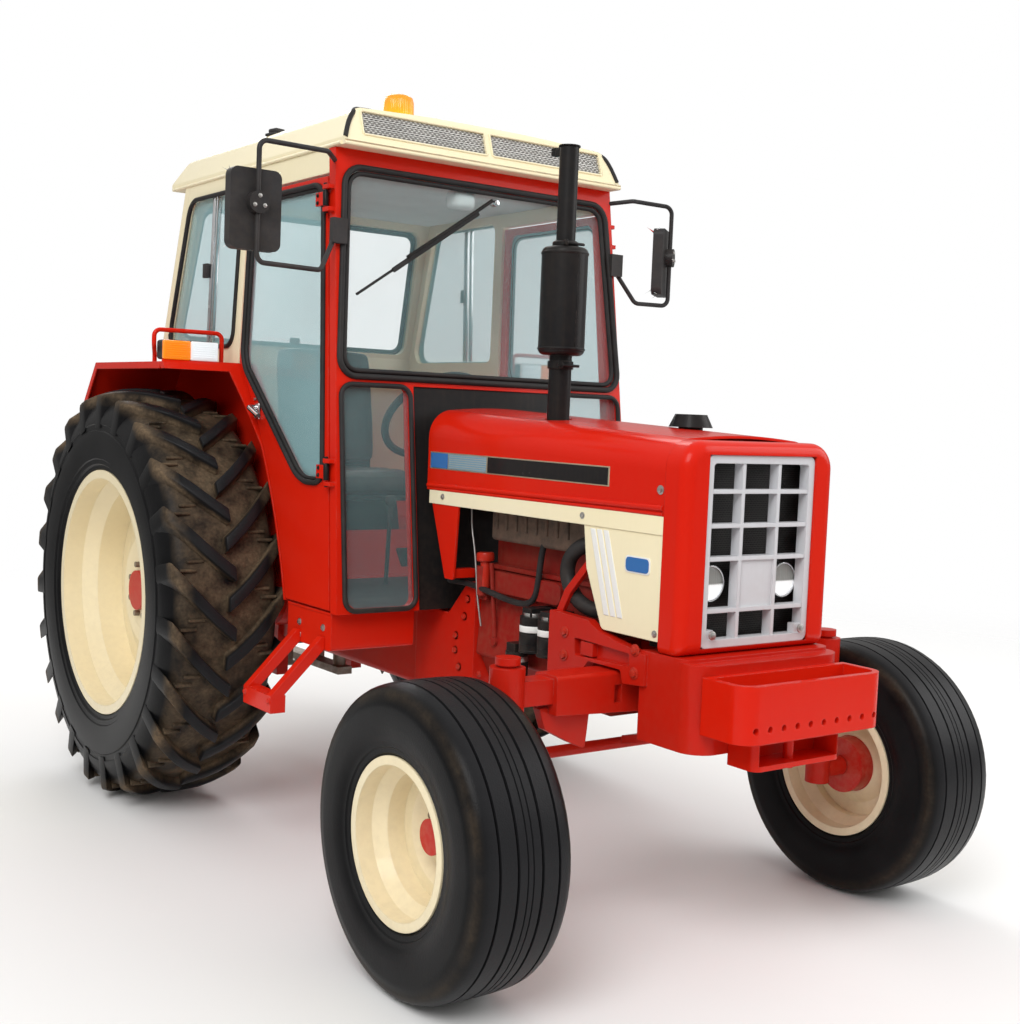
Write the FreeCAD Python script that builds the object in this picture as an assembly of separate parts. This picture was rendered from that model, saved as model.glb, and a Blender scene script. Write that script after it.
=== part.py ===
import FreeCAD, Part
import math
import os

Vector = FreeCAD.Vector
os.makedirs("parts", exist_ok=True)

# Layout in millimetres: -Y is forward, +X the driver's left, Z up from the ground
WHEELBASE = 2130.0
REAR_AXLE_Y = 855.0
FRONT_AXLE_Y = REAR_AXLE_Y - WHEELBASE
RUNNING_GAP = 0.3
SHEET = 8.0

# Rear wheels
REAR_TYRE_RADIUS = 767.5
REAR_TYRE_HALF_WIDTH = 215.0
REAR_WHEEL_X = 775.0
REAR_FLANGE_RADIUS = 457.0
REAR_BEAD_RADIUS = 432.0
REAR_WELL_RADIUS = 392.0
REAR_RIM_HALF_WIDTH = 194.0
REAR_DISC_X = 20.0
REAR_HUB_RADIUS = 75.0
REAR_HUB_LENGTH = 30.0
REAR_STUD_CIRCLE = 101.5
REAR_STUDS = 8
REAR_SHAFT_RADIUS = 45.0
REAR_TREAD_DEPTH = 40.0
LUGS_A_SIDE = 23
REAR_TYRE_FACETS = LUGS_A_SIDE
FRONT_TYRE_FACETS = 28

# Front wheels
FRONT_TYRE_RADIUS = 405.0
FRONT_TYRE_HALF_WIDTH = 145.0
FRONT_WHEEL_X = 822.0
FRONT_FLANGE_RADIUS = 220.0
FRONT_BEAD_RADIUS = 203.0
FRONT_WELL_RADIUS = 178.0
FRONT_RIM_HALF_WIDTH = 129.5
FRONT_DISC_X = -32.0
FRONT_HUB_RADIUS = 47.0
FRONT_HUB_LENGTH = 56.0
FRONT_DRUM_RADIUS = 88.0
FRONT_DRUM_LENGTH = 60.0
FRONT_STUD_CIRCLE = 70.0
FRONT_STUDS = 6
FRONT_SHAFT_RADIUS = 26.0
RIM_WALL = 7.0

# Front axle and steering
AXLE_BEAM_Z = 740.0
AXLE_BEAM_HEIGHT = 120.0
AXLE_BEAM_DEPTH = 100.0
AXLE_SLEEVE_X = 490.0
AXLE_SLEEVE_DROP = 14.0
AXLE_SLOT_X = (264.0, 288.0)
AXLE_SLOT_Z = (712.0, 762.0)
AXLE_TUBE_HALF = 34.0
AXLE_TUBE_Z = 758.0
KINGPIN_X = 620.0
KINGPIN_RADIUS = 24.0
KINGPIN_HOUSING_RADIUS = 48.0
KINGPIN_HOUSING_Z = (615.0, 830.0)
AXLE_PIVOT_RADIUS = 28.0
STEERING_ARM_LENGTH = 180.0
STEERING_ARM_Z = 560.0
STEERING_ARM_THICKNESS = 24.0
TRACK_ROD_RADIUS = 17.0

# Engine and driveline
ENGINE_Y = (-1140.0, -500.0)
ENGINE_HALF_WIDTH = 185.0
ENGINE_SUMP_Z = 610.0
ENGINE_WAIST_Z = 700.0
CRANK_Z = 790.0
ENGINE_DECK_Z = 1000.0
ENGINE_HEAD_Z = 1130.0
ENGINE_COVER_Z = 1195.0
MANIFOLD_Z = (1130.0, 1215.0)
GEARBOX_HALF_WIDTH = 150.0
GEARBOX_Z = (520.0, 820.0)
AXLE_HOUSING_Y = (640.0, 1105.0)
AXLE_HOUSING_Z = (REAR_TYRE_RADIUS - 222.5, REAR_TYRE_RADIUS + 187.5)
AXLE_HOUSING_HALF_WIDTH = 185.0
TRUMPET_RADIUS = 92.0
TRUMPET_END_X = 520.0
PTO_Z = AXLE_HOUSING_Z[0] + 75.0
PTO_RADIUS = 17.5

# Front frame, weight tray and tow hitch
RAIL_X = (262.0, 290.0)
RAIL_REAR_Y = -1020.0
RAIL_POCKET = 20.0
BOLSTER_Y = (-1645.0, -1415.0)
BOLSTER_Z = (630.0, 865.0)
BOLSTER_HALF_WIDTH = 280.0
TRAY_FRONT_Y = -1800.0
TRAY_HALF_WIDTH = 270.0
TRAY_Z = (690.0, 840.0)
TRAY_WALL = 18.0
TRAY_HOLE_RADIUS = 8.5
TRAY_HOLE_PITCH = 50.0
TRAY_HOLES = 10
TRAY_HOLE_Z = 726.0
HITCH_HALF_WIDTH = 165.0
HITCH_Z = (600.0, 670.0)
HITCH_FRONT_Y = -1745.0
HITCH_PIN_RADIUS = 14.0

# Hood, nose and side trims
HOOD_Y = (-1485.0, -315.0)
HOOD_HALF_WIDTH = 280.0
HOOD_TOP_REAR_Z = 1500.0
HOOD_TOP_FRONT_Z = 1450.0
HOOD_EDGE_Z = 1240.0
HOOD_SHOULDER = 90.0
HOOD_CROWN = 10.0
NOSE_FRONT_Y = -1567.0
NOSE_HALF_WIDTH = 285.0
NOSE_Z = (875.0, 1446.0)
GRILLE_HALF_WIDTH = 205.0
GRILLE_Z = (894.0, 1409.0)
GRILLE_FRAME = 22.0
GRILLE_BAR = 12.0
GRILLE_BAR_DEPTH = 34.0
GRILLE_COLUMN_X = 68.0
GRILLE_ROWS_Z = (993.0, 1132.0, 1220.5, 1312.0)
GRILLE_CORNER = 20.0
SCREEN_SETBACK = 62.0
HEADLAMP_X = 140.0
HEADLAMP_Z = 1062.5
HEADLAMP_RADIUS = 49.0
STRIPE_HEIGHT = 50.0
SIDE_PANEL_REAR_Y = -1150.0
SIDE_PANEL_FOOT_Y = -1245.0
SIDE_PANEL_FOOT_Z = 905.0

# Cooling
RADIATOR_TOP_Z = 1395.0
FAN_Z = 1110.0
FAN_RADIUS = 165.0
FAN_BLADES = 6
HOSE_RADIUS = 27.0
TOP_HOSE_X = 60.0
TOP_HOSE_Z = 1345.0
LOW_HOSE_X = -150.0
LOW_HOSE_Z = 985.0

# Exhaust and intake
EXHAUST_X = -130.0
EXHAUST_Y = -815.0
EXHAUST_TOP_Z = 2310.0
MUFFLER_Z = (1680.0, 2008.0)
MUFFLER_RADIUS = 71.5
LOWER_PIPE_RADIUS = 35.0
UPPER_PIPE_RADIUS = 29.5
PIPE_WALL = 3.0
INTAKE_X = 70.0
INTAKE_Y = -1195.0
INTAKE_RADIUS = 65.0
INTAKE_HEIGHT = 38.0

# Cab
FENDER_TOP_CLEARANCE = 95.0
FENDER_TOP_Z = 2 * REAR_TYRE_RADIUS + FENDER_TOP_CLEARANCE
DECK_Z = AXLE_HOUSING_Z[1] + 57.0
CAB_FLOOR_Z = 830.0
CAB_EAVES_Z = 2335.0
CAB_FOOT_HALF_WIDTH = 618.0
CAB_EAVES_HALF_WIDTH = 578.0
CAB_FRONT_FOOT_Y = -335.0
CAB_FRONT_EAVES_Y = -158.0
CAB_REAR_EAVES_Y = 1070.0
CAB_REAR_WAIST = (1240.0, FENDER_TOP_Z + 90.0)
CAB_REAR_FOOT = (1180.0, DECK_Z + 73.0)
POST_DEPTH = 42.0
SIDE_WALL = 34.0
DOOR_GAP = 9.0
DOOR_FOOT_Z = 838.0
DOOR_HEAD_Z = 2245.0
DOOR_REAR_HEAD_Y = 470.0
DOOR_REAR_KNEE = (490.0, FENDER_TOP_Z + 15.0)
DOOR_REAR_FOOT_Y = REAR_AXLE_Y - REAR_TYRE_RADIUS - 59.5
DOOR_EDGE_BOW = 54.0
DOOR_TYRE_GAP = 47.0
DOOR_SEAL_BORDER = 26.0
DOOR_GLASS_FOOT_Z = FENDER_TOP_Z - 385.0
DOOR_GLASS_FOOT_Y = (-230.0, -45.0)
HINGE_OFFSET = 14.0
HINGE_RADIUS = 9.0
HINGE_PIN_RADIUS = 4.0
HINGE_Z = (1283.0, 2169.0)
GLASS = 5.0
PANE_HEAD_Z = 2274.0
PANE_CORNER = 45.0
INNER_WALL_X = 535.0
FENDER_OUTER_X = 890.0
FENDER_REAR_KNEE = (REAR_AXLE_Y + 0.4235 * REAR_TYRE_RADIUS, FENDER_TOP_Z)
FENDER_REAR_FOOT = (REAR_AXLE_Y + 0.9186 * REAR_TYRE_RADIUS, 1.5375 * REAR_TYRE_RADIUS)
FENDER_LIP = 25.0
FENDER_FLARE_X = 645.0
FENDER_FLARE_Z = FENDER_TOP_Z - 290.0
FENDER_REAR_EDGE_Z = DECK_Z + 108.0
DECK_FRONT_Y = 560.0
DECK_REAR_Y = 1128.0

# Steps
SILL_INSET = 6.0
STEP_BAR_Y = (-238.0, -66.0)
STEP_BAR_WIDTH = 30.0
STEP_TREAD_X = (748.0, 800.0)
STEP_TREAD_Z = (512.0, 568.0)

# Mirrors
MIRROR_Z = 2105.0
MIRROR_TOP_Z = 2290.0
MIRROR_PAD_Z = (2020.0, 2100.0)
MIRROR_TUBE = 8.0

# Roof
ROOF_Y = (-225.0, 1215.0)
ROOF_TOP_Y = (-165.0, 1150.0)
ROOF_TOP_FRONT_Z = 2487.0
ROOF_TOP_REAR_Z = 2447.0
ROOF_TOP_HALF_WIDTH = 525.0
VISOR_FOOT_Z = 2352.0
VENT_X = (14.0, 498.0)
VENT_RUN = (26.0, 104.0)
VENT_DEPTH = 12.0
VENT_SLATS = 11
BEACON_X = -250.0
BEACON_Y = 5.0
BEACON_RADIUS = 54.5
BEACON_FOOT_HEIGHT = 22.0
BEACON_HEIGHT = 96.0

# Rear linkage
LIFT_SHAFT_Y = 1050.0
LIFT_SHAFT_Z = AXLE_HOUSING_Z[1] - 55.0
LIFT_SHAFT_RADIUS = 32.0
LINK_DROP = 480.0
LINK_SETBACK = 90.0
LIFT_ARM_LENGTH = 320.0
LIFT_ARM_X = 245.0
LINK_REST_ANGLE = 5.0
LINK_PIN_RADIUS = 14.0
LINK_ROOT_X = 225.0
LINK_BALL_X = 412.0
LINK_REAR_Y = 1800.0
LINK_BALL_RADIUS = 32.0
LINK_BALL_BORE = 14.2
DRAWBAR_Z = 420.0
DRAWBAR_END_Y = 1440.0
DRAWBAR_PIN_RADIUS = 13.0


def vec(*values):
    return Vector(*values)


def box(x, y, z):
    """Block between three (low, high) pairs."""
    return Part.makeBox(x[1] - x[0], y[1] - y[0], z[1] - z[0], vec(x[0], y[0], z[0]))


def rod(start, end, radius):
    """Round bar from one point to another."""
    line = vec(*end) - vec(*start)
    return Part.makeCylinder(radius, line.Length, vec(*start), line)


def pipe(start, end, radius, bore):
    return rod(start, end, radius).cut(rod(start, end, bore))


def fuse(shapes):
    whole = shapes[0]
    for shape in shapes[1:]:
        whole = whole.fuse(shape)
    return whole.removeSplitter()


def cut(shape, tools):
    for tool in tools:
        shape = shape.cut(tool)
    return shape


def mirrored(shape):
    """The same piece on the other side of the tractor."""
    return shape.mirror(vec(0, 0, 0), vec(1, 0, 0))


def both(shapes):
    return list(shapes) + [mirrored(shape) for shape in shapes]


def save(name, shapes):
    """Write the solids of one node."""
    solids = []
    for shape in shapes:
        solids += shape.Solids
    Part.makeCompound(solids).exportStep("parts/" + name + ".step")


PLANES = {
    "x": lambda u, v: vec(0, u, v),
    "y": lambda u, v: vec(u, 0, v),
    "z": lambda u, v: vec(u, v, 0),
}
NORMALS = {"x": vec(1, 0, 0), "y": vec(0, 1, 0), "z": vec(0, 0, 1)}


def outline(points, axis):
    """Closed wire through (u, v, corner radius) points in the plane across axis."""
    place = PLANES[axis]
    corners = []
    for i, (u, v, radius) in enumerate(points):
        here = vec(u, v, 0)
        before = vec(points[i - 1][0], points[i - 1][1], 0) - here
        after = vec(points[(i + 1) % len(points)][0], points[(i + 1) % len(points)][1], 0) - here
        before.normalize()
        after.normalize()
        if radius == 0:
            corners.append((here, here, here))
            continue
        half = before.getAngle(after) / 2
        reach = radius / math.tan(half)
        middle = before + after
        middle.normalize()
        nearest = here + middle * (radius / math.sin(half) - radius)
        corners.append((here + before * reach, nearest, here + after * reach))
    edges = []
    for i, (start, nearest, end) in enumerate(corners):
        if (end - start).Length > 0.001:
            ends = [place(p.x, p.y) for p in (start, nearest, end)]
            edges.append(Part.Arc(*ends).toShape())
        following = corners[(i + 1) % len(corners)][0]
        if (following - end).Length > 0.001:
            edges.append(Part.makeLine(place(end.x, end.y), place(following.x, following.y)))
    return Part.Wire(edges)


def slab(points, axis, low, high):
    """Plate with the given outline, from low to high along axis; a point's radius may be left out."""
    corners = [tuple(point) + (0.0,) * (3 - len(point)) for point in points]
    face = Part.Face(outline(corners, axis))
    face.translate(NORMALS[axis] * low)
    return face.extrude(NORMALS[axis] * (high - low))


def bent_rod(points, radius, bend):
    """Round bar through the points, with bends of one radius."""
    path = [vec(*point) for point in points]
    edges = []
    start = path[0]
    for before, corner, after in zip(path, path[1:], path[2:]):
        back = before - corner
        on = after - corner
        back.normalize()
        on.normalize()
        half = back.getAngle(on) / 2
        reach = bend / math.tan(half)
        middle = back + on
        middle.normalize()
        nearest = corner + middle * (bend / math.sin(half) - bend)
        edges.append(Part.makeLine(start, corner + back * reach))
        edges.append(Part.Arc(corner + back * reach, nearest, corner + on * reach).toShape())
        start = corner + on * reach
    edges.append(Part.makeLine(start, path[-1]))
    section = Part.Wire(Part.makeCircle(radius, path[0], path[1] - path[0]))
    return Part.Wire(edges).makePipeShell([section], True, False)


def turned(profile, centre_x, centre_y, centre_z):
    """Solid of revolution about an axle along X; profile holds (offset along the axle, radius, fillet)."""
    corners = [tuple(point) + (0.0,) * (3 - len(point)) for point in profile]
    face = Part.Face(outline(corners, "y"))
    solid = face.revolve(vec(0, 0, 0), vec(1, 0, 0), 360)
    solid.translate(vec(centre_x, centre_y, centre_z))
    return solid


# Tyres, drawn on the left side; columns: name, axle Y, centre X, tyre radius, tyre half width,
# flange radius, bead radius, rim half width, tread depth, facets round the casing, flat crown's share of
# the width, and the widest place's share of the way from flange to crown
WHEELS = (
    ("rear", REAR_AXLE_Y, REAR_WHEEL_X, REAR_TYRE_RADIUS, REAR_TYRE_HALF_WIDTH,
     REAR_FLANGE_RADIUS, REAR_BEAD_RADIUS, REAR_RIM_HALF_WIDTH, REAR_TREAD_DEPTH, REAR_TYRE_FACETS,
     0.72, 0.45),
    ("front", FRONT_AXLE_Y, FRONT_WHEEL_X, FRONT_TYRE_RADIUS, FRONT_TYRE_HALF_WIDTH,
     FRONT_FLANGE_RADIUS, FRONT_BEAD_RADIUS, FRONT_RIM_HALF_WIDTH, 0, FRONT_TYRE_FACETS,
     0.64, 0.66),
)


def tyre(radius, half_width, flange, bead, rim_half, facets, crown_share, bulge_share):
    """Tyre section: bead seats inside the rim flanges, sidewalls bulge past them, crown is flat."""
    bead_half = rim_half - RIM_WALL
    flat_reach = 1 / math.cos(math.pi / facets)
    half = [(half_width * crown_share, radius), (half_width, flange + bulge_share * (radius - flange)),
            (bead_half, (flange + 1) * flat_reach), (bead_half, (bead + RUNNING_GAP) * flat_reach)]
    return half + [(-x, r) for x, r in reversed(half)]


def spin_point(centre, offset, radius, turn):
    """Point on a wheel, by its offset along the axle, its radius and its turn about the axle."""
    return vec(centre[0] + offset, centre[1] + radius * math.cos(turn), centre[2] + radius * math.sin(turn))


def sewn(faces):
    """Solid inside flat faces."""
    shell = Part.Shell(faces)
    shell.sewShape()
    solid = Part.Solid(Part.Shell(shell.Faces))
    return solid if solid.Volume > 0 else solid.reversed()


def faceted_ring(profile, facets, centre):
    """Ring about an axle along X in flat facets; profile holds (offset along the axle, radius)."""
    rings = []
    for k in range(facets):
        turn = 2 * math.pi * k / facets
        rings.append([spin_point(centre, u, r, turn) for u, r in profile])
    faces = []
    for k in range(facets):
        here = rings[k]
        there = rings[(k + 1) % facets]
        for j in range(len(profile)):
            n = (j + 1) % len(profile)
            faces.append(Part.Face(Part.makePolygon([here[j], here[n], there[n], there[j], here[j]])))
    return sewn(faces)


def lug(side, turn, centre):
    """Tread bar from just over the tread's middle to the shoulder, in flat facets; it trails as it goes out."""
    rings = []
    for share, trail, depth, below, half_foot, half_top in LUG_STATIONS:
        ring = []
        top = REAR_TYRE_RADIUS - below
        foot = top - depth
        for radius, along in ((foot, -half_foot), (foot, half_foot), (top, half_top), (top, -half_top)):
            ring.append(spin_point(centre, side * share * REAR_TYRE_HALF_WIDTH, radius,
                                   turn + (along - trail) / REAR_TYRE_RADIUS))
        rings.append(ring)
    corners = []
    for near, far in zip(rings, rings[1:]):
        for j in range(4):
            n = (j + 1) % 4
            corners.append((near[j], near[n], far[n]))
            corners.append((near[j], far[n], far[j]))
    for ring in (rings[0], rings[-1]):
        corners.append((ring[0], ring[1], ring[2]))
        corners.append((ring[0], ring[2], ring[3]))
    return sewn([Part.Face(Part.makePolygon([a, b, c, a])) for a, b, c in corners])


# Stations of a tread bar: share of the half width, trail behind its root, depth with its root in the
# casing, top below the tyre's radius, half width at the foot, half width at the top
LUG_STATIONS = (
    (-0.065, -8.0, 70.0, 0.0, 26.0, 17.0),
    (0.51, 106.0, 70.0, 4.5, 26.0, 19.0),
    (0.958, 226.0, 95.0, 32.5, 33.0, 25.0),
)


def rim_ring(half, flange, bead, well):
    """Drop-centre rim: flanges, bead seats and the deep well, one wall thick."""
    seat = half * 0.62
    well_half = half * 0.36
    outer = [(half, flange), (half - RIM_WALL, flange), (half - RIM_WALL, bead), (seat, bead),
             (well_half, well), (-well_half, well), (-seat, bead),
             (-half + RIM_WALL, bead), (-half + RIM_WALL, flange), (-half, flange)]
    inner = [(-half, bead - RIM_WALL), (-seat, bead - RIM_WALL), (-well_half, well - RIM_WALL),
             (well_half, well - RIM_WALL), (seat, bead - RIM_WALL), (half, bead - RIM_WALL)]
    return outer + inner


def studs(count, circle, x_low, x_high, radius, axle_y, axle_z):
    """Wheel studs with their nuts, evenly round the hub."""
    made = []
    for i in range(count):
        angle = 2 * math.pi * (i + 0.5) / count
        y = axle_y + circle * math.cos(angle)
        z = axle_z + circle * math.sin(angle)
        made.append(rod((x_low, y, z), (x_high, y, z), radius))
    return made


def rear_wheel():
    centre = (REAR_WHEEL_X, REAR_AXLE_Y, REAR_TYRE_RADIUS)
    ring = turned(rim_ring(REAR_RIM_HALF_WIDTH, REAR_FLANGE_RADIUS, REAR_BEAD_RADIUS, REAR_WELL_RADIUS), *centre)
    bore = REAR_SHAFT_RADIUS + RUNNING_GAP
    edge = REAR_WELL_RADIUS - RIM_WALL + 2
    disc = turned([(REAR_DISC_X - 10, bore), (REAR_DISC_X - 10, 210, 30), (-30, 300, 40), (-42, edge),
                   (-30, edge), (-18, 300, 40), (REAR_DISC_X + 2, 210, 30), (REAR_DISC_X + 2, 150),
                   (REAR_DISC_X + 6, 150), (REAR_DISC_X + 6, bore)], *centre)
    boss_x = REAR_WHEEL_X + REAR_DISC_X + 6
    boss = rod((boss_x, REAR_AXLE_Y, REAR_TYRE_RADIUS),
               (boss_x + REAR_HUB_LENGTH, REAR_AXLE_Y, REAR_TYRE_RADIUS), REAR_HUB_RADIUS)
    shaft_hole = rod((boss_x - 60, REAR_AXLE_Y, REAR_TYRE_RADIUS),
                     (boss_x + REAR_HUB_LENGTH - 8, REAR_AXLE_Y, REAR_TYRE_RADIUS), bore)
    nuts = studs(REAR_STUDS, REAR_STUD_CIRCLE, boss_x - 4, boss_x + 20, 11, REAR_AXLE_Y, REAR_TYRE_RADIUS)
    return fuse([ring, disc, boss] + nuts).cut(shaft_hole)


def front_wheel():
    centre = (FRONT_WHEEL_X, FRONT_AXLE_Y, FRONT_TYRE_RADIUS)
    ring = turned(rim_ring(FRONT_RIM_HALF_WIDTH, FRONT_FLANGE_RADIUS, FRONT_BEAD_RADIUS, FRONT_WELL_RADIUS),
                  *centre)
    bore = FRONT_SHAFT_RADIUS + RUNNING_GAP
    edge = FRONT_WELL_RADIUS - RIM_WALL + 2
    disc = turned([(FRONT_DISC_X - 8, bore), (FRONT_DISC_X - 8, 96), (-16, 130), (-16, edge),
                   (-6, edge), (-6, 134), (FRONT_DISC_X + 2, 100), (FRONT_DISC_X + 2, bore)], *centre)
    disc_x = FRONT_WHEEL_X + FRONT_DISC_X
    cap = rod((disc_x, FRONT_AXLE_Y, FRONT_TYRE_RADIUS),
              (disc_x + FRONT_HUB_LENGTH, FRONT_AXLE_Y, FRONT_TYRE_RADIUS), FRONT_HUB_RADIUS)
    drum = rod((disc_x - FRONT_DRUM_LENGTH, FRONT_AXLE_Y, FRONT_TYRE_RADIUS),
               (disc_x - 8, FRONT_AXLE_Y, FRONT_TYRE_RADIUS), FRONT_DRUM_RADIUS)
    shaft_hole = rod((disc_x - 80, FRONT_AXLE_Y, FRONT_TYRE_RADIUS),
                     (disc_x + FRONT_HUB_LENGTH - 14, FRONT_AXLE_Y, FRONT_TYRE_RADIUS), bore)
    nuts = studs(FRONT_STUDS, FRONT_STUD_CIRCLE, disc_x, disc_x + 18, 10, FRONT_AXLE_Y, FRONT_TYRE_RADIUS)
    return fuse([ring, disc, cap, drum] + nuts).cut(shaft_hole)


def lugged_tyre(casing, centre):
    bars = []
    for side, stagger in ((-1, 0.75), (1, 0.25)):
        for i in range(LUGS_A_SIDE):
            bars.append(lug(side, 2 * math.pi * (i + stagger) / LUGS_A_SIDE, centre))
    return casing.multiFuse(bars).removeSplitter()


def make_wheels():
    rims = {"rear": rear_wheel(), "front": front_wheel()}
    for name, axle_y, x, radius, half_width, flange, bead, rim_half, tread, facets, crown, bulge in WHEELS:
        centre = (x, axle_y, radius)
        section = tyre(radius - tread, half_width, flange, bead, rim_half, facets, crown, bulge)
        rubber = faceted_ring(section, facets, centre)
        if tread > 0:
            rubber = lugged_tyre(rubber, centre)
        save("rim_%s_left" % name, [rims[name]])
        save("rim_%s_right" % name, [mirrored(rims[name])])
        save("tyre_%s_left" % name, [rubber])
        save("tyre_%s_right" % name, [mirrored(rubber)])


def make_front_axle():
    """Sleeve beam, telescoping ends and upright kingpin housings, on a fore-and-aft pivot pin."""
    low = AXLE_BEAM_Z - AXLE_BEAM_HEIGHT / 2
    high = AXLE_BEAM_Z + AXLE_BEAM_HEIGHT / 2
    front = FRONT_AXLE_Y - AXLE_BEAM_DEPTH / 2
    rear = FRONT_AXLE_Y + AXLE_BEAM_DEPTH / 2
    beam = slab([(-AXLE_SLEEVE_X, low + AXLE_SLEEVE_DROP), (-170, low, 60), (170, low, 60),
                 (AXLE_SLEEVE_X, low + AXLE_SLEEVE_DROP), (AXLE_SLEEVE_X, high), (-AXLE_SLEEVE_X, high)],
                "y", front, rear)
    long_edges = [edge for edge in beam.Edges if abs(edge.BoundBox.YLength) < 0.01 and edge.Length > 600]
    beam = beam.makeFillet(12, long_edges)
    slots = both([box(AXLE_SLOT_X, (front - 5, front + 22), AXLE_SLOT_Z)])
    pivot = rod((0, front - 5, AXLE_BEAM_Z), (0, rear + 5, AXLE_BEAM_Z), AXLE_PIVOT_RADIUS + RUNNING_GAP)
    arm = box((AXLE_SLEEVE_X, KINGPIN_X), (FRONT_AXLE_Y - AXLE_TUBE_HALF, FRONT_AXLE_Y + AXLE_TUBE_HALF),
              (AXLE_TUBE_Z - AXLE_TUBE_HALF, AXLE_TUBE_Z + AXLE_TUBE_HALF))
    low, high = KINGPIN_HOUSING_Z
    housing = rod((KINGPIN_X, FRONT_AXLE_Y, low), (KINGPIN_X, FRONT_AXLE_Y, high), KINGPIN_HOUSING_RADIUS)
    bore = rod((KINGPIN_X, FRONT_AXLE_Y, low - 5), (KINGPIN_X, FRONT_AXLE_Y, high + 5),
               KINGPIN_RADIUS + RUNNING_GAP)
    web = slab([(-520, AXLE_BEAM_Z - 30), (-498, 651), (-408, 605), (-358, 584, 8), (-345, AXLE_BEAM_Z - 30)],
               "y", FRONT_AXLE_Y - 15, FRONT_AXLE_Y + 15)
    end = fuse([arm, housing, mirrored(web)]).cut(bore)
    whole = fuse([cut(beam, slots + [pivot])] + both([end]))
    save("front_axle", [whole])


def make_knuckles():
    """Kingpin, spindle and steering arm of one front wheel, forged as one piece."""
    z = FRONT_TYRE_RADIUS
    pin = rod((KINGPIN_X, FRONT_AXLE_Y, z), (KINGPIN_X, FRONT_AXLE_Y, KINGPIN_HOUSING_Z[1] + 22), KINGPIN_RADIUS)
    foot = rod((KINGPIN_X, FRONT_AXLE_Y, z - 40), (KINGPIN_X, FRONT_AXLE_Y, KINGPIN_HOUSING_Z[0] - 6), 38)
    cap_z = KINGPIN_HOUSING_Z[1] + 6
    cap = rod((KINGPIN_X, FRONT_AXLE_Y, cap_z), (KINGPIN_X, FRONT_AXLE_Y, cap_z + 20), 34)
    hub_end = FRONT_WHEEL_X + FRONT_DISC_X + FRONT_HUB_LENGTH - 15
    drum_face = FRONT_WHEEL_X + FRONT_DISC_X - FRONT_DRUM_LENGTH
    stub = rod((KINGPIN_X, FRONT_AXLE_Y, z), (drum_face - 6, FRONT_AXLE_Y, z), 31)
    spindle = rod((KINGPIN_X, FRONT_AXLE_Y, z), (hub_end, FRONT_AXLE_Y, z), FRONT_SHAFT_RADIUS)
    end_y = FRONT_AXLE_Y + STEERING_ARM_LENGTH
    arm = slab([(KINGPIN_X - 34, FRONT_AXLE_Y), (KINGPIN_X + 34, FRONT_AXLE_Y),
                (KINGPIN_X + 22, end_y + 22, 20), (KINGPIN_X - 22, end_y + 22, 20)],
               "z", STEERING_ARM_Z, STEERING_ARM_Z + STEERING_ARM_THICKNESS)
    knuckle = fuse([foot, pin, cap, stub, spindle, arm])
    eye = rod((KINGPIN_X, end_y, STEERING_ARM_Z - 5),
              (KINGPIN_X, end_y, STEERING_ARM_Z + STEERING_ARM_THICKNESS + 5), 9 + RUNNING_GAP)
    knuckle = knuckle.cut(eye)
    save("knuckle_left", [knuckle])
    save("knuckle_right", [mirrored(knuckle)])


def make_track_rod():
    """Rod between the steering arms, with a ball stud up through each arm."""
    y = FRONT_AXLE_Y + STEERING_ARM_LENGTH
    z = STEERING_ARM_Z - 34
    bar = rod((-KINGPIN_X + 26, y, z), (KINGPIN_X - 26, y, z), TRACK_ROD_RADIUS)
    head = rod((KINGPIN_X, y, z - 24), (KINGPIN_X, y, z + 24), 27)
    stud = rod((KINGPIN_X, y, z), (KINGPIN_X, y, STEERING_ARM_Z + STEERING_ARM_THICKNESS + 12), 9)
    save("track_rod", [fuse([bar] + both([head, stud]))])


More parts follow.
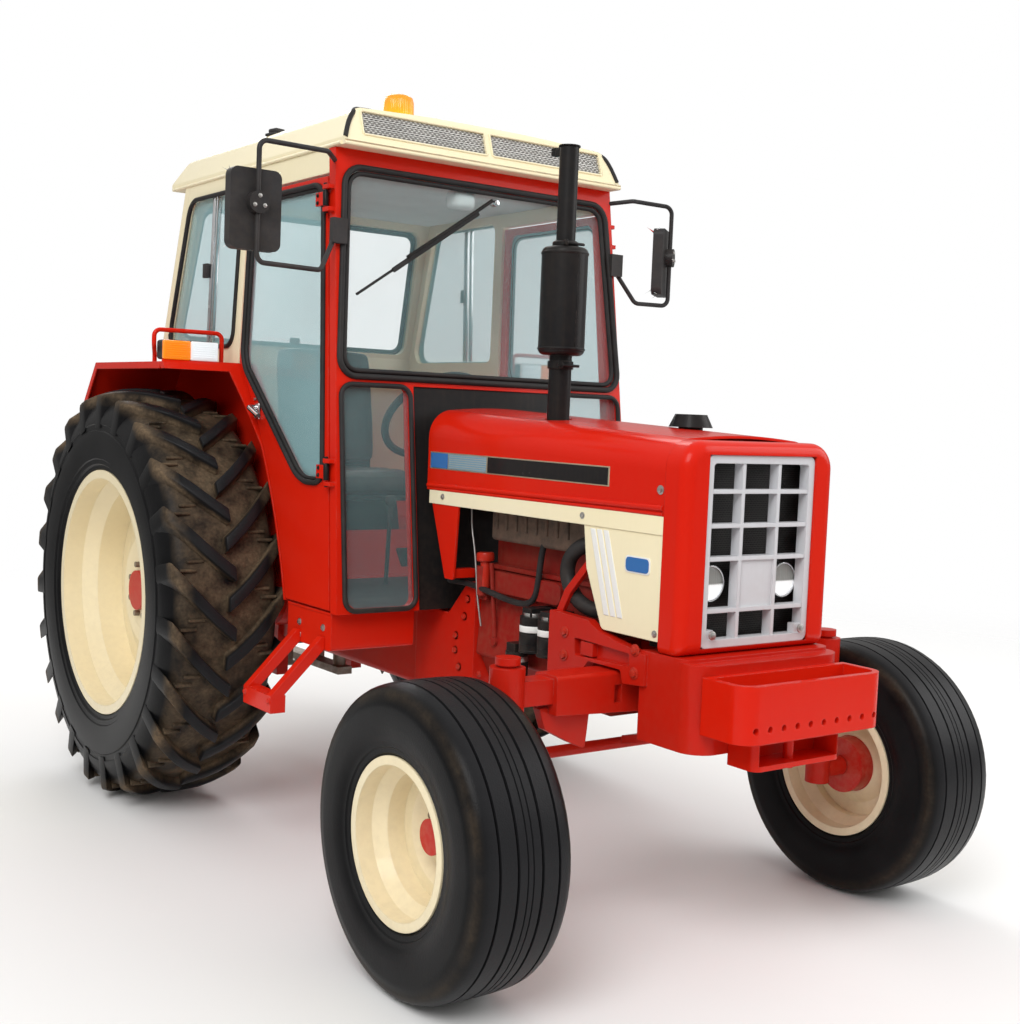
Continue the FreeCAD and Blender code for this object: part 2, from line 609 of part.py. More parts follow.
def make_engine():
    """Block with sump, side cover, cylinder head, rocker cover, filler neck, pulleys and fan."""
    front, rear = ENGINE_Y
    sump = slab([(-120, ENGINE_SUMP_Z, 30), (120, ENGINE_SUMP_Z, 30), (ENGINE_HALF_WIDTH - 20, ENGINE_WAIST_Z),
                 (-ENGINE_HALF_WIDTH + 20, ENGINE_WAIST_Z)], "y", front + 40, rear)
    block = slab([(-ENGINE_HALF_WIDTH, ENGINE_WAIST_Z, 15), (ENGINE_HALF_WIDTH, ENGINE_WAIST_Z, 15),
                  (ENGINE_HALF_WIDTH - 25, ENGINE_DECK_Z, 15), (-ENGINE_HALF_WIDTH + 25, ENGINE_DECK_Z, 15)],
                 "y", front, rear)
    head = box((-140, 140), (front + 30, rear - 40), (ENGINE_DECK_Z, ENGINE_HEAD_Z))
    cover = slab([(-95, ENGINE_HEAD_Z), (95, ENGINE_HEAD_Z), (80, ENGINE_COVER_Z, 20), (-80, ENGINE_COVER_Z, 20)],
                 "y", front + 60, rear - 70)
    pads = both([box((ENGINE_HALF_WIDTH - 10, RAIL_X[0]), (front + 10, front + 130), (730, 800))])
    pulley = rod((0, front - 24, CRANK_Z), (0, front, CRANK_Z), 90)
    gasket = box((-172, 172), (front + 22, rear - 32), (ENGINE_DECK_Z - 6, ENGINE_DECK_Z + 8))
    side_cover = slab([(front + 196, 922, 25), (rear - 76, 922, 25), (rear - 76, 990, 25), (front + 196, 990, 25)],
                      "x", -ENGINE_HALF_WIDTH - 8, 0)
    neck = rod((-ENGINE_HALF_WIDTH - 10, rear - 40, 905), (-ENGINE_HALF_WIDTH - 10, rear - 40, 1000), 22)
    neck_foot = box((-ENGINE_HALF_WIDTH - 10, -120), (rear - 62, rear - 18), (890, 930))
    stick = rod((-ENGINE_HALF_WIDTH + 5, rear - 100, 760), (-ENGINE_HALF_WIDTH - 22, rear - 100, 1015), 7)
    stick_foot = rod((-ENGINE_HALF_WIDTH + 30, rear - 100, 760), (-ENGINE_HALF_WIDTH - 6, rear - 100, 760), 14)
    fan_hub = rod((0, front - 66, FAN_Z), (0, front + 40, FAN_Z), 48)
    blades = []
    for i in range(FAN_BLADES):
        blade = box((-26, 26), (-3, 3), (30, FAN_RADIUS))
        blade.rotate(vec(0, 0, 0), vec(0, 0, 1), 28)
        blade.rotate(vec(0, 0, 0), vec(0, 1, 0), 360 * i / FAN_BLADES)
        blade.translate(vec(0, front - 48, FAN_Z))
        blades.append(blade)
    parts = [sump, block, head, cover, pulley, gasket, side_cover, neck, neck_foot, stick, stick_foot, fan_hub]
    save("engine", [fuse(parts + blades + pads)])


def make_engine_fittings():
    """Manifold, filters, injection pump and the hoses on both sides of the engine."""
    front, rear = ENGINE_Y
    manifold = slab([(-205, MANIFOLD_Z[0] - 40, 15), (-140, MANIFOLD_Z[0] - 40), (-95, MANIFOLD_Z[1], 10),
                     (-205, MANIFOLD_Z[1], 20)], "y", front + 65, rear - 95)
    manifold = manifold.cut(box((-141, 0), (front, rear), (1000, ENGINE_HEAD_Z + 0.1)))
    manifold = manifold.cut(box((-96, 0), (front, rear), (1000, ENGINE_COVER_Z)))
    save("engine_manifold", [manifold])
    parts = []
    side = ENGINE_HALF_WIDTH - 13
    for y, z_low, z_high, radius in ((-960, 775, 885, 40), (-870, 775, 885, 40), (-790, 690, 765, 36)):
        x = -side - radius - 24
        body = rod((x, y, z_low), (x, y, z_high), radius)
        head = box((x - 25, -side + 6), (y - 22, y + 22), (z_high - 12, z_high + 26))
        parts.append(fuse([body, head]).cut(make_block_space()))
    pump = box((side - 20, side + 110), (-960, -700), (790, 900)).cut(make_block_space())
    starter = rod((side + 60, -760, 700), (side + 60, -520, 700), 45)
    pad = box((side - 10, side + 30), (-700, -600), (680, 720)).cut(make_block_space())
    parts += [pump, fuse([starter, pad]).cut(make_block_space())]
    save("engine_fittings", parts)


def make_block_space():
    """Space taken by the engine block, which what is bolted to its side stops at."""
    return slab([(-ENGINE_HALF_WIDTH, 600), (ENGINE_HALF_WIDTH, 600), (ENGINE_HALF_WIDTH, 700),
                 (ENGINE_HALF_WIDTH - 25, ENGINE_DECK_Z), (-ENGINE_HALF_WIDTH + 25, ENGINE_DECK_Z),
                 (-ENGINE_HALF_WIDTH, 700)], "y", *ENGINE_Y)


def make_transmission():
    """Clutch housing that slopes down behind the engine, and the gearbox under the cab."""
    rear = ENGINE_Y[1]
    bell = slab([(rear, 560, 20), (-145, 560), (-145, GEARBOX_Z[1]), (-345, GEARBOX_Z[1]), (rear, 985, 30)],
                "x", -195, 195)
    gearbox = slab([(-GEARBOX_HALF_WIDTH, GEARBOX_Z[0], 25), (GEARBOX_HALF_WIDTH, GEARBOX_Z[0], 25),
                    (GEARBOX_HALF_WIDTH, GEARBOX_Z[1], 25), (-GEARBOX_HALF_WIDTH, GEARBOX_Z[1], 25)],
                   "y", -145, AXLE_HOUSING_Y[0])
    save("transmission", [fuse([bell, gearbox])])


def make_rear_axle():
    """Centre housing, brake drums, trumpets, half shafts and the power take-off stub."""
    front, rear = AXLE_HOUSING_Y
    half = AXLE_HOUSING_HALF_WIDTH
    centre = slab([(front, AXLE_HOUSING_Z[0], 40), (rear, AXLE_HOUSING_Z[0], 40), (rear, AXLE_HOUSING_Z[1], 30),
                   (front, AXLE_HOUSING_Z[1], 30)], "x", -half, half)
    z = REAR_TYRE_RADIUS
    drum = rod((half, REAR_AXLE_Y, z), (half + 85, REAR_AXLE_Y, z), 165)
    trumpet = Part.makeCone(140, TRUMPET_RADIUS, 120, vec(half + 85, REAR_AXLE_Y, z), vec(1, 0, 0))
    tube = rod((half + 205, REAR_AXLE_Y, z), (TRUMPET_END_X, REAR_AXLE_Y, z), TRUMPET_RADIUS)
    shaft_end = REAR_WHEEL_X + REAR_DISC_X + REAR_HUB_LENGTH - 4
    shaft = rod((TRUMPET_END_X, REAR_AXLE_Y, z), (shaft_end, REAR_AXLE_Y, z), REAR_SHAFT_RADIUS)
    pto = rod((0, rear, PTO_Z), (0, rear + 75, PTO_Z), PTO_RADIUS)
    guard = slab([(-95, PTO_Z + 70), (-95, PTO_Z + 95, 12), (95, PTO_Z + 95, 12), (95, PTO_Z + 70),
                  (88, PTO_Z + 70), (88, PTO_Z + 88), (-88, PTO_Z + 88), (-88, PTO_Z + 70)], "y", rear, rear + 120)
    cross = rod((-170, LIFT_SHAFT_Y, LIFT_SHAFT_Z), (170, LIFT_SHAFT_Y, LIFT_SHAFT_Z), 62)
    link_y, link_z = link_root()
    brackets = both([box((150, LINK_ROOT_X - 26), (link_y - 45, link_y + 45),
                         (link_z - 40, AXLE_HOUSING_Z[0] + 60)),
                     rod((LINK_ROOT_X - 30, link_y, link_z), (LINK_ROOT_X + 28, link_y, link_z),
                         LINK_PIN_RADIUS)])
    whole = fuse([centre, pto, guard, cross] + both([drum, trumpet, tube, shaft]) + brackets)
    shaft_hole = rod((-260, LIFT_SHAFT_Y, LIFT_SHAFT_Z), (260, LIFT_SHAFT_Y, LIFT_SHAFT_Z),
                     LIFT_SHAFT_RADIUS + RUNNING_GAP)
    save("rear_axle_housing", [whole.cut(shaft_hole)])


def link_root():
    """Place of the lower links' front pin: straight down and forward from the lift shaft."""
    return LIFT_SHAFT_Y - LINK_SETBACK, LIFT_SHAFT_Z - LINK_DROP


def arm_point(length):
    """Offset along the lift arm or lower link from its pivot, at rest."""
    angle = math.radians(LINK_REST_ANGLE)
    return length * math.cos(angle), length * math.sin(angle)


def make_linkage():
    """Lift arms on one cross shaft, lift rods, and lower links: an exact parallelogram at each side."""
    dy, dz = arm_point(LIFT_ARM_LENGTH)
    top = (LIFT_SHAFT_Y + dy, LIFT_SHAFT_Z + dz)
    link_y, link_z = link_root()
    low = (link_y + dy, link_z + dz)
    shaft = rod((-LIFT_ARM_X - 20, LIFT_SHAFT_Y, LIFT_SHAFT_Z), (LIFT_ARM_X + 20, LIFT_SHAFT_Y, LIFT_SHAFT_Z),
                LIFT_SHAFT_RADIUS)
    arms = []
    for x in (-LIFT_ARM_X, LIFT_ARM_X):
        hub = rod((x - 20, LIFT_SHAFT_Y, LIFT_SHAFT_Z), (x + 20, LIFT_SHAFT_Y, LIFT_SHAFT_Z), 52)
        bar = bar_between((LIFT_SHAFT_Y, LIFT_SHAFT_Z, 36), top + (24,), x - 12, x + 12)
        pin_x = x + math.copysign(34, x)
        pin = rod((x, top[0], top[1]), (pin_x, top[0], top[1]), LINK_PIN_RADIUS)
        arms += [hub, bar, pin]
    save("lift_arms", [fuse([shaft] + arms)])
    rods = []
    for sign in (-1, 1):
        x_low = sign * (LIFT_ARM_X + 14)
        x_high = sign * (LIFT_ARM_X + 36)
        bar = bar_between(top + (26,), low + (26,), min(x_low, x_high), max(x_low, x_high))
        eyes = [rod((x_low - sign, y, z), (x_high + sign, y, z), LINK_PIN_RADIUS + RUNNING_GAP)
                for y, z in (top, low)]
        rods.append(cut(bar, eyes))
    save("lift_rods", rods)
    make_lower_links(low)


def bar_between(first, second, x_low, x_high):
    """Flat bar with round ends between two (y, z, radius) places."""
    (y0, z0, r0), (y1, z1, r1) = first, second
    line = vec(0, y1 - y0, z1 - z0)
    side = vec(0, -line.z, line.y)
    side.normalize()
    corners = [vec(0, y0, z0) + side * r0, vec(0, y1, z1) + side * r1,
               vec(0, y1, z1) - side * r1, vec(0, y0, z0) - side * r0]
    web = Part.Face(Part.makePolygon(corners + [corners[0]]))
    web.translate(vec(x_low, 0, 0))
    web = web.extrude(vec(x_high - x_low, 0, 0))
    ends = [rod((x_low, y, z), (x_high, y, z), r) for y, z, r in (first, second)]
    return fuse([web] + ends)


def make_lower_links(low):
    """Links that spread outward to a ball end each, with the pin that takes the lift rod's lower eye."""
    link_y, link_z = link_root()
    angle = math.radians(LINK_REST_ANGLE)
    length = (LINK_REAR_Y - LINK_BALL_RADIUS - link_y) / math.cos(angle)
    ball = (link_y + length * math.cos(angle), link_z + length * math.sin(angle))
    links = []
    for sign in (-1, 1):
        root_x = sign * LINK_ROOT_X
        ball_x = sign * LINK_BALL_X
        knee = arm_point(LIFT_ARM_LENGTH + 110)
        knee_point = (root_x, link_y + knee[0], link_z + knee[1])
        bar_x = (root_x - 11, root_x + 11)
        straight = bar_between((link_y, link_z, 30), (knee_point[1], knee_point[2], 30), *bar_x)
        tail = slanted_bar(knee_point, (ball_x, ball[0], ball[1]), 11, 26)
        eye = rod((ball_x - 22, ball[0], ball[1]), (ball_x + 22, ball[0], ball[1]), LINK_BALL_RADIUS)
        pin = rod((root_x, low[0], low[1]), (sign * (LIFT_ARM_X + 44), low[0], low[1]), LINK_PIN_RADIUS)
        link = fuse([straight, tail, eye, pin])
        root_hole = rod((root_x - 20, link_y, link_z), (root_x + 20, link_y, link_z), LINK_PIN_RADIUS + RUNNING_GAP)
        ball_hole = rod((ball_x - 30, ball[0], ball[1]), (ball_x + 30, ball[0], ball[1]), LINK_BALL_BORE)
        links.append(cut(link, [root_hole, ball_hole]))
    save("lower_links", links)


def slanted_bar(start, end, half_thick, half_tall):
    """Flat bar on edge between two points that differ in X as well."""
    a = vec(*start)
    b = vec(*end)
    up = vec(0, 0, half_tall)
    out = vec(half_thick, 0, 0)
    section = Part.Wire(Part.makePolygon([a + up + out, a - up + out, a - up - out, a + up - out, a + up + out]))
    return Part.Face(section).extrude(b - a)


def make_drawbar():
    """Hanger under the axle housing and the swinging bar's clevis with its pin hole."""
    end = DRAWBAR_END_Y
    z = DRAWBAR_Z
    bar = slab([(-32, AXLE_HOUSING_Y[0] + 60), (32, AXLE_HOUSING_Y[0] + 60), (38, end, 30), (-38, end, 30)],
               "z", z - 15, z + 15)
    hole = rod((0, end - 42, z - 30), (0, end - 42, z + 30), DRAWBAR_PIN_RADIUS)
    rear = AXLE_HOUSING_Y[1]
    hanger = box((-90, 90), (rear - 60, rear - 30), (z - 32, AXLE_HOUSING_Z[0] + 20))
    window = box((-60, 60), (rear - 70, rear - 20), (z - 15, z + 60))
    front_post = rod((0, AXLE_HOUSING_Y[0] + 110, z), (0, AXLE_HOUSING_Y[0] + 110, AXLE_HOUSING_Z[0]), 26)
    hanger = hanger.cut(window)
    top = box((-90, 90), (rear - 60, rear - 30), (AXLE_HOUSING_Z[0], AXLE_HOUSING_Z[0] + 40))
    save("drawbar", [fuse([bar.cut(hole), hanger.cut(top), front_post])])


def make_front_frame():
    """Bolster casting, axle carrier and the side rails bolted to the engine."""
    front, rear = BOLSTER_Y
    half = BOLSTER_HALF_WIDTH
    bolster = slab([(-half, rear, 0), (-half, front, 70), (half, front, 70), (half, rear, 0)], "z", *BOLSTER_Z)
    shelf = slab([(-half, rear, 0), (-half, front + 50, 40), (half, front + 50, 40), (half, rear, 0)],
                 "z", BOLSTER_Z[1], NOSE_Z[0])
    beam_top = AXLE_BEAM_Z + AXLE_BEAM_HEIGHT / 2
    rail = slab([(rear - 30, 780), (rear - 30, 865), (rear + 100, 886), (SIDE_PANEL_FOOT_Y, 900),
                 (-1195, 924, 15), (RAIL_REAR_Y, 930, 6), (RAIL_REAR_Y, 726, 10), (-1150, 742, 40), (-1205, beam_top + 8, 10),
                 (-1345, beam_top + 8, 10), (-1355, 772, 10)], "x", *RAIL_X)
    pocket = slab([(-1146, 816, 6), (-1140, 866, 6), (-1378, 858, 6), (-1380, 822, 6)],
                  "x", RAIL_X[1] - RAIL_POCKET, RAIL_X[1] + 5)
    brace = slab([(-1045, 915), (-1085, 985), (-1180, 1085), (-1165, 1100), (-1059, 993), (-1018, 915)],
                 "x", RAIL_X[0] - 8, RAIL_X[0] + 6)
    rails = both([fuse([rail.cut(pocket), brace])])
    beam_front = FRONT_AXLE_Y - AXLE_BEAM_DEPTH / 2
    beam_rear = FRONT_AXLE_Y + AXLE_BEAM_DEPTH / 2
    carriers = [box((-110, 110), (rear - 5, beam_front - 3), (665, 860)),
                box((-110, 110), (beam_rear + 3, beam_rear + 55), (665, 860))]
    bridge = box((-110, 110), (rear - 5, beam_rear + 55), (822, 860))
    ties = box((-RAIL_X[1] + 1, RAIL_X[1] - 1), (beam_rear + 3, beam_rear + 55), (822, 860))
    pivot = rod((0, rear - 5, AXLE_BEAM_Z), (0, beam_rear + 55, AXLE_BEAM_Z), AXLE_PIVOT_RADIUS)
    guard = slab([(rear - 25, 642), (rear + 17, 629), (-1170, 570), (-1170, 545), (rear + 17, 605),
                  (rear - 25, 616)], "x", -120, 120)
    save("front_frame", [fuse([bolster, shelf, bridge, ties, pivot, guard] + rails + carriers)])


def make_weight_tray():
    """Bracket for front weights: a rounded front wall with a row of holes, sides, floor, and the tow hitch."""
    half = TRAY_HALF_WIDTH
    rear = BOLSTER_Y[0]
    outer = slab([(-half, rear, 0), (-half, TRAY_FRONT_Y, 55), (half, TRAY_FRONT_Y, 55), (half, rear, 0)],
                 "z", *TRAY_Z)
    inner = slab([(-half + TRAY_WALL, rear - TRAY_WALL, 0), (-half + TRAY_WALL, TRAY_FRONT_Y + TRAY_WALL, 37),
                  (half - TRAY_WALL, TRAY_FRONT_Y + TRAY_WALL, 37), (half - TRAY_WALL, rear - TRAY_WALL, 0)],
                 "z", TRAY_Z[0] + TRAY_WALL, TRAY_Z[1] + 5)
    holes = []
    for i in range(TRAY_HOLES):
        x = (i - (TRAY_HOLES - 1) / 2) * TRAY_HOLE_PITCH
        holes.append(rod((x, TRAY_FRONT_Y - 5, TRAY_HOLE_Z), (x, TRAY_FRONT_Y + TRAY_WALL + 5, TRAY_HOLE_Z),
                         TRAY_HOLE_RADIUS))
    tray = cut(outer, [inner] + holes)
    jaw = slab([(-HITCH_HALF_WIDTH, rear, 0), (-HITCH_HALF_WIDTH, HITCH_FRONT_Y, 25),
                (HITCH_HALF_WIDTH, HITCH_FRONT_Y, 25), (HITCH_HALF_WIDTH, rear, 0)], "z", HITCH_Z[0], TRAY_Z[0])
    mouth = box((-HITCH_HALF_WIDTH + 16, HITCH_HALF_WIDTH - 16), (HITCH_FRONT_Y - 5, rear - 16),
                (HITCH_Z[0] + 14, HITCH_Z[1]))
    pin_y = HITCH_FRONT_Y + 40
    pin = rod((0, pin_y, HITCH_Z[0] - 12), (0, pin_y, TRAY_Z[0] + TRAY_WALL), HITCH_PIN_RADIUS)
    save("weight_tray", [fuse([tray, jaw.cut(mouth), pin])])


def hood_section(y, top, inset):
    """Arch outline of the hood across the tractor, drawn in by inset, as an open arch closed at the foot."""
    half = HOOD_HALF_WIDTH - inset
    crown = top - inset
    shoulder = HOOD_SHOULDER - inset
    bend = shoulder * (1 - math.sqrt(0.5))
    foot = HOOD_EDGE_Z
    side = half - shoulder
    points = {
        "foot_l": vec(half, y, foot), "knee_l": vec(half, y, crown - shoulder),
        "mid_l": vec(half - bend, y, crown - bend), "top_l": vec(side, y, crown),
        "top": vec(0, y, crown + HOOD_CROWN),
        "top_r": vec(-side, y, crown), "mid_r": vec(-half + bend, y, crown - bend),
        "knee_r": vec(-half, y, crown - shoulder), "foot_r": vec(-half, y, foot),
    }
    edges = [
        Part.makeLine(points["foot_l"], points["knee_l"]),
        Part.Arc(points["knee_l"], points["mid_l"], points["top_l"]).toShape(),
        Part.Arc(points["top_l"], points["top"], points["top_r"]).toShape(),
        Part.Arc(points["top_r"], points["mid_r"], points["knee_r"]).toShape(),
        Part.makeLine(points["knee_r"], points["foot_r"]),
        Part.makeLine(points["foot_r"], points["foot_l"]),
    ]
    return Part.Wire(edges)


def hood_top_z(y):
    share = (y - HOOD_Y[0]) / (HOOD_Y[1] - HOOD_Y[0])
    return HOOD_TOP_FRONT_Z + share * (HOOD_TOP_REAR_Z - HOOD_TOP_FRONT_Z)


def make_hood():
    """Pressed hood: an arch that falls toward the nose."""
    skins = []
    for inset, over in ((0, 0), (SHEET, 5)):
        ends = [HOOD_Y[0] - over, HOOD_Y[1] + over]
        skins.append(Part.makeLoft([hood_section(y, hood_top_z(y), inset) for y in ends], True, True))
    shell = skins[0].cut(skins[1])
    hole = rod((EXHAUST_X, EXHAUST_Y, 1300), (EXHAUST_X, EXHAUST_Y, 1600), LOWER_PIPE_RADIUS + 10)
    save("hood", [shell.cut(hole)])


def make_nose():
    """Cowl round the grille, with rolled edges."""
    low, high = NOSE_Z
    rear = HOOD_Y[0]
    skins = []
    for inset, over in ((0, 0), (SHEET, 10)):
        half = NOSE_HALF_WIDTH - inset
        body = slab([(-half, low, 20), (half, low, 20), (half, high - inset, 75 - inset),
                     (-half, high - inset, 75 - inset)], "y", NOSE_FRONT_Y + inset, rear + over)
        front = [edge for edge in body.Edges
                 if abs(edge.CenterOfMass.y - NOSE_FRONT_Y - inset) < 0.01]
        skins.append(body.makeFillet(34 - inset, front))
    shell = skins[0].cut(skins[1])
    mouth = box((-GRILLE_HALF_WIDTH, GRILLE_HALF_WIDTH), (NOSE_FRONT_Y - 10, NOSE_FRONT_Y + 60), GRILLE_Z)
    save("nose_cowl", [shell.cut(mouth)])


def make_grille():
    """Cast frame, column bars, cross bars and the plain panel between the headlamps."""
    face_y = NOSE_FRONT_Y + 6
    deep = face_y + GRILLE_BAR_DEPTH
    screen_y = face_y + SCREEN_SETBACK
    half = GRILLE_HALF_WIDTH - RUNNING_GAP
    z_low = GRILLE_Z[0] + RUNNING_GAP
    z_high = GRILLE_Z[1] - RUNNING_GAP
    frame = rounded_plate(half, z_low, z_high, GRILLE_CORNER, face_y, deep)
    frame = frame.cut(rounded_plate(half - GRILLE_FRAME, z_low + GRILLE_FRAME, z_high - GRILLE_FRAME,
                                    GRILLE_CORNER / 2, face_y - 5, deep + 5))
    bars = [box((x - GRILLE_BAR / 2, x + GRILLE_BAR / 2), (face_y + 2, deep), (z_low + 5, z_high - 5))
            for x in (-GRILLE_COLUMN_X, GRILLE_COLUMN_X)]
    bars += [box((-half + 5, half - 5), (face_y + 2, deep), (z - GRILLE_BAR / 2, z + GRILLE_BAR / 2))
             for z in GRILLE_ROWS_Z]
    lamp_low, lamp_high = GRILLE_ROWS_Z[:2]
    panel = box((-GRILLE_COLUMN_X, GRILLE_COLUMN_X), (face_y + 8, deep - 10), (lamp_low, lamp_high))
    knobs = both([rod((half - 34, face_y - 9, z_low + 34), (half - 34, face_y + 12, z_low + 34), 12),
                  box((half - 48, half - 5), (face_y + 2, deep - 8), (z_low + 5, z_low + 48))])
    save("grille", [fuse([frame] + bars + [panel] + knobs)])
    lamps = []
    for x in (-HEADLAMP_X, HEADLAMP_X):
        lens_y = deep + RUNNING_GAP
        lens = rod((x, lens_y, HEADLAMP_Z), (x, screen_y - RUNNING_GAP, HEADLAMP_Z), HEADLAMP_RADIUS)
        front = [edge for edge in lens.Edges if abs(edge.CenterOfMass.y - lens_y) < 0.01
                 and edge.Length > HEADLAMP_RADIUS * 4]
        lamps.append(lens.makeFillet(5, front))
    save("headlamps", lamps)
    screen = box((-GRILLE_HALF_WIDTH - 10, GRILLE_HALF_WIDTH + 10), (screen_y, screen_y + 5),
                 (NOSE_Z[0] + 25, GRILLE_Z[1] + 10))
    core_y = (BOLSTER_Y[1] - 30, BOLSTER_Y[1] + 40)
    core = box((-215, 215), core_y, (NOSE_Z[0], RADIATOR_TOP_Z))
    neck = rod((0, BOLSTER_Y[1], RADIATOR_TOP_Z), (0, BOLSTER_Y[1], RADIATOR_TOP_Z + 17), 28)
    struts = both([box((195, 215), (screen_y + 5, core_y[0]), (NOSE_Z[0], 930))])
    outlets = [rod((x, core_y[1], z), (x, core_y[1] + 30, z), HOSE_RADIUS - 4)
               for x, z in ((TOP_HOSE_X, TOP_HOSE_Z), (LOW_HOSE_X, LOW_HOSE_Z))]
    shroud = box((-190, 190), (core_y[1], core_y[1] + 45), (930, 1330))
    shroud = shroud.cut(rod((0, core_y[1] - 5, FAN_Z), (0, core_y[1] + 50, FAN_Z), FAN_RADIUS + 16))
    space = box((-230, 230), (core_y[1], core_y[1] + 60), (1290, 1340))
    save("radiator", [fuse([core, neck, screen, shroud.cut(space)] + struts + outlets)])


def rounded_plate(half, z_low, z_high, corner, y_low, y_high):
    return slab([(-half, z_low, corner), (half, z_low, corner), (half, z_high, corner), (-half, z_high, corner)],
                "y", y_low, y_high)


def make_side_trims():
    """Stripe along the foot of the hood, front side panel and the tapered rear panel, on each side."""
    x_in = HOOD_HALF_WIDTH - SHEET
    x_out = HOOD_HALF_WIDTH
    top = HOOD_EDGE_Z
    foot = top - STRIPE_HEIGHT
    front, rear = HOOD_Y
    stripe = box((x_in - 6, x_out + 3), (front, rear - 20), (foot, top))
    panel = slab([(front, SIDE_PANEL_FOOT_Z, 10), (front, foot), (SIDE_PANEL_REAR_Y, foot),
                  (SIDE_PANEL_REAR_Y - 18, foot - 120, 40), (SIDE_PANEL_FOOT_Y, SIDE_PANEL_FOOT_Z, 20)],
                 "x", x_in, x_out)
    save("side_trims", both([fuse([panel, stripe])]))
    taper = slab([(-350, foot), (-505, foot), (-490, 950, 10), (-440, 950, 10)], "x", x_in, x_out)
    bracket = box((190, x_in), (-485, -455), (955, 985))
    save("side_gussets", both([fuse([taper, bracket])]))


def make_exhaust():
    """Upright pipe, muffler with domed ends, tail pipe, and the hinged cap on it."""
    x, y = EXHAUST_X, EXHAUST_Y
    low = MANIFOLD_Z[1]
    pipe_low = pipe((x, y, low), (x, y, MUFFLER_Z[0] + 10), LOWER_PIPE_RADIUS, LOWER_PIPE_RADIUS - PIPE_WALL)
    can = rod((x, y, MUFFLER_Z[0]), (x, y, MUFFLER_Z[1]), MUFFLER_RADIUS)
    ends = [edge for edge in can.Edges if edge.Length > MUFFLER_RADIUS * 6]
    can = can.makeFillet(18, ends)
    tail = pipe((x, y, MUFFLER_Z[1] - 10), (x, y, EXHAUST_TOP_Z), UPPER_PIPE_RADIUS, UPPER_PIPE_RADIUS - PIPE_WALL)
    hinge_y = y + UPPER_PIPE_RADIUS + 12
    ears = [box((x + s - 3, x + s + 3), (y + UPPER_PIPE_RADIUS - 3, hinge_y + 7),
                (EXHAUST_TOP_Z - 26, EXHAUST_TOP_Z - 2)) for s in (-14, 14)]
    pin = rod((x - 17, hinge_y, EXHAUST_TOP_Z - 9), (x + 17, hinge_y, EXHAUST_TOP_Z - 9), 4)
    clamp = pipe((x, y, MUFFLER_Z[0] - 42), (x, y, MUFFLER_Z[0] - 18), LOWER_PIPE_RADIUS + 5, LOWER_PIPE_RADIUS)
    save("exhaust_stack", [fuse([pipe_low, can, tail, clamp, pin] + ears)])
    top = EXHAUST_TOP_Z + RUNNING_GAP
    lid = rod((x, y, top), (x, y, top + 4), UPPER_PIPE_RADIUS + 4)
    tongue = box((x - 8, x + 8), (y, hinge_y + 10), (top, top + 4))
    barrel = rod((x - 9, hinge_y, EXHAUST_TOP_Z - 9), (x + 9, hinge_y, EXHAUST_TOP_Z - 9), 9.5)
    weight = box((x - 9, x + 9), (hinge_y + 18, hinge_y + 38), (EXHAUST_TOP_Z - 19, EXHAUST_TOP_Z + 5))
    arm = box((x - 5, x + 5), (hinge_y, hinge_y + 24), (EXHAUST_TOP_Z - 13, EXHAUST_TOP_Z - 5))
    hole = rod((x - 30, hinge_y, EXHAUST_TOP_Z - 9), (x + 30, hinge_y, EXHAUST_TOP_Z - 9), 4 + RUNNING_GAP)
    pipe_space = rod((x, y, EXHAUST_TOP_Z - 60), (x, y, top), UPPER_PIPE_RADIUS + 1)
    save("rain_cap", [cut(fuse([lid, tongue, barrel, arm, weight]), [hole, pipe_space])])
    base = hood_top_z(INTAKE_Y) + HOOD_CROWN
    stem = rod((INTAKE_X, INTAKE_Y, base - 60), (INTAKE_X, INTAKE_Y, base + 8), 36)
    hat = Part.makeCone(INTAKE_RADIUS, INTAKE_RADIUS - 18, INTAKE_HEIGHT, vec(INTAKE_X, INTAKE_Y, base + 4))
    skins = Part.makeLoft([hood_section(y, hood_top_z(y), 0) for y in HOOD_Y], True, True)
    save("intake_cap", [fuse([stem, hat]).cut(skins)])


def front_plane_y(z):
    """Outer face of the cab's front wall, which leans back."""
    share = (z - CAB_FLOOR_Z) / (CAB_EAVES_Z - CAB_FLOOR_Z)
    return CAB_FRONT_FOOT_Y + share * (CAB_FRONT_EAVES_Y - CAB_FRONT_FOOT_Y)


def side_plane_x(z):
    """Outer face of the cab's side wall, which leans in."""
    share = (z - CAB_FLOOR_Z) / (CAB_EAVES_Z - CAB_FLOOR_Z)
    return CAB_FOOT_HALF_WIDTH + share * (CAB_EAVES_HALF_WIDTH - CAB_FOOT_HALF_WIDTH)


def cab_width(inset):
    """Everything between the two leaning side planes, drawn in by inset."""
    low, high = CAB_FLOOR_Z - 200, CAB_EAVES_Z + 200
    foot = side_plane_x(low) - inset
    head = side_plane_x(high) - inset
    return slab([(-foot, low), (foot, low), (head, high), (-head, high)], "y", -600, 1500)


def wall_between(outer_inset, inner_inset, points):
    """Left side wall piece: a side-view outline kept between two planes parallel to the leaning side."""
    blank = slab(points, "x", 400, 700)
    return blank.common(cab_width(outer_inset)).cut(cab_width(inner_inset))


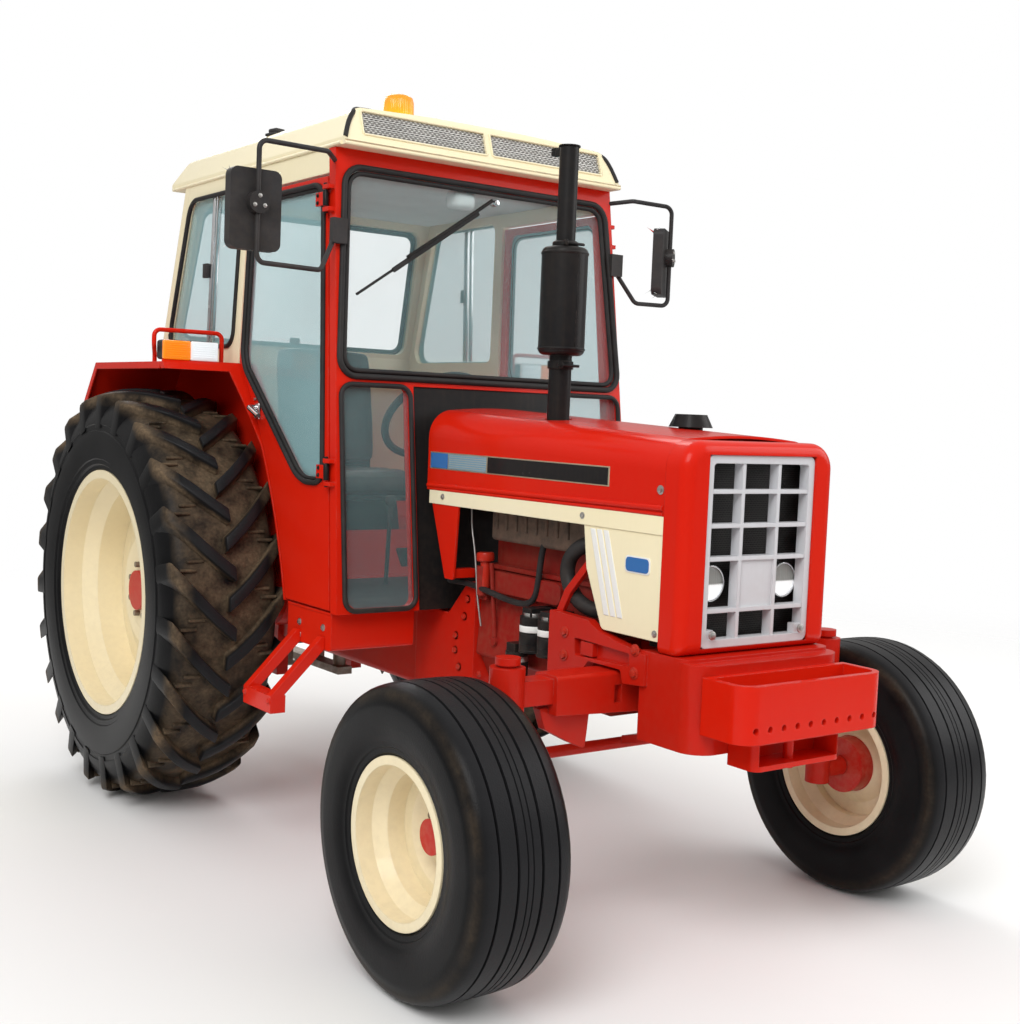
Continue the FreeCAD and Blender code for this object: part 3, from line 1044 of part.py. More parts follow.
def door_edge(offset):
    """Bowed lower rear edge of the door as (start, middle, end), moved toward the wheel by offset."""
    start = vec(0, DOOR_REAR_FOOT_Y, DOOR_FOOT_Z)
    end = vec(0, *DOOR_REAR_KNEE)
    chord = end - start
    half = chord.Length / 2
    across = vec(0, -chord.z, chord.y)
    across.normalize()
    middle = start + chord * 0.5
    from_axle = middle - vec(0, REAR_AXLE_Y, REAR_TYRE_RADIUS)
    lean = from_axle.dot(across)
    clear = REAR_TYRE_RADIUS + DOOR_TYRE_GAP
    bow = max(DOOR_EDGE_BOW, math.sqrt(lean * lean - from_axle.dot(from_axle) + clear * clear) - lean)
    radius = (half * half + bow * bow) / (2 * bow)
    centre = middle + across * (bow - radius)
    points = []
    for point in (start, middle + across * bow, end):
        spoke = point - centre
        spoke.normalize()
        points.append(centre + spoke * (radius - offset))
    return points


def door_blank(inset):
    """Door outline in side view, drawn in by inset, as a thick slab on the left side."""
    start, middle, end = door_edge(inset)
    low = DOOR_FOOT_Z + inset
    high = DOOR_HEAD_Z - inset
    front = POST_DEPTH + DOOR_GAP + inset
    front_low = vec(0, front_plane_y(low) + front, low)
    front_high = vec(0, front_plane_y(high) + front, high)
    rear_high = vec(0, DOOR_REAR_HEAD_Y - inset, high)
    start = vec(0, start.y, low)
    edges = [Part.makeLine(front_low, front_high), Part.makeLine(front_high, rear_high),
             Part.makeLine(rear_high, end), Part.Arc(end, middle, start).toShape(),
             Part.makeLine(start, front_low)]
    face = Part.Face(Part.Wire(edges))
    face.translate(vec(400, 0, 0))
    return face.extrude(vec(300, 0, 0))


def door_glass_outline():
    """Window outline in the door: slanted front, square top, and a foot cut off by the bowed edge."""
    high = DOOR_HEAD_Z - DOOR_SEAL_BORDER
    foot_front, foot_rear = DOOR_GLASS_FOOT_Y
    front_high = front_plane_y(high) + POST_DEPTH + DOOR_GAP + DOOR_SEAL_BORDER
    return [(foot_front + 35, DOOR_GLASS_FOOT_Z, 20), (front_high, high, 45), (DOOR_REAR_HEAD_Y - 28, high, 45),
            (DOOR_REAR_KNEE[0] - 34, DOOR_REAR_KNEE[1] - 4, 30), (foot_rear + 10, DOOR_GLASS_FOOT_Z, 40)]


def make_doors():
    """Pressed door with its window cut, hinges on the leaning front post, and an outside handle."""
    panel = door_blank(0).common(cab_width(0)).cut(cab_width(SIDE_WALL - 6))
    window = slab(door_glass_outline(), "x", 400, 700)
    glass = window.common(cab_width(10)).cut(cab_width(10 + GLASS))
    panel = panel.cut(window)
    fittings = []
    for z in HINGE_Z:
        hinge = hinge_point(z)
        barrel = rod(hinge_point(z - 28), hinge_point(z + 28), HINGE_RADIUS)
        plate = box((side_plane_x(z) + 5, hinge[0] + 4), (hinge[1], hinge[1] + 62), (z - 22, z + 22))
        leaf = plate.fuse(box((side_plane_x(z) - 8, hinge[0]), (hinge[1] + 20, hinge[1] + 62), (z - 22, z + 22)))
        pin_hole = rod(hinge_point(z - 60), hinge_point(z + 60), HINGE_PIN_RADIUS + RUNNING_GAP)
        fittings.append(fuse([barrel, leaf]).cut(pin_hole))
    x = side_plane_x(1477)
    base = box((x - 10, x + 12), (288, 320), (1440, 1495))
    grip = bent_rod([(x + 6, 311, 1480), (x + 40, 308, 1482), (x + 40, 226, 1452)], 8, 14)
    body = fuse([panel] + fittings + [base, grip])
    pins = [rod(hinge_point(z - 60), hinge_point(z + 60), HINGE_PIN_RADIUS + RUNNING_GAP) for z in HINGE_Z]
    body = cut(body, pins + [glass])
    save("door_left", [body])
    save("door_right", [mirrored(body)])
    save("door_glass_left", [glass])
    save("door_glass_right", [mirrored(glass)])


def hinge_point(z):
    """Point on the left door's hinge line at a height."""
    return (side_plane_x(z) + HINGE_OFFSET, front_plane_y(z) + POST_DEPTH + DOOR_GAP - 10, z)


def make_cab():
    """Front, side and rear walls of the cab with their windows cut, the firewall and the panes."""
    front_blank = slab([(CAB_FRONT_FOOT_Y, CAB_FLOOR_Z), (CAB_FRONT_EAVES_Y, CAB_EAVES_Z),
                        (CAB_FRONT_EAVES_Y + POST_DEPTH, CAB_EAVES_Z),
                        (CAB_FRONT_FOOT_Y + POST_DEPTH, CAB_FLOOR_Z)],
                       "x", -700, 700).common(cab_width(0))
    screen = slab(pane_outline(583, 542, 1600), "y", -600, 200)
    low_window = slab([(322, 842, 30), (586, 842, 60), (580, 1568, 22), (322, 1568, 22)], "y", -600, 200)
    centre = slab([(-306, CAB_FLOOR_Z - 10), (306, CAB_FLOOR_Z - 10), (306, 1572), (-306, 1572)], "y", -600, 200)
    hinge_stubs = []
    for z in HINGE_Z:
        pin = rod(hinge_point(z - 44), hinge_point(z + 44), HINGE_PIN_RADIUS)
        for low in (z - 44, z + 30):
            at = hinge_point(low + 7)
            knuckle = box((side_plane_x(low) - 6, at[0] + 8), (at[1] - 12, at[1] + 8), (low, low + 14))
            tail = box((side_plane_x(low) - 6, at[0] + 8), (front_plane_y(low) + 8, at[1]), (low, low + 14))
            hinge_stubs += [knuckle, tail]
        hinge_stubs.append(pin)
    frame = cut(front_blank, [screen, centre] + both([low_window]))
    frame = fuse([frame] + both(hinge_stubs))
    save("cab_front", [frame])
    wall = slab([(CAB_FRONT_FOOT_Y + 6, CAB_FLOOR_Z), (front_plane_y(1572) + 6, 1572),
                 (front_plane_y(1572) + 30, 1572), (CAB_FRONT_FOOT_Y + 30, CAB_FLOOR_Z)], "x", -305.5, 305.5)
    save("firewall", [wall])
    waist_y, waist_z = CAB_REAR_WAIST
    foot_y, foot_z = CAB_REAR_FOOT
    rear_blank = slab([(CAB_REAR_EAVES_Y, CAB_EAVES_Z), (waist_y, waist_z), (foot_y, foot_z),
                       (foot_y - POST_DEPTH, foot_z), (waist_y - POST_DEPTH, waist_z),
                       (CAB_REAR_EAVES_Y - POST_DEPTH, CAB_EAVES_Z)], "x", -700, 700).common(cab_width(0))
    below = both([box((INNER_WALL_X - SHEET, 700), (900, 1400), (DECK_Z - 12, FENDER_TOP_Z))])
    rear_window = slab(pane_outline(535, 505, waist_z + 20), "y", 900, 1400)
    save("cab_rear", [cut(rear_blank, below + [rear_window])])
    head_y = front_plane_y(CAB_EAVES_Z) + POST_DEPTH
    sides = wall_between(0, SIDE_WALL, [
        (front_plane_y(DOOR_HEAD_Z + DOOR_GAP) + POST_DEPTH, DOOR_HEAD_Z + DOOR_GAP), (head_y, CAB_EAVES_Z),
        (CAB_REAR_EAVES_Y - POST_DEPTH, CAB_EAVES_Z), (waist_y - POST_DEPTH, waist_z),
        (rear_inner_y(FENDER_TOP_Z), FENDER_TOP_Z), (DOOR_REAR_KNEE[0] + DOOR_GAP, FENDER_TOP_Z),
        (DOOR_REAR_KNEE[0] + DOOR_GAP, DOOR_REAR_KNEE[1]),
        (DOOR_REAR_HEAD_Y + DOOR_GAP, DOOR_HEAD_Z + DOOR_GAP)])
    sides = sides.cut(slab(quarter_outline(), "x", 400, 700))
    save("cab_sides", both([sides]))
    quarter = slab(quarter_outline(), "x", 400, 700).common(cab_width(10)).cut(cab_width(10 + GLASS))
    front_glass = [pane.common(leaning_sheet(14, GLASS)) for pane in [screen] + both([low_window])]
    back_glass = rear_window.common(slab([
        (CAB_REAR_EAVES_Y - 14, CAB_EAVES_Z), (waist_y - 14, waist_z), (waist_y - 14 - GLASS, waist_z),
        (CAB_REAR_EAVES_Y - 14 - GLASS, CAB_EAVES_Z)], "x", -700, 700))
    save("cab_glass", front_glass + both([quarter]) + [back_glass])


def pane_outline(foot_half, head_half, foot):
    """Front view of the windscreen or rear window."""
    return [(-foot_half, foot, PANE_CORNER), (foot_half, foot, PANE_CORNER),
            (head_half, PANE_HEAD_Z, PANE_CORNER), (-head_half, PANE_HEAD_Z, PANE_CORNER)]


def rear_inner_y(z):
    """Inner face of the rear wall below its waist."""
    waist_y, waist_z = CAB_REAR_WAIST
    foot_y, foot_z = CAB_REAR_FOOT
    return foot_y + (z - foot_z) / (waist_z - foot_z) * (waist_y - foot_y) - POST_DEPTH


def leaning_sheet(depth, thickness):
    """Sheet parallel to the cab's front, set back by depth."""
    return slab([(CAB_FRONT_FOOT_Y + depth, CAB_FLOOR_Z), (CAB_FRONT_EAVES_Y + depth, CAB_EAVES_Z),
                 (CAB_FRONT_EAVES_Y + depth + thickness, CAB_EAVES_Z),
                 (CAB_FRONT_FOOT_Y + depth + thickness, CAB_FLOOR_Z)], "x", -700, 700)


def quarter_outline():
    """Sliding side window behind the door."""
    low = FENDER_TOP_Z + 75
    return [(555, low, 30), (530, PANE_HEAD_Z, 40), (1005, PANE_HEAD_Z, 60), (1155, low + 55, 50), (1135, low, 40)]


def make_floor():
    """Floor plates, the boxes under the door sills, riser and rear deck."""
    front = CAB_FRONT_FOOT_Y + POST_DEPTH
    z = CAB_FLOOR_Z
    step_rear = DOOR_REAR_FOOT_Y - DOOR_GAP - 4
    across = (-INNER_WALL_X + SHEET, INNER_WALL_X - SHEET)
    plate = box(across, (front, DECK_FRONT_Y), (z - SHEET, z))
    sill = box((INNER_WALL_X - SHEET, CAB_FOOT_HALF_WIDTH - 4), (front, step_rear), (z - SHEET, z))
    locker = slab([(front, 705, 12), (step_rear, 705, 12), (step_rear, z - SHEET), (front, z - SHEET)],
                  "x", 300, CAB_FOOT_HALF_WIDTH - SILL_INSET)
    riser = box(across, (DECK_FRONT_Y - SHEET, DECK_FRONT_Y), (z, DECK_Z))
    deck = box(across, (DECK_FRONT_Y - SHEET, DECK_REAR_Y), (DECK_Z - SHEET, DECK_Z))
    lip = box(across, (DECK_REAR_Y - SHEET, DECK_REAR_Y), (DECK_Z, CAB_REAR_FOOT[1] + 40))
    feet = both([box((100, 140), (-100, -60), (GEARBOX_Z[1], z - SHEET)),
                 box((100, 140), (700, 740), (AXLE_HOUSING_Z[1], DECK_Z - SHEET))])
    save("cab_floor", [fuse([plate, riser, deck, lip] + both([sill, locker]) + feet)])


def fender_blank(offset, low, x_low, x_high):
    """Solid under the fender's outline, drawn in by offset."""
    start, middle, end = door_edge(DOOR_GAP + offset)
    top = FENDER_TOP_Z - offset
    knee_y, knee_z = FENDER_REAR_KNEE
    foot_y, foot_z = FENDER_REAR_FOOT
    slope = vec(0, foot_y - knee_y, foot_z - knee_z)
    slope.normalize()
    inward = vec(0, slope.z, -slope.y) * offset
    rear = vec(0, foot_y, foot_z) + inward
    run = (knee_z - offset - rear.z) / slope.z
    knee = vec(0, rear.y + run * slope.y, knee_z - offset)
    arch = Part.Arc(start, middle, end).toShape()
    cap = end.z
    corners = [(end.y, cap), (end.y, top), (knee.y, top), (rear.y, rear.z), (rear.y - 60, low), (start.y, low)]
    edges = [arch]
    points = [end] + [vec(0, y, z) for y, z in corners[1:]] + [start]
    if abs(end.z - top) < 0.01:
        points = points[1:]
    for a, b in zip(points, points[1:]):
        edges.append(Part.makeLine(a, b))
    face = Part.Face(Part.Wire(edges))
    face.translate(vec(x_low, 0, 0))
    return face.extrude(vec(x_high - x_low, 0, 0))


def make_fenders():
    """Sheet over each rear tyre, with its rolled outer lip and the wall between tyre and cab."""
    low = CAB_FLOOR_Z
    outer = fender_blank(0, low, INNER_WALL_X - SHEET, FENDER_OUTER_X)
    hollow = fender_blank(SHEET, low, INNER_WALL_X, FENDER_OUTER_X + 5)
    under = box((INNER_WALL_X, FENDER_OUTER_X + 5), (-200, 1900), (low - 5, FENDER_REAR_EDGE_Z))
    front_zone = box((INNER_WALL_X, FENDER_OUTER_X + 5), (-200, REAR_AXLE_Y), (low - 5, FENDER_TOP_Z + 70))
    sheet = outer.cut(hollow).cut(under.cut(front_zone))
    lip = fender_blank(0, low, FENDER_OUTER_X - 6, FENDER_OUTER_X)
    lip = lip.cut(fender_blank(FENDER_LIP, low, FENDER_OUTER_X - 10, FENDER_OUTER_X + 5))
    lip = lip.cut(box((FENDER_OUTER_X - 10, FENDER_OUTER_X + 5), (REAR_AXLE_Y, 1900),
                      (low - 5, FENDER_REAR_EDGE_Z)))
    trumpet = rod((400, REAR_AXLE_Y, REAR_TYRE_RADIUS), (700, REAR_AXLE_Y, REAR_TYRE_RADIUS), TRUMPET_RADIUS + 12)
    rear_lower = box((400, 700), (DECK_REAR_Y, 1900), (low - 5, CAB_REAR_FOOT[1]))
    foot_x = side_plane_x(low)
    bare_front = slab([(foot_x, low - 50), (side_plane_x(FENDER_FLARE_Z), FENDER_FLARE_Z),
                       (FENDER_FLARE_X, FENDER_TOP_Z - FENDER_LIP),
                       (FENDER_OUTER_X + 10, FENDER_TOP_Z - FENDER_LIP),
                       (FENDER_OUTER_X + 10, low - 50)], "y", -300, DOOR_REAR_KNEE[0] + 40)
    tyre_space = rod((INNER_WALL_X + 1, REAR_AXLE_Y, REAR_TYRE_RADIUS), (1100, REAR_AXLE_Y, REAR_TYRE_RADIUS),
                     REAR_TYRE_RADIUS + 14)
    fender = cut(fuse([sheet, lip]), [trumpet, rear_lower, bare_front, tyre_space])
    save("fenders", both([fender]))


def make_roof():
    """Moulded roof: its side-view outline crossed with its front-view outline, with the visor's two vents."""
    front, rear = ROOF_Y
    side = slab([(front, CAB_EAVES_Z, 6), (front + 6, VISOR_FOOT_Z, 6), (front + 16, VISOR_FOOT_Z + 6, 4),
                 (ROOF_TOP_Y[0], ROOF_TOP_FRONT_Z, 30), (ROOF_TOP_Y[1], ROOF_TOP_REAR_Z, 60),
                 (rear, CAB_EAVES_Z + 30, 20), (rear, CAB_EAVES_Z, 6)], "x", -700, 700)
    half = CAB_EAVES_HALF_WIDTH
    across = slab([(-half, CAB_EAVES_Z), (half, CAB_EAVES_Z), (half, CAB_EAVES_Z + 25, 10),
                   (ROOF_TOP_HALF_WIDTH, ROOF_TOP_FRONT_Z - 20, 50), (0, ROOF_TOP_FRONT_Z + 6, 3000),
                   (-ROOF_TOP_HALF_WIDTH, ROOF_TOP_FRONT_Z - 20, 50), (-half, CAB_EAVES_Z + 25, 10)],
                  "y", -400, 1400)
    roof = side.common(across)
    vents = []
    for x_low, x_high in ((-VENT_X[1], -VENT_X[0]), VENT_X):
        roof = roof.cut(visor_sheet(x_low, x_high, VENT_RUN, -20, VENT_DEPTH))
        back = visor_sheet(x_low + RUNNING_GAP, x_high - RUNNING_GAP, VENT_RUN, VENT_DEPTH - 3, VENT_DEPTH)
        slats = []
        for i in range(VENT_SLATS):
            middle = VENT_RUN[0] + (VENT_RUN[1] - VENT_RUN[0]) * (i + 0.5) / VENT_SLATS
            slats.append(visor_sheet(x_low + RUNNING_GAP, x_high - RUNNING_GAP,
                                     (middle - 1.5, middle + 1.5), VENT_DEPTH - 8, VENT_DEPTH - 2))
        vents.append(fuse([back] + slats))
    save("roof", [roof])
    save("roof_vents", vents)
    base_z = roof_height_at(BEACON_Y)
    dome_z = base_z + BEACON_FOOT_HEIGHT
    top_z = base_z + BEACON_HEIGHT
    foot = rod((BEACON_X, BEACON_Y, base_z - 12), (BEACON_X, BEACON_Y, dome_z), BEACON_RADIUS + 4)
    dome = rod((BEACON_X, BEACON_Y, dome_z), (BEACON_X, BEACON_Y, top_z), BEACON_RADIUS)
    top = [edge for edge in dome.Edges if abs(edge.CenterOfMass.z - top_z) < 0.01]
    dome = dome.makeFillet(18, top)
    save("beacon", [fuse([foot, dome]).cut(roof)])


def visor_sheet(x_low, x_high, run, out, depth):
    """Block on the visor's slanted face, from run[0] to run[1] up the slope and from out to depth into it."""
    foot = vec(0, ROOF_Y[0] + 16, VISOR_FOOT_Z + 6)
    up = vec(0, ROOF_TOP_Y[0], ROOF_TOP_FRONT_Z) - foot
    up.normalize()
    into = vec(0, up.z, -up.y)
    corners = [foot + up * run[0] + into * out, foot + up * run[1] + into * out,
               foot + up * run[1] + into * depth, foot + up * run[0] + into * depth]
    face = Part.Face(Part.makePolygon(corners + [corners[0]]))
    face.translate(vec(x_low, 0, 0))
    return face.extrude(vec(x_high - x_low, 0, 0))


def roof_height_at(y):
    share = (y - ROOF_TOP_Y[0]) / (ROOF_TOP_Y[1] - ROOF_TOP_Y[0])
    return ROOF_TOP_FRONT_Z + share * (ROOF_TOP_REAR_Z - ROOF_TOP_FRONT_Z)


def make_lamps():
    """Front lamp on each fender inside its tube guard, and a tail lamp at the rear."""
    z = FENDER_TOP_Z
    lamp = box((680, 886), (500, 552), (z + 8, z + 78))
    upright = [edge for edge in lamp.Edges if abs(edge.tangentAt(edge.FirstParameter).y) > 0.9]
    lamp = lamp.makeFillet(12, upright)
    foot = box((740, 820), (510, 545), (z, z + 8))
    slope = [vec(0, *FENDER_REAR_KNEE), vec(0, *FENDER_REAR_FOOT)]
    along = slope[1] - slope[0]
    along.normalize()
    out = vec(0, -along.z, along.y)
    corner = slope[0] + along * 190
    tail = Part.Face(Part.makePolygon([corner, corner + along * 80, corner + along * 80 + out * 48,
                                       corner + out * 48, corner]))
    tail.translate(vec(700, 0, 0))
    tail = tail.extrude(vec(150, 0, 0))
    save("lamps", both([fuse([lamp, foot]), tail]))
    foot_z = z + RUNNING_GAP
    outer = FENDER_OUTER_X + 20
    guard = bent_rod([(655, 520, foot_z), (655, 520, z + 112), (outer, 520, z + 112), (outer, 520, z + 60),
                      (874, 604, z + 26), (874, 604, foot_z)], 8, 24)
    save("lamp_guards", both([guard]))


# Mirrors; columns: side, tube X, tube Y, turn of the head about its tube
MIRRORS = ((-1, 900.0, -275.0, 0.0), (1, 800.0, -262.0, 38.0))


def make_mirrors():
    """Mirror heads on bent tube arms from the front posts."""
    made = []
    for side, tube_x, tube_y, turn in MIRRORS:
        top = (side_plane_x(MIRROR_TOP_Z), front_plane_y(MIRROR_TOP_Z), MIRROR_TOP_Z)
        upper = bent_rod([(top[0] - 8, top[1] + 14, top[2]), (top[0] + 60, top[1] - 60, top[2] + 12),
                          (tube_x, tube_y, top[2] + 4), (tube_x, tube_y, MIRROR_Z)], MIRROR_TUBE, 30)
        pad_z = MIRROR_PAD_Z[0] + 15
        pad_x = side_plane_x(pad_z)
        pad_y = front_plane_y(pad_z)
        low = MIRROR_Z - 180
        lower = bent_rod([(tube_x, tube_y, MIRROR_Z), (tube_x, tube_y, low), (660, front_plane_y(low) - 30, low),
                          (pad_x + 8, pad_y - 2, pad_z)], MIRROR_TUBE, 28)
        head = slab([(tube_x - 85, MIRROR_Z - 143, 25), (tube_x + 85, MIRROR_Z - 143, 25),
                     (tube_x + 85, MIRROR_Z + 103, 25), (tube_x - 85, MIRROR_Z + 103, 25)],
                    "y", tube_y + 13, tube_y + 51)
        boss = rod((tube_x, tube_y - 15, MIRROR_Z), (tube_x, tube_y + 25, MIRROR_Z), 34)
        for piece in (head, boss):
            piece.rotate(vec(tube_x, tube_y, MIRROR_Z), vec(0, 0, 1), turn)
        pad = box((pad_x - 30, pad_x + 22), (pad_y - 24, pad_y + 2), MIRROR_PAD_Z)
        cab = slab([(CAB_FRONT_FOOT_Y, CAB_FLOOR_Z), (CAB_FRONT_EAVES_Y, CAB_EAVES_Z), (900, CAB_EAVES_Z),
                    (900, CAB_FLOOR_Z)], "x", -700, 700).common(cab_width(0))
        mirror = fuse([upper, lower, boss, pad, head]).cut(cab)
        made.append(mirror if side > 0 else mirrored(mirror))
    save("mirrors", made)


def make_steps():
    """Step below each door: two flat bars bolted to the sill box slope out to a deep tread bar."""
    sill_x = CAB_FOOT_HALF_WIDTH - SILL_INSET + RUNNING_GAP
    tread_x, tread_z = STEP_TREAD_X, STEP_TREAD_Z
    bars = []
    for y in STEP_BAR_Y:
        bars.append(slab([(sill_x, 708), (sill_x, 748), (sill_x + 12, 748), (tread_x[1], tread_z[1]),
                          (tread_x[1], tread_z[1] - 34), (tread_x[1] - 12, tread_z[1] - 34)],
                         "y", y - STEP_BAR_WIDTH / 2, y + STEP_BAR_WIDTH / 2))
    tread = box(tread_x, (STEP_BAR_Y[0] - STEP_BAR_WIDTH / 2, STEP_BAR_Y[1] + STEP_BAR_WIDTH / 2), tread_z)
    save("steps", both([fuse([tread] + bars)]))


def make_interior():
    """Seat on its base, front console with the steering column and wheel, and two floor levers."""
    seat_z = DECK_Z + 238
    foot_z = seat_z - 110
    head_z = seat_z + 500
    cushion = slab([(430, foot_z, 40), (880, foot_z, 40), (880, seat_z, 30), (430, seat_z + 20, 45)],
                   "x", -235, 235)
    back = slab([(842, seat_z - 20, 10), (930, seat_z - 20, 30), (1010, head_z, 36), (925, head_z, 36)],
                "x", -220, 220)
    save("seat", [fuse([cushion, back])])
    base_top = foot_z - RUNNING_GAP
    base = slab([(560, DECK_Z), (850, DECK_Z), (820, base_top), (590, base_top)], "x", -150, 150)
    save("seat_base", [base])
    console = slab([(CAB_FRONT_FOOT_Y + POST_DEPTH + 4, CAB_FLOOR_Z), (-90, CAB_FLOOR_Z, 30), (-60, 1290, 40),
                    (-240, 1400, 30), (front_plane_y(1400) + POST_DEPTH + 4, 1400)], "x", -190, 190)
    column = rod((0, -120, 1290), (0, 60, 1455), 28)
    save("steering_column", [fuse([console, column])])
    axis = vec(0, 180, 165)
    axis.normalize()
    centre = vec(0, 60, 1455) + axis * 30
    ring = Part.makeTorus(200, 14, centre, axis)
    hub = Part.makeCylinder(38, 44, centre - axis * (30 - RUNNING_GAP), axis)
    spokes = []
    for turn in (0, 120, 240):
        spoke = Part.makeCylinder(9, 192, centre, vec(1, 0, 0))
        spoke.rotate(centre, axis, turn + 90)
        spokes.append(spoke)
    save("steering_wheel", [fuse([hub, ring] + spokes)])
    foot = CAB_FLOOR_Z + 1.5
    levers = [rod((x, y, z), (x2, y2, z2), 8) for x, y, z, x2, y2, z2 in
              ((90, 250, foot, 110, 210, 1190), (-90, 250, foot, -110, 200, 1150))]
    knobs = [Part.makeSphere(22, vec(110, 210, 1195)), Part.makeSphere(22, vec(-110, 200, 1155))]
    save("levers", [fuse([levers[0], knobs[0]]), fuse([levers[1], knobs[1]])])


make_wheels()
make_front_axle()
make_knuckles()
make_track_rod()
make_engine()
make_engine_fittings()
make_transmission()
make_rear_axle()
make_linkage()
make_drawbar()
make_front_frame()
make_weight_tray()
make_hood()
make_nose()
make_grille()
make_side_trims()
make_exhaust()
make_doors()
make_cab()
make_floor()
make_fenders()
make_roof()
make_lamps()
make_mirrors()
make_steps()
make_interior()
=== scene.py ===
import bmesh
import bpy
import math
from mathutils import Matrix, Vector


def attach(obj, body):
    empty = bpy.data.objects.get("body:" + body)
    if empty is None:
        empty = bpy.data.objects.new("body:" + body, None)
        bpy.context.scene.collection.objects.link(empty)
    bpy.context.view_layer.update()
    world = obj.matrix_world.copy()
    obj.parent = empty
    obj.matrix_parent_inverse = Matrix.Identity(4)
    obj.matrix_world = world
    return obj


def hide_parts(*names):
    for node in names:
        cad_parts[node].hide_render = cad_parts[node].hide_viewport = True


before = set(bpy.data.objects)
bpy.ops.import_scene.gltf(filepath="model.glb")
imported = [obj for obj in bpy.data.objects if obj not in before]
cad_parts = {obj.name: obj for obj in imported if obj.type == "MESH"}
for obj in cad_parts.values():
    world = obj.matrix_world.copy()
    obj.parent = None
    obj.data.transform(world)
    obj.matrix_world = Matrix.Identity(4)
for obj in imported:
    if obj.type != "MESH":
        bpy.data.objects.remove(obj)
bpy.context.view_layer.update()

# Studio. A pale floor, an even pale surround and three large soft lamps.
# The camera stands at the photograph's place, in front of the tractor's right side.
scene = bpy.context.scene
scene.view_settings.view_transform = "Standard"

CAMERA_PLACE = Vector((-2.7189, -4.1463, 1.4945))
CAMERA_YAW = 0.6283
CAMERA_PITCH = -0.0718
CAMERA_ROLL = 0.0406
CAMERA_LENS = 47.94


def aim_camera():
    forward = Vector((math.sin(CAMERA_YAW) * math.cos(CAMERA_PITCH),
                      math.cos(CAMERA_YAW) * math.cos(CAMERA_PITCH), math.sin(CAMERA_PITCH)))
    level = Vector((math.cos(CAMERA_YAW), -math.sin(CAMERA_YAW), 0))
    upright = level.cross(forward)
    right = level * math.cos(CAMERA_ROLL) + upright * math.sin(CAMERA_ROLL)
    up = upright * math.cos(CAMERA_ROLL) - level * math.sin(CAMERA_ROLL)
    data = bpy.data.cameras.new("camera")
    data.lens = CAMERA_LENS
    camera = bpy.data.objects.new("camera", data)
    scene.collection.objects.link(camera)
    turn = Matrix((right, up, -forward)).transposed()
    camera.matrix_world = Matrix.Translation(CAMERA_PLACE) @ turn.to_4x4()
    scene.camera = camera


aim_camera()


def soft_lamp(name, place, size, power):
    data = bpy.data.lights.new(name, "AREA")
    data.shape = "DISK"
    data.size = size
    data.energy = power
    lamp = bpy.data.objects.new(name, data)
    scene.collection.objects.link(lamp)
    lamp.location = place
    lamp.rotation_euler = (Vector((0, 0, 1.0)) - Vector(place)).to_track_quat("-Z", "Y").to_euler()


soft_lamp("key_lamp", (-5.5, -5.0, 6.5), 5.0, 420)
soft_lamp("fill_lamp", (5.5, -4.0, 4.0), 5.0, 160)
soft_lamp("back_lamp", (2.0, 6.5, 6.0), 5.0, 240)


def make_surround():
    world = bpy.data.worlds.new("surround")
    world.use_nodes = True
    scene.world = world
    nodes = world.node_tree.nodes
    links = world.node_tree.links
    nodes.clear()
    path = nodes.new("ShaderNodeLightPath")
    seen = nodes.new("ShaderNodeMath")
    seen.operation = "MAXIMUM"
    links.new(path.outputs["Is Camera Ray"], seen.inputs[0])
    links.new(path.outputs["Is Transmission Ray"], seen.inputs[1])
    place = nodes.new("ShaderNodeTexCoord")
    split = nodes.new("ShaderNodeSeparateXYZ")
    links.new(place.outputs["Generated"], split.inputs[0])
    sky = nodes.new("ShaderNodeMapRange")
    sky.inputs["From Min"].default_value = -0.2
    sky.inputs["From Max"].default_value = 0.7
    sky.inputs["To Min"].default_value = 0.16
    sky.inputs["To Max"].default_value = 0.85
    links.new(split.outputs["Z"], sky.inputs["Value"])
    light = nodes.new("ShaderNodeBackground")
    light.inputs["Color"].default_value = (1.0, 0.985, 0.96, 1)
    links.new(sky.outputs[0], light.inputs["Strength"])
    back = nodes.new("ShaderNodeBackground")
    back.inputs["Color"].default_value = (1, 1, 1, 1)
    back.inputs["Strength"].default_value = 1.0
    mix = nodes.new("ShaderNodeMixShader")
    out = nodes.new("ShaderNodeOutputWorld")
    links.new(seen.outputs[0], mix.inputs["Fac"])
    links.new(light.outputs[0], mix.inputs[1])
    links.new(back.outputs[0], mix.inputs[2])
    links.new(mix.outputs[0], out.inputs["Surface"])


make_surround()


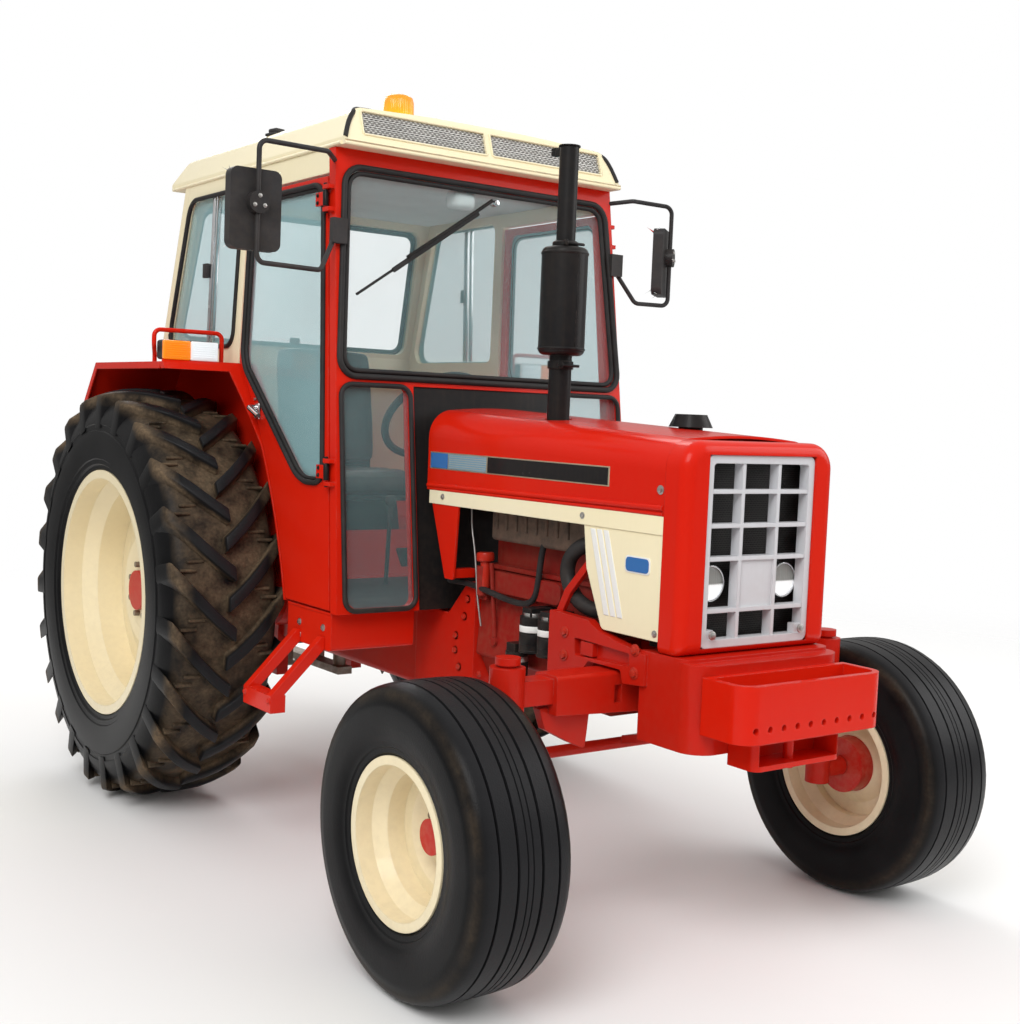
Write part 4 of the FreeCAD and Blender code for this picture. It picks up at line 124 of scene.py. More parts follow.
def lay_floor():
    bm = bmesh.new()
    bmesh.ops.create_circle(bm, cap_ends=True, radius=60, segments=96)
    mesh = bpy.data.meshes.new("floor")
    bm.to_mesh(mesh)
    bm.free()
    floor = bpy.data.objects.new("floor", mesh)
    scene.collection.objects.link(floor)
    material = bpy.data.materials.new("pale_floor")
    material.use_nodes = True
    shader = material.node_tree.nodes["Principled BSDF"]
    shader.inputs["Base Color"].default_value = (0.86, 0.86, 0.86, 1)
    shader.inputs["Roughness"].default_value = 0.9
    nodes = material.node_tree.nodes
    links = material.node_tree.links
    place = nodes.new("ShaderNodeTexCoord")
    reach = nodes.new("ShaderNodeVectorMath")
    reach.operation = "LENGTH"
    links.new(place.outputs["Object"], reach.inputs[0])
    fade = nodes.new("ShaderNodeMapRange")
    fade.interpolation_type = "SMOOTHSTEP"
    fade.inputs["From Min"].default_value = 3.0
    fade.inputs["From Max"].default_value = 8.0
    links.new(reach.outputs["Value"], fade.inputs["Value"])
    clear = nodes.new("ShaderNodeBsdfTransparent")
    mix = nodes.new("ShaderNodeMixShader")
    links.new(fade.outputs["Result"], mix.inputs["Fac"])
    links.new(shader.outputs[0], mix.inputs[1])
    links.new(clear.outputs[0], mix.inputs[2])
    links.new(mix.outputs[0], nodes["Material Output"].inputs["Surface"])
    mesh.materials.append(material)


lay_floor()


# Tyres. Moulded rubber casings whose beads sit in the rims. The rear ones have 23 curved tread bars a side,
# left and right by turns, over a round casing; the front ones have three broad ribs with grooves between.
# Each stands for its plainer node.
SIDES = ((-1, "right"), (1, "left"))
REAR_RADIUS = 0.7675
FRONT_RADIUS = 0.405
REAR_CENTRE = Vector((0.775, 0.855, REAR_RADIUS))
FRONT_CENTRE = Vector((0.822, -1.275, FRONT_RADIUS))
BARS_A_SIDE = 23
TREAD_HALF_WIDTH = 0.215
BAR_ROOT_SHARE = -0.065
BAR_REACH_SHARE = 1.023
REAR_CASING_STEPS = 92
FRONT_CASING_STEPS = 72

# Half sections of the casings: offset from the tyre's middle and radius, from the bead to the crown
REAR_SECTION = (
    (0.150, 0.4375), (0.1860, 0.4375), (0.1868, 0.4580), (0.1935, 0.4620), (0.1950, 0.4740), (0.2020, 0.4800),
    (0.2040, 0.4960), (0.2085, 0.5000), (0.2120, 0.5300), (0.2145, 0.5787), (0.2130, 0.6020), (0.2090, 0.6060),
    (0.2080, 0.6250), (0.2110, 0.6290), (0.2085, 0.6480), (0.2000, 0.6720), (0.1880, 0.6950), (0.1720, 0.7120),
    (0.1500, 0.7215), (0.1150, 0.7265), (0.0600, 0.7290), (0.0, 0.7300),
)
FRONT_SECTION = (
    (0.1000, 0.2052), (0.1222, 0.2052), (0.1228, 0.2220), (0.1290, 0.2280), (0.1310, 0.2400), (0.1350, 0.2440),
    (0.1370, 0.2600), (0.1400, 0.2640), (0.1430, 0.3000), (0.1450, 0.3420), (0.1432, 0.3560), (0.1390, 0.3640),
    (0.1380, 0.3720), (0.1345, 0.3830), (0.1250, 0.3925), (0.1120, 0.3985), (0.0905, 0.4025), (0.0890, 0.3925),
    (0.0845, 0.3925), (0.0830, 0.4030), (0.0395, 0.4048), (0.0380, 0.3930), (0.0330, 0.3930), (0.0315, 0.4048),
    (0.0105, 0.4050), (0.0095, 0.4010), (0.0070, 0.4010), (0.0060, 0.4050), (0.0, 0.4050),
)
# Stations of a tread bar: share of the half width, trail behind its root, top below the tyre's radius,
# half width at the foot, half width at the top
BAR_STATIONS = ((BAR_ROOT_SHARE, -0.008, 0.0, 0.034, 0.024), (0.51, 0.106, 0.0045, 0.036, 0.027),
                (0.958, 0.226, 0.0325, 0.042, 0.033))


def start_material(name):
    """New material, its node tree, its shader and the Object coordinates of what it covers."""
    material = bpy.data.materials.new(name)
    material.use_nodes = True
    tree = material.node_tree
    shader = tree.nodes["Principled BSDF"]
    coords = tree.nodes.new("ShaderNodeTexCoord")
    return material, tree, shader, coords.outputs["Object"]


def wire(tree, source, target):
    tree.links.new(source, target)


def calc(tree, operation, first, second=None, clamp=False):
    node = tree.nodes.new("ShaderNodeMath")
    node.operation = operation
    node.use_clamp = clamp
    for slot, value in zip(node.inputs, (first, second)):
        if value is None:
            continue
        if isinstance(value, (int, float)):
            slot.default_value = value
        else:
            wire(tree, value, slot)
    return node.outputs[0]


def noise(tree, vector, scale, detail=3.0, roughness=0.55):
    node = tree.nodes.new("ShaderNodeTexNoise")
    node.inputs["Scale"].default_value = scale
    node.inputs["Detail"].default_value = detail
    node.inputs["Roughness"].default_value = roughness
    wire(tree, vector, node.inputs["Vector"])
    return node.outputs["Fac"]


def ramp(tree, value, low, high):
    node = tree.nodes.new("ShaderNodeMapRange")
    node.inputs["From Min"].default_value = low
    node.inputs["From Max"].default_value = high
    wire(tree, value, node.inputs["Value"])
    return node.outputs["Result"]


def blend_colour(tree, share, first, second):
    node = tree.nodes.new("ShaderNodeMix")
    node.data_type = "RGBA"
    if isinstance(share, (int, float)):
        node.inputs["Factor"].default_value = share
    else:
        wire(tree, share, node.inputs["Factor"])
    for slot, value in ((node.inputs[6], first), (node.inputs[7], second)):
        if isinstance(value, tuple):
            slot.default_value = value
        else:
            wire(tree, value, slot)
    return node.outputs[2]


def raise_bump(tree, shader, height, strength, distance, under=None):
    bump = tree.nodes.new("ShaderNodeBump")
    bump.inputs["Strength"].default_value = strength
    bump.inputs["Distance"].default_value = distance
    wire(tree, height, bump.inputs["Height"])
    if under is not None:
        wire(tree, under, bump.inputs["Normal"])
    wire(tree, bump.outputs[0], shader.inputs["Normal"])


def tread_material(name, centre, dirt_reach, dirt_amount):
    """Tyre rubber whose tread floor and shoulders hold brown dirt, by the distance from the axle."""
    material, tree, shader, place = start_material(name)
    ground = centre.z
    shifted = tree.nodes.new("ShaderNodeVectorMath")
    shifted.operation = "SUBTRACT"
    shifted.inputs[1].default_value = (0, centre.y, centre.z)
    wire(tree, place, shifted.inputs[0])
    flat = tree.nodes.new("ShaderNodeVectorMath")
    flat.operation = "MULTIPLY"
    flat.inputs[1].default_value = (0, 1, 1)
    wire(tree, shifted.outputs[0], flat.inputs[0])
    reach = tree.nodes.new("ShaderNodeVectorMath")
    reach.operation = "LENGTH"
    wire(tree, flat.outputs[0], reach.inputs[0])
    radius = reach.outputs["Value"]
    near = ramp(tree, radius, ground - dirt_reach, ground - dirt_reach * 0.35)
    top = ramp(tree, radius, ground - 0.010, ground - 0.028)
    patches = ramp(tree, noise(tree, place, 11.0, 5.0), 0.3, 0.62)
    grit = ramp(tree, noise(tree, place, 95.0, 4.0), 0.3, 0.7)
    mask = calc(tree, "MULTIPLY", calc(tree, "MULTIPLY", near, top), patches)
    mask = calc(tree, "MULTIPLY", mask, calc(tree, "ADD", calc(tree, "MULTIPLY", grit, 0.5), 0.5))
    mask = calc(tree, "MULTIPLY", mask, dirt_amount, clamp=True)
    bloom = ramp(tree, noise(tree, place, 7.0, 5.0), 0.35, 0.75)
    base = blend_colour(tree, calc(tree, "MULTIPLY", bloom, 0.7), (0.0035, 0.0035, 0.004, 1),
                        (0.010, 0.010, 0.011, 1))
    worn = calc(tree, "MULTIPLY", ramp(tree, radius, ground - 0.014, ground - 0.003), 0.6)
    base = blend_colour(tree, worn, base, (0.022, 0.022, 0.024, 1))
    base = blend_colour(tree, mask, base, (0.20, 0.14, 0.085, 1))
    wire(tree, base, shader.inputs["Base Color"])
    rough = calc(tree, "ADD", calc(tree, "MULTIPLY", mask, 0.5), 0.36, clamp=True)
    wire(tree, rough, shader.inputs["Roughness"])
    shader.inputs["Specular IOR Level"].default_value = 0.12
    height = calc(tree, "ADD", calc(tree, "MULTIPLY", grit, mask), noise(tree, place, 240.0, 2.0))
    raise_bump(tree, shader, height, 0.35, 0.0015)
    return material


REAR_TREAD = tread_material("rear_tyre_rubber", REAR_CENTRE, 0.075, 0.95)
FRONT_TREAD = tread_material("front_tyre_rubber", FRONT_CENTRE, 0.05, 0.25)


def make_piece(name, bm, material, body="chassis", crease=40):
    """Piece from a finished bmesh: smooth, but sharp past the crease angle, and riding on its body."""
    bmesh.ops.recalc_face_normals(bm, faces=bm.faces)
    mesh = bpy.data.meshes.new(name)
    bm.to_mesh(mesh)
    bm.free()
    mesh.polygons.foreach_set("use_smooth", [True] * len(mesh.polygons))
    mesh.set_sharp_from_angle(angle=math.radians(crease))
    mesh.materials.append(material)
    piece = bpy.data.objects.new(name, mesh)
    scene.collection.objects.link(piece)
    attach(piece, body)
    return piece


def join_shape(bm, other):
    """Adds a second bmesh to the first and frees it."""
    mesh = bpy.data.meshes.new("joined")
    other.to_mesh(mesh)
    other.free()
    bm.from_mesh(mesh)
    bpy.data.meshes.remove(mesh)


def add_block(bm, low, high, bevel=0.003, segments=2, turn=None):
    """Box between two corners with rounded edges; turn is a matrix applied about its middle."""
    low, high = Vector(low), Vector(high)
    middle = (low + high) / 2
    size = Matrix.Diagonal((*(high - low), 1))
    spin = turn.to_4x4() if turn else Matrix.Identity(4)
    made = bmesh.ops.create_cube(bm, size=1, matrix=Matrix.Translation(middle) @ spin @ size)["verts"]
    if bevel:
        edges = list({edge for vertex in made for edge in vertex.link_edges})
        bmesh.ops.bevel(bm, geom=edges, offset=bevel, segments=segments, profile=0.5, affect="EDGES",
                        material=-1)


def add_turned(bm, profile, centre, axis, steps=48):
    """Ring or dome spun from (offset along the axis, radius) points."""
    centre, axis = Vector(centre), Vector(axis).normalized()
    side = axis.orthogonal().normalized()
    made = [bm.verts.new(centre + axis * along + side * radius) for along, radius in profile]
    edges = [bm.edges.new(pair) for pair in zip(made, made[1:])]
    bmesh.ops.spin(bm, geom=made + edges, cent=centre, axis=axis, angle=2 * math.pi, steps=steps,
                   use_merge=True)
    bmesh.ops.remove_doubles(bm, verts=bm.verts, dist=0.00001)


def station_at(share):
    """A tread bar's values at a share of the half width, on a parabola through its stations."""
    shares = [station[0] for station in BAR_STATIONS]
    found = []
    for column in range(1, len(BAR_STATIONS[0])):
        total = 0.0
        for i, station in enumerate(BAR_STATIONS):
            weight = 1.0
            for j, other in enumerate(shares):
                if j != i:
                    weight *= (share - other) / (shares[i] - other)
            total += weight * station[column]
        found.append(total)
    return found


def casing_radius(offset):
    """Radius of the rear casing at an offset from the tyre's middle."""
    outer = [point for point in REAR_SECTION if point[1] > 0.64]
    for (x_high, r_low), (x_low, r_high) in zip(outer, outer[1:]):
        if x_low <= offset <= x_high:
            return r_low + (x_high - offset) / (x_high - x_low) * (r_high - r_low)
    return 0.645


def add_tread_bar(bm, side, turn, sign):
    """One curved bar: a block cut along its length, its top edges rounded, then wrapped over the casing."""
    bmesh.ops.create_cube(bm, size=1, matrix=Matrix.Diagonal((5, 1, 1, 1)))
    top = [edge for edge in bm.edges if all(vertex.co.z > 0.4 for vertex in edge.verts)]
    upright = [edge for edge in bm.edges if abs(edge.verts[0].co.z - edge.verts[1].co.z) > 0.5]
    bmesh.ops.bevel(bm, geom=top + upright, offset=0.13, segments=2, profile=0.5, affect="EDGES", material=-1)
    for cut in (-1.7, -0.85, 0.0, 0.85, 1.7):
        parts = list(bm.verts) + list(bm.edges) + list(bm.faces)
        bmesh.ops.bisect_plane(bm, geom=parts, plane_co=(cut, 0, 0), plane_no=(1, 0, 0), dist=0.0001)
    for vertex in bm.verts:
        along, across, up = vertex.co.x / 5 + 0.5, vertex.co.y * 2, vertex.co.z + 0.5
        share = BAR_ROOT_SHARE + along * BAR_REACH_SHARE
        trail, below, half_foot, half_top = station_at(share)
        offset = share * TREAD_HALF_WIDTH
        top_radius = REAR_RADIUS - 0.0002 - max(below, 0.0)
        foot_radius = casing_radius(abs(offset)) - 0.012
        if along > 0.9:
            foot_radius -= 0.030 * (along - 0.9) / 0.1
            offset += 0.007 * (1 - up) * (along - 0.9) / 0.1
        radius = foot_radius + up * (top_radius - foot_radius)
        half = half_foot + up * (half_top - half_foot)
        angle = turn + (across * half - trail) / REAR_RADIUS
        vertex.co = REAR_CENTRE + Vector((side * offset, radius * math.cos(angle), radius * math.sin(angle)))
        vertex.co.x *= sign


def repeat_round(bm, middle):
    """Repeats a tread bar all round the wheel."""
    parts = list(bm.verts) + list(bm.edges) + list(bm.faces)
    steps = BARS_A_SIDE - 1
    bmesh.ops.spin(bm, geom=parts, cent=middle, axis=(1, 0, 0), angle=2 * math.pi * steps / BARS_A_SIDE,
                   steps=steps, use_duplicate=True)


def add_rear_tread(bm, middle, sign):
    """The bars of both sides, half a pitch apart, and the low moulding ridges between them."""
    for side, share in ((1, 0.75), (-1, 0.25)):
        bar = bmesh.new()
        add_tread_bar(bar, side, 2 * math.pi * share / BARS_A_SIDE, sign)
        repeat_round(bar, middle)
        join_shape(bm, bar)
    for out, turn in ((0.118, 0.010), (0.145, 0.052), (-0.118, 0.146), (-0.145, 0.188)):
        ridge = bmesh.new()
        add_block(ridge, (out - 0.030, 0.705, -0.0055), (out + 0.030, 0.734, 0.0055), 0.003, 1)
        place = Matrix.Translation(middle) @ Matrix.Rotation(turn, 4, "X")
        bmesh.ops.transform(ridge, matrix=place, verts=ridge.verts)
        repeat_round(ridge, middle)
        join_shape(bm, ridge)


def make_tyres():
    kinds = (("rear", REAR_CENTRE, REAR_SECTION, REAR_CASING_STEPS, REAR_TREAD),
             ("front", FRONT_CENTRE, FRONT_SECTION, FRONT_CASING_STEPS, FRONT_TREAD))
    for sign, word in SIDES:
        for name, centre, section, steps, finish in kinds:
            bm = bmesh.new()
            middle = Vector((sign * centre.x, centre.y, centre.z))
            profile = list(section) + [(-offset, radius) for offset, radius in reversed(section[:-1])]
            add_turned(bm, profile, middle, (1, 0, 0), steps)
            bmesh.ops.bridge_loops(bm, edges=[edge for edge in bm.edges if edge.is_boundary])
            if name == "rear":
                add_rear_tread(bm, middle, sign)
            piece = make_piece(f"fine_tyre_{name}_{word}", bm, finish, f"wheel_{name}_{word}", 35)
            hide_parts(f"tyre_{name}_{word}")


make_tyres()


# Rims. Pressed steel discs welded into their wells, in cream wheel paint. The hub cap and drum show red at
# the middle, round them stand bare studs, and a valve leans out of the flank of each well.
DUST_COLOUR = (0.22, 0.15, 0.09, 1)
VALVE_TURN = math.radians(128)


def group_socket(tree, name, way, kind, value=None):
    socket = tree.interface.new_socket(name=name, in_out=way, socket_type=kind)
    if value is not None:
        socket.default_value = value


def make_dust_group():
    """Road dust: thick near the ground, thin above, broken up by two sizes of noise, and rain streaks."""
    tree = bpy.data.node_groups.new("road_dust", "ShaderNodeTree")
    group_socket(tree, "Vector", "INPUT", "NodeSocketVector")
    group_socket(tree, "Amount", "INPUT", "NodeSocketFloat", 0.5)
    group_socket(tree, "Top", "INPUT", "NodeSocketFloat", 1.2)
    group_socket(tree, "Dust", "OUTPUT", "NodeSocketFloat")
    group_socket(tree, "Streaks", "OUTPUT", "NodeSocketFloat")
    inner = tree.nodes.new("NodeGroupInput")
    outer = tree.nodes.new("NodeGroupOutput")
    split = tree.nodes.new("ShaderNodeSeparateXYZ")
    wire(tree, inner.outputs["Vector"], split.inputs[0])
    height = calc(tree, "DIVIDE", split.outputs["Z"], inner.outputs["Top"])
    low = calc(tree, "SUBTRACT", 1.0, height, clamp=True)
    low = calc(tree, "ADD", calc(tree, "MULTIPLY", low, 0.85), 0.15)
    broad = ramp(tree, noise(tree, inner.outputs["Vector"], 3.2, 4.0), 0.35, 0.72)
    fine = ramp(tree, noise(tree, inner.outputs["Vector"], 46.0, 3.0), 0.38, 0.7)
    mixed = calc(tree, "ADD", calc(tree, "MULTIPLY", broad, 0.6), calc(tree, "MULTIPLY", fine, 0.5))
    dust = calc(tree, "MULTIPLY", calc(tree, "MULTIPLY", mixed, low), inner.outputs["Amount"], clamp=True)
    wire(tree, dust, outer.inputs["Dust"])
    squeeze = tree.nodes.new("ShaderNodeMapping")
    squeeze.inputs["Scale"].default_value = (60, 60, 2.2)
    wire(tree, inner.outputs["Vector"], squeeze.inputs["Vector"])
    runs = ramp(tree, noise(tree, squeeze.outputs[0], 1.0, 3.0), 0.52, 0.8)
    wire(tree, calc(tree, "MULTIPLY", runs, inner.outputs["Amount"], clamp=True), outer.inputs["Streaks"])
    return tree


def make_edge_group():
    """Where a coat has rubbed thin: sharp edges, found from a rounded normal, broken up by noise."""
    tree = bpy.data.node_groups.new("rubbed_edge", "ShaderNodeTree")
    group_socket(tree, "Vector", "INPUT", "NodeSocketVector")
    group_socket(tree, "Amount", "INPUT", "NodeSocketFloat", 0.5)
    group_socket(tree, "Edge", "OUTPUT", "NodeSocketFloat")
    group_socket(tree, "Rounded", "OUTPUT", "NodeSocketVector")
    inner = tree.nodes.new("NodeGroupInput")
    outer = tree.nodes.new("NodeGroupOutput")
    rounded = tree.nodes.new("ShaderNodeBevel")
    rounded.samples = 4
    rounded.inputs["Radius"].default_value = 0.004
    plain = tree.nodes.new("ShaderNodeNewGeometry")
    dot = tree.nodes.new("ShaderNodeVectorMath")
    dot.operation = "DOT_PRODUCT"
    wire(tree, rounded.outputs[0], dot.inputs[0])
    wire(tree, plain.outputs["Normal"], dot.inputs[1])
    turn = calc(tree, "SUBTRACT", 1.0, dot.outputs["Value"], clamp=True)
    patchy = ramp(tree, noise(tree, inner.outputs["Vector"], 30.0, 4.0), 0.45, 0.65)
    worn = calc(tree, "MULTIPLY", ramp(tree, turn, 0.03, 0.2), patchy)
    wire(tree, calc(tree, "MULTIPLY", worn, inner.outputs["Amount"], clamp=True), outer.inputs["Edge"])
    wire(tree, rounded.outputs[0], outer.inputs["Rounded"])
    return tree


DUST_GROUP = make_dust_group()
EDGE_GROUP = make_edge_group()


def place_group(tree, group, vector, **values):
    node = tree.nodes.new("ShaderNodeGroup")
    node.node_tree = group
    wire(tree, vector, node.inputs["Vector"])
    for name, value in values.items():
        node.inputs[name].default_value = value
    return node


def paint(finish, *nodes):
    """Gives each of these nodes one finish."""
    for node in nodes:
        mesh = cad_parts[node].data
        mesh.materials.clear()
        mesh.materials.append(finish)


def rim_paint(name, centre, cap_radius, drum_radius, drum_reach, stud_low, stud_high, stud_reach):
    """Cream wheel paint, with hub cap and drum red and studs bare by their place on the wheel."""
    material, tree, shader, place = start_material(name)
    split = tree.nodes.new("ShaderNodeSeparateXYZ")
    wire(tree, place, split.inputs[0])
    out = calc(tree, "ABSOLUTE", split.outputs["X"])
    across = calc(tree, "SUBTRACT", split.outputs["Y"], centre.y)
    up = calc(tree, "SUBTRACT", split.outputs["Z"], centre.z)
    squares = calc(tree, "ADD", calc(tree, "MULTIPLY", across, across), calc(tree, "MULTIPLY", up, up))
    reach = calc(tree, "SQRT", squares)
    cap = calc(tree, "LESS_THAN", reach, cap_radius)
    drum = calc(tree, "LESS_THAN", reach, drum_radius)
    drum = calc(tree, "MULTIPLY", drum, calc(tree, "LESS_THAN", out, drum_reach))
    red = calc(tree, "MAXIMUM", cap, drum)
    stud = calc(tree, "GREATER_THAN", reach, stud_low)
    stud = calc(tree, "MULTIPLY", stud, calc(tree, "LESS_THAN", reach, stud_high))
    stud = calc(tree, "MULTIPLY", stud, calc(tree, "GREATER_THAN", out, stud_reach))
    fade = ramp(tree, noise(tree, place, 2.4, 5.0), 0.3, 0.75)
    cream = blend_colour(tree, fade, (0.90, 0.80, 0.56, 1), (0.86, 0.74, 0.49, 1))
    dirt = place_group(tree, DUST_GROUP, place, Amount=0.32, Top=1.3)
    worn = place_group(tree, EDGE_GROUP, place, Amount=0.25)
    cream = blend_colour(tree, worn.outputs["Edge"], cream, (0.40, 0.30, 0.20, 1))
    base = blend_colour(tree, red, cream, (0.52, 0.010, 0.005, 1))
    base = blend_colour(tree, stud, base, (0.20, 0.15, 0.11, 1))
    base = blend_colour(tree, dirt.outputs["Dust"], base, (0.50, 0.41, 0.28, 1))
    wire(tree, base, shader.inputs["Base Color"])
    rough = calc(tree, "ADD", calc(tree, "MULTIPLY", dirt.outputs["Dust"], 0.5), 0.28)
    wire(tree, rough, shader.inputs["Roughness"])
    shader.inputs["Specular IOR Level"].default_value = 0.15
    shader.inputs["Coat Weight"].default_value = 0.15
    raise_bump(tree, shader, noise(tree, place, 300.0, 2.0), 0.12, 0.001, worn.outputs["Rounded"])
    return material


REAR_RIM = rim_paint("rear_rim_paint", REAR_CENTRE, cap_radius=0.0765, drum_radius=0.10, drum_reach=0.70,
                     stud_low=0.088, stud_high=0.116, stud_reach=0.8018)
FRONT_RIM = rim_paint("front_rim_paint", FRONT_CENTRE, cap_radius=0.0485, drum_radius=0.090, drum_reach=0.7835,
                      stud_low=0.058, stud_high=0.084, stud_reach=0.7915)
paint(REAR_RIM, "rim_rear_left", "rim_rear_right")
paint(FRONT_RIM, "rim_front_left", "rim_front_right")


def bright_metal(name, colour, rough):
    """Bare or plated bright metal, smeared with a dull film in patches."""
    material, tree, shader, place = start_material(name)
    smear = ramp(tree, noise(tree, place, 22.0, 5.0), 0.35, 0.75)
    base = blend_colour(tree, calc(tree, "MULTIPLY", smear, 0.35), colour, (0.35, 0.33, 0.30, 1))
    wire(tree, base, shader.inputs["Base Color"])
    shader.inputs["Metallic"].default_value = 1.0
    wire(tree, calc(tree, "ADD", calc(tree, "MULTIPLY", smear, 0.25), rough), shader.inputs["Roughness"])
    raise_bump(tree, shader, noise(tree, place, 160.0, 2.0), 0.08, 0.0006)
    return material


ZINC = bright_metal("zinc_bolt", (0.55, 0.54, 0.52, 1), 0.3)


def add_rod(bm, start, end, radius, sides=20, end_radius=None, bevel=0.0):
    """Round bar between two points, or a cone where end_radius is given."""
    start, end = Vector(start), Vector(end)
    way = end - start
    turn = way.to_track_quat("Z", "Y").to_matrix().to_4x4()
    made = bmesh.ops.create_cone(bm, cap_ends=True, segments=sides, radius1=radius,
                                 radius2=radius if end_radius is None else end_radius, depth=way.length,
                                 matrix=Matrix.Translation((start + end) / 2) @ turn)["verts"]
    if bevel:
        edges = {edge for vertex in made for edge in vertex.link_edges if len(edge.link_faces) == 2
                 and any(len(face.verts) == sides for face in edge.link_faces)}
        bmesh.ops.bevel(bm, geom=list(edges), offset=bevel, segments=2, profile=0.5, affect="EDGES",
                        material=-1)


def make_valves():
    """Tyre valves in the outer flank of each rim's well."""
    for sign, word in SIDES:
        for name, centre, radius, offset in (
                ("rear", REAR_CENTRE, 0.405, 0.100), ("front", FRONT_CENTRE, 0.186, 0.060)):
            bm = bmesh.new()
            way = Vector((0, math.cos(VALVE_TURN), math.sin(VALVE_TURN)))
            middle = Vector((sign * (centre.x + offset), centre.y, centre.z))
            seat = middle + way * radius
            add_rod(bm, seat + way * 0.010, seat - way * 0.006, 0.0085, 20, 0.0065, bevel=0.001)
            add_rod(bm, seat - way * 0.004, seat - way * 0.030, 0.0042, 16, bevel=0.0006)
            add_rod(bm, seat - way * 0.022, seat - way * 0.034, 0.0052, 12, bevel=0.001)
            make_piece(f"valve_{name}_{word}", bm, ZINC, f"wheel_{name}_{word}")


make_valves()


# Chassis. Cast gearbox and axle housing and the welded front frame with its axle, bolted end to end and all
# sprayed the same dull red. The bolts that show are those of the frame's rails, the bell housing and the sump.
RAIL_BOLTS = ((-1.096, 0.875), (-1.097, 0.808), (-1.404, 0.872), (-1.404, 0.809))
BELL_BOLTS = ((-0.456, 0.879), (-0.393, 0.749), (-0.417, 0.647), (-0.440, 0.820), (-0.392, 0.700))
SUMP_BOLTS = ((-1.10, 0.640), (-0.98, 0.640), (-0.86, 0.640), (-0.74, 0.640), (-0.62, 0.640), (-0.52, 0.640))


def make_coat_group():
    """Height of a sprayed coat: a faint orange peel over slow waves in the sheet."""
    tree = bpy.data.node_groups.new("sprayed_coat", "ShaderNodeTree")
    group_socket(tree, "Vector", "INPUT", "NodeSocketVector")
    group_socket(tree, "Peel", "INPUT", "NodeSocketFloat", 0.4)
    group_socket(tree, "Waves", "INPUT", "NodeSocketFloat", 0.5)
    group_socket(tree, "Height", "OUTPUT", "NodeSocketFloat")
    inner = tree.nodes.new("NodeGroupInput")
    outer = tree.nodes.new("NodeGroupOutput")
    peel = calc(tree, "MULTIPLY", noise(tree, inner.outputs["Vector"], 420.0, 2.0), inner.outputs["Peel"])
    waves = calc(tree, "MULTIPLY", noise(tree, inner.outputs["Vector"], 5.0, 2.0), inner.outputs["Waves"])
    wire(tree, calc(tree, "ADD", peel, waves), outer.inputs["Height"])
    return tree


COAT_GROUP = make_coat_group()


def enamel(name, colour, faded, dust=0.45, top=1.2, rough=0.26, edge=0.35,
           under=(0.25, 0.2, 0.17, 1), coat=0.35):
    """Sprayed gloss enamel: slow fading, dust, rain streaks, rubbed edges and a faint orange peel."""
    material, tree, shader, place = start_material(name)
    fade = ramp(tree, noise(tree, place, 1.7, 5.0), 0.3, 0.75)
    base = blend_colour(tree, calc(tree, "MULTIPLY", fade, 0.6), colour, faded)
    dirt = place_group(tree, DUST_GROUP, place, Amount=dust, Top=top)
    worn = place_group(tree, EDGE_GROUP, place, Amount=edge)
    film = place_group(tree, COAT_GROUP, place, Peel=0.25, Waves=0.8)
    base = blend_colour(tree, worn.outputs["Edge"], base, under)
    base = blend_colour(tree, calc(tree, "MULTIPLY", dirt.outputs["Streaks"], 0.15), base, DUST_COLOUR)
    base = blend_colour(tree, dirt.outputs["Dust"], base, DUST_COLOUR)
    wire(tree, base, shader.inputs["Base Color"])
    roughness = calc(tree, "ADD", rough, calc(tree, "MULTIPLY", dirt.outputs["Dust"], 0.6), clamp=True)
    wire(tree, roughness, shader.inputs["Roughness"])
    shader.inputs["Specular IOR Level"].default_value = 0.12
    shader.inputs["Coat Weight"].default_value = coat
    shader.inputs["Coat IOR"].default_value = 1.35
    shader.inputs["Coat Roughness"].default_value = 0.06
    raise_bump(tree, shader, film.outputs["Height"], 0.25, 0.002, worn.outputs["Rounded"])
    return material


DARK_RED = enamel("red_chassis_paint", (0.58, 0.012, 0.004, 1), (0.44, 0.012, 0.005, 1), dust=0.22, top=0.9,
                  rough=0.3, coat=0.12)
BARE_RED = enamel("red_casting_paint", (0.54, 0.016, 0.006, 1), (0.42, 0.022, 0.010, 1), dust=0.4, top=1.4,
                  rough=0.35)
paint(DARK_RED, "transmission", "rear_axle_housing", "front_axle", "front_frame", "knuckle_left",
      "knuckle_right", "track_rod")


def add_bolt(bm, place, out, radius, height):
    """Hexagon head on a washer, standing out of a surface."""
    place, out = Vector(place), Vector(out).normalized()
    add_rod(bm, place - out * 0.002, place + out * height * 0.3, radius * 1.5, 20, bevel=height * 0.08)
    add_rod(bm, place + out * height * 0.25, place + out * height, radius, 6, bevel=radius * 0.12)


def make_frame_bolts():
    for sign, word in SIDES:
        bm = bmesh.new()
        for x, places, radius, height in ((0.290, RAIL_BOLTS, 0.011, 0.010), (0.192, BELL_BOLTS, 0.010, 0.010),
                                          (0.184, SUMP_BOLTS, 0.007, 0.006)):
            for y, z in places:
                add_bolt(bm, (sign * x, y, z), (sign, 0, 0), radius, height)
        make_piece(f"frame_bolts_{word}", bm, BARE_RED)


make_frame_bolts()


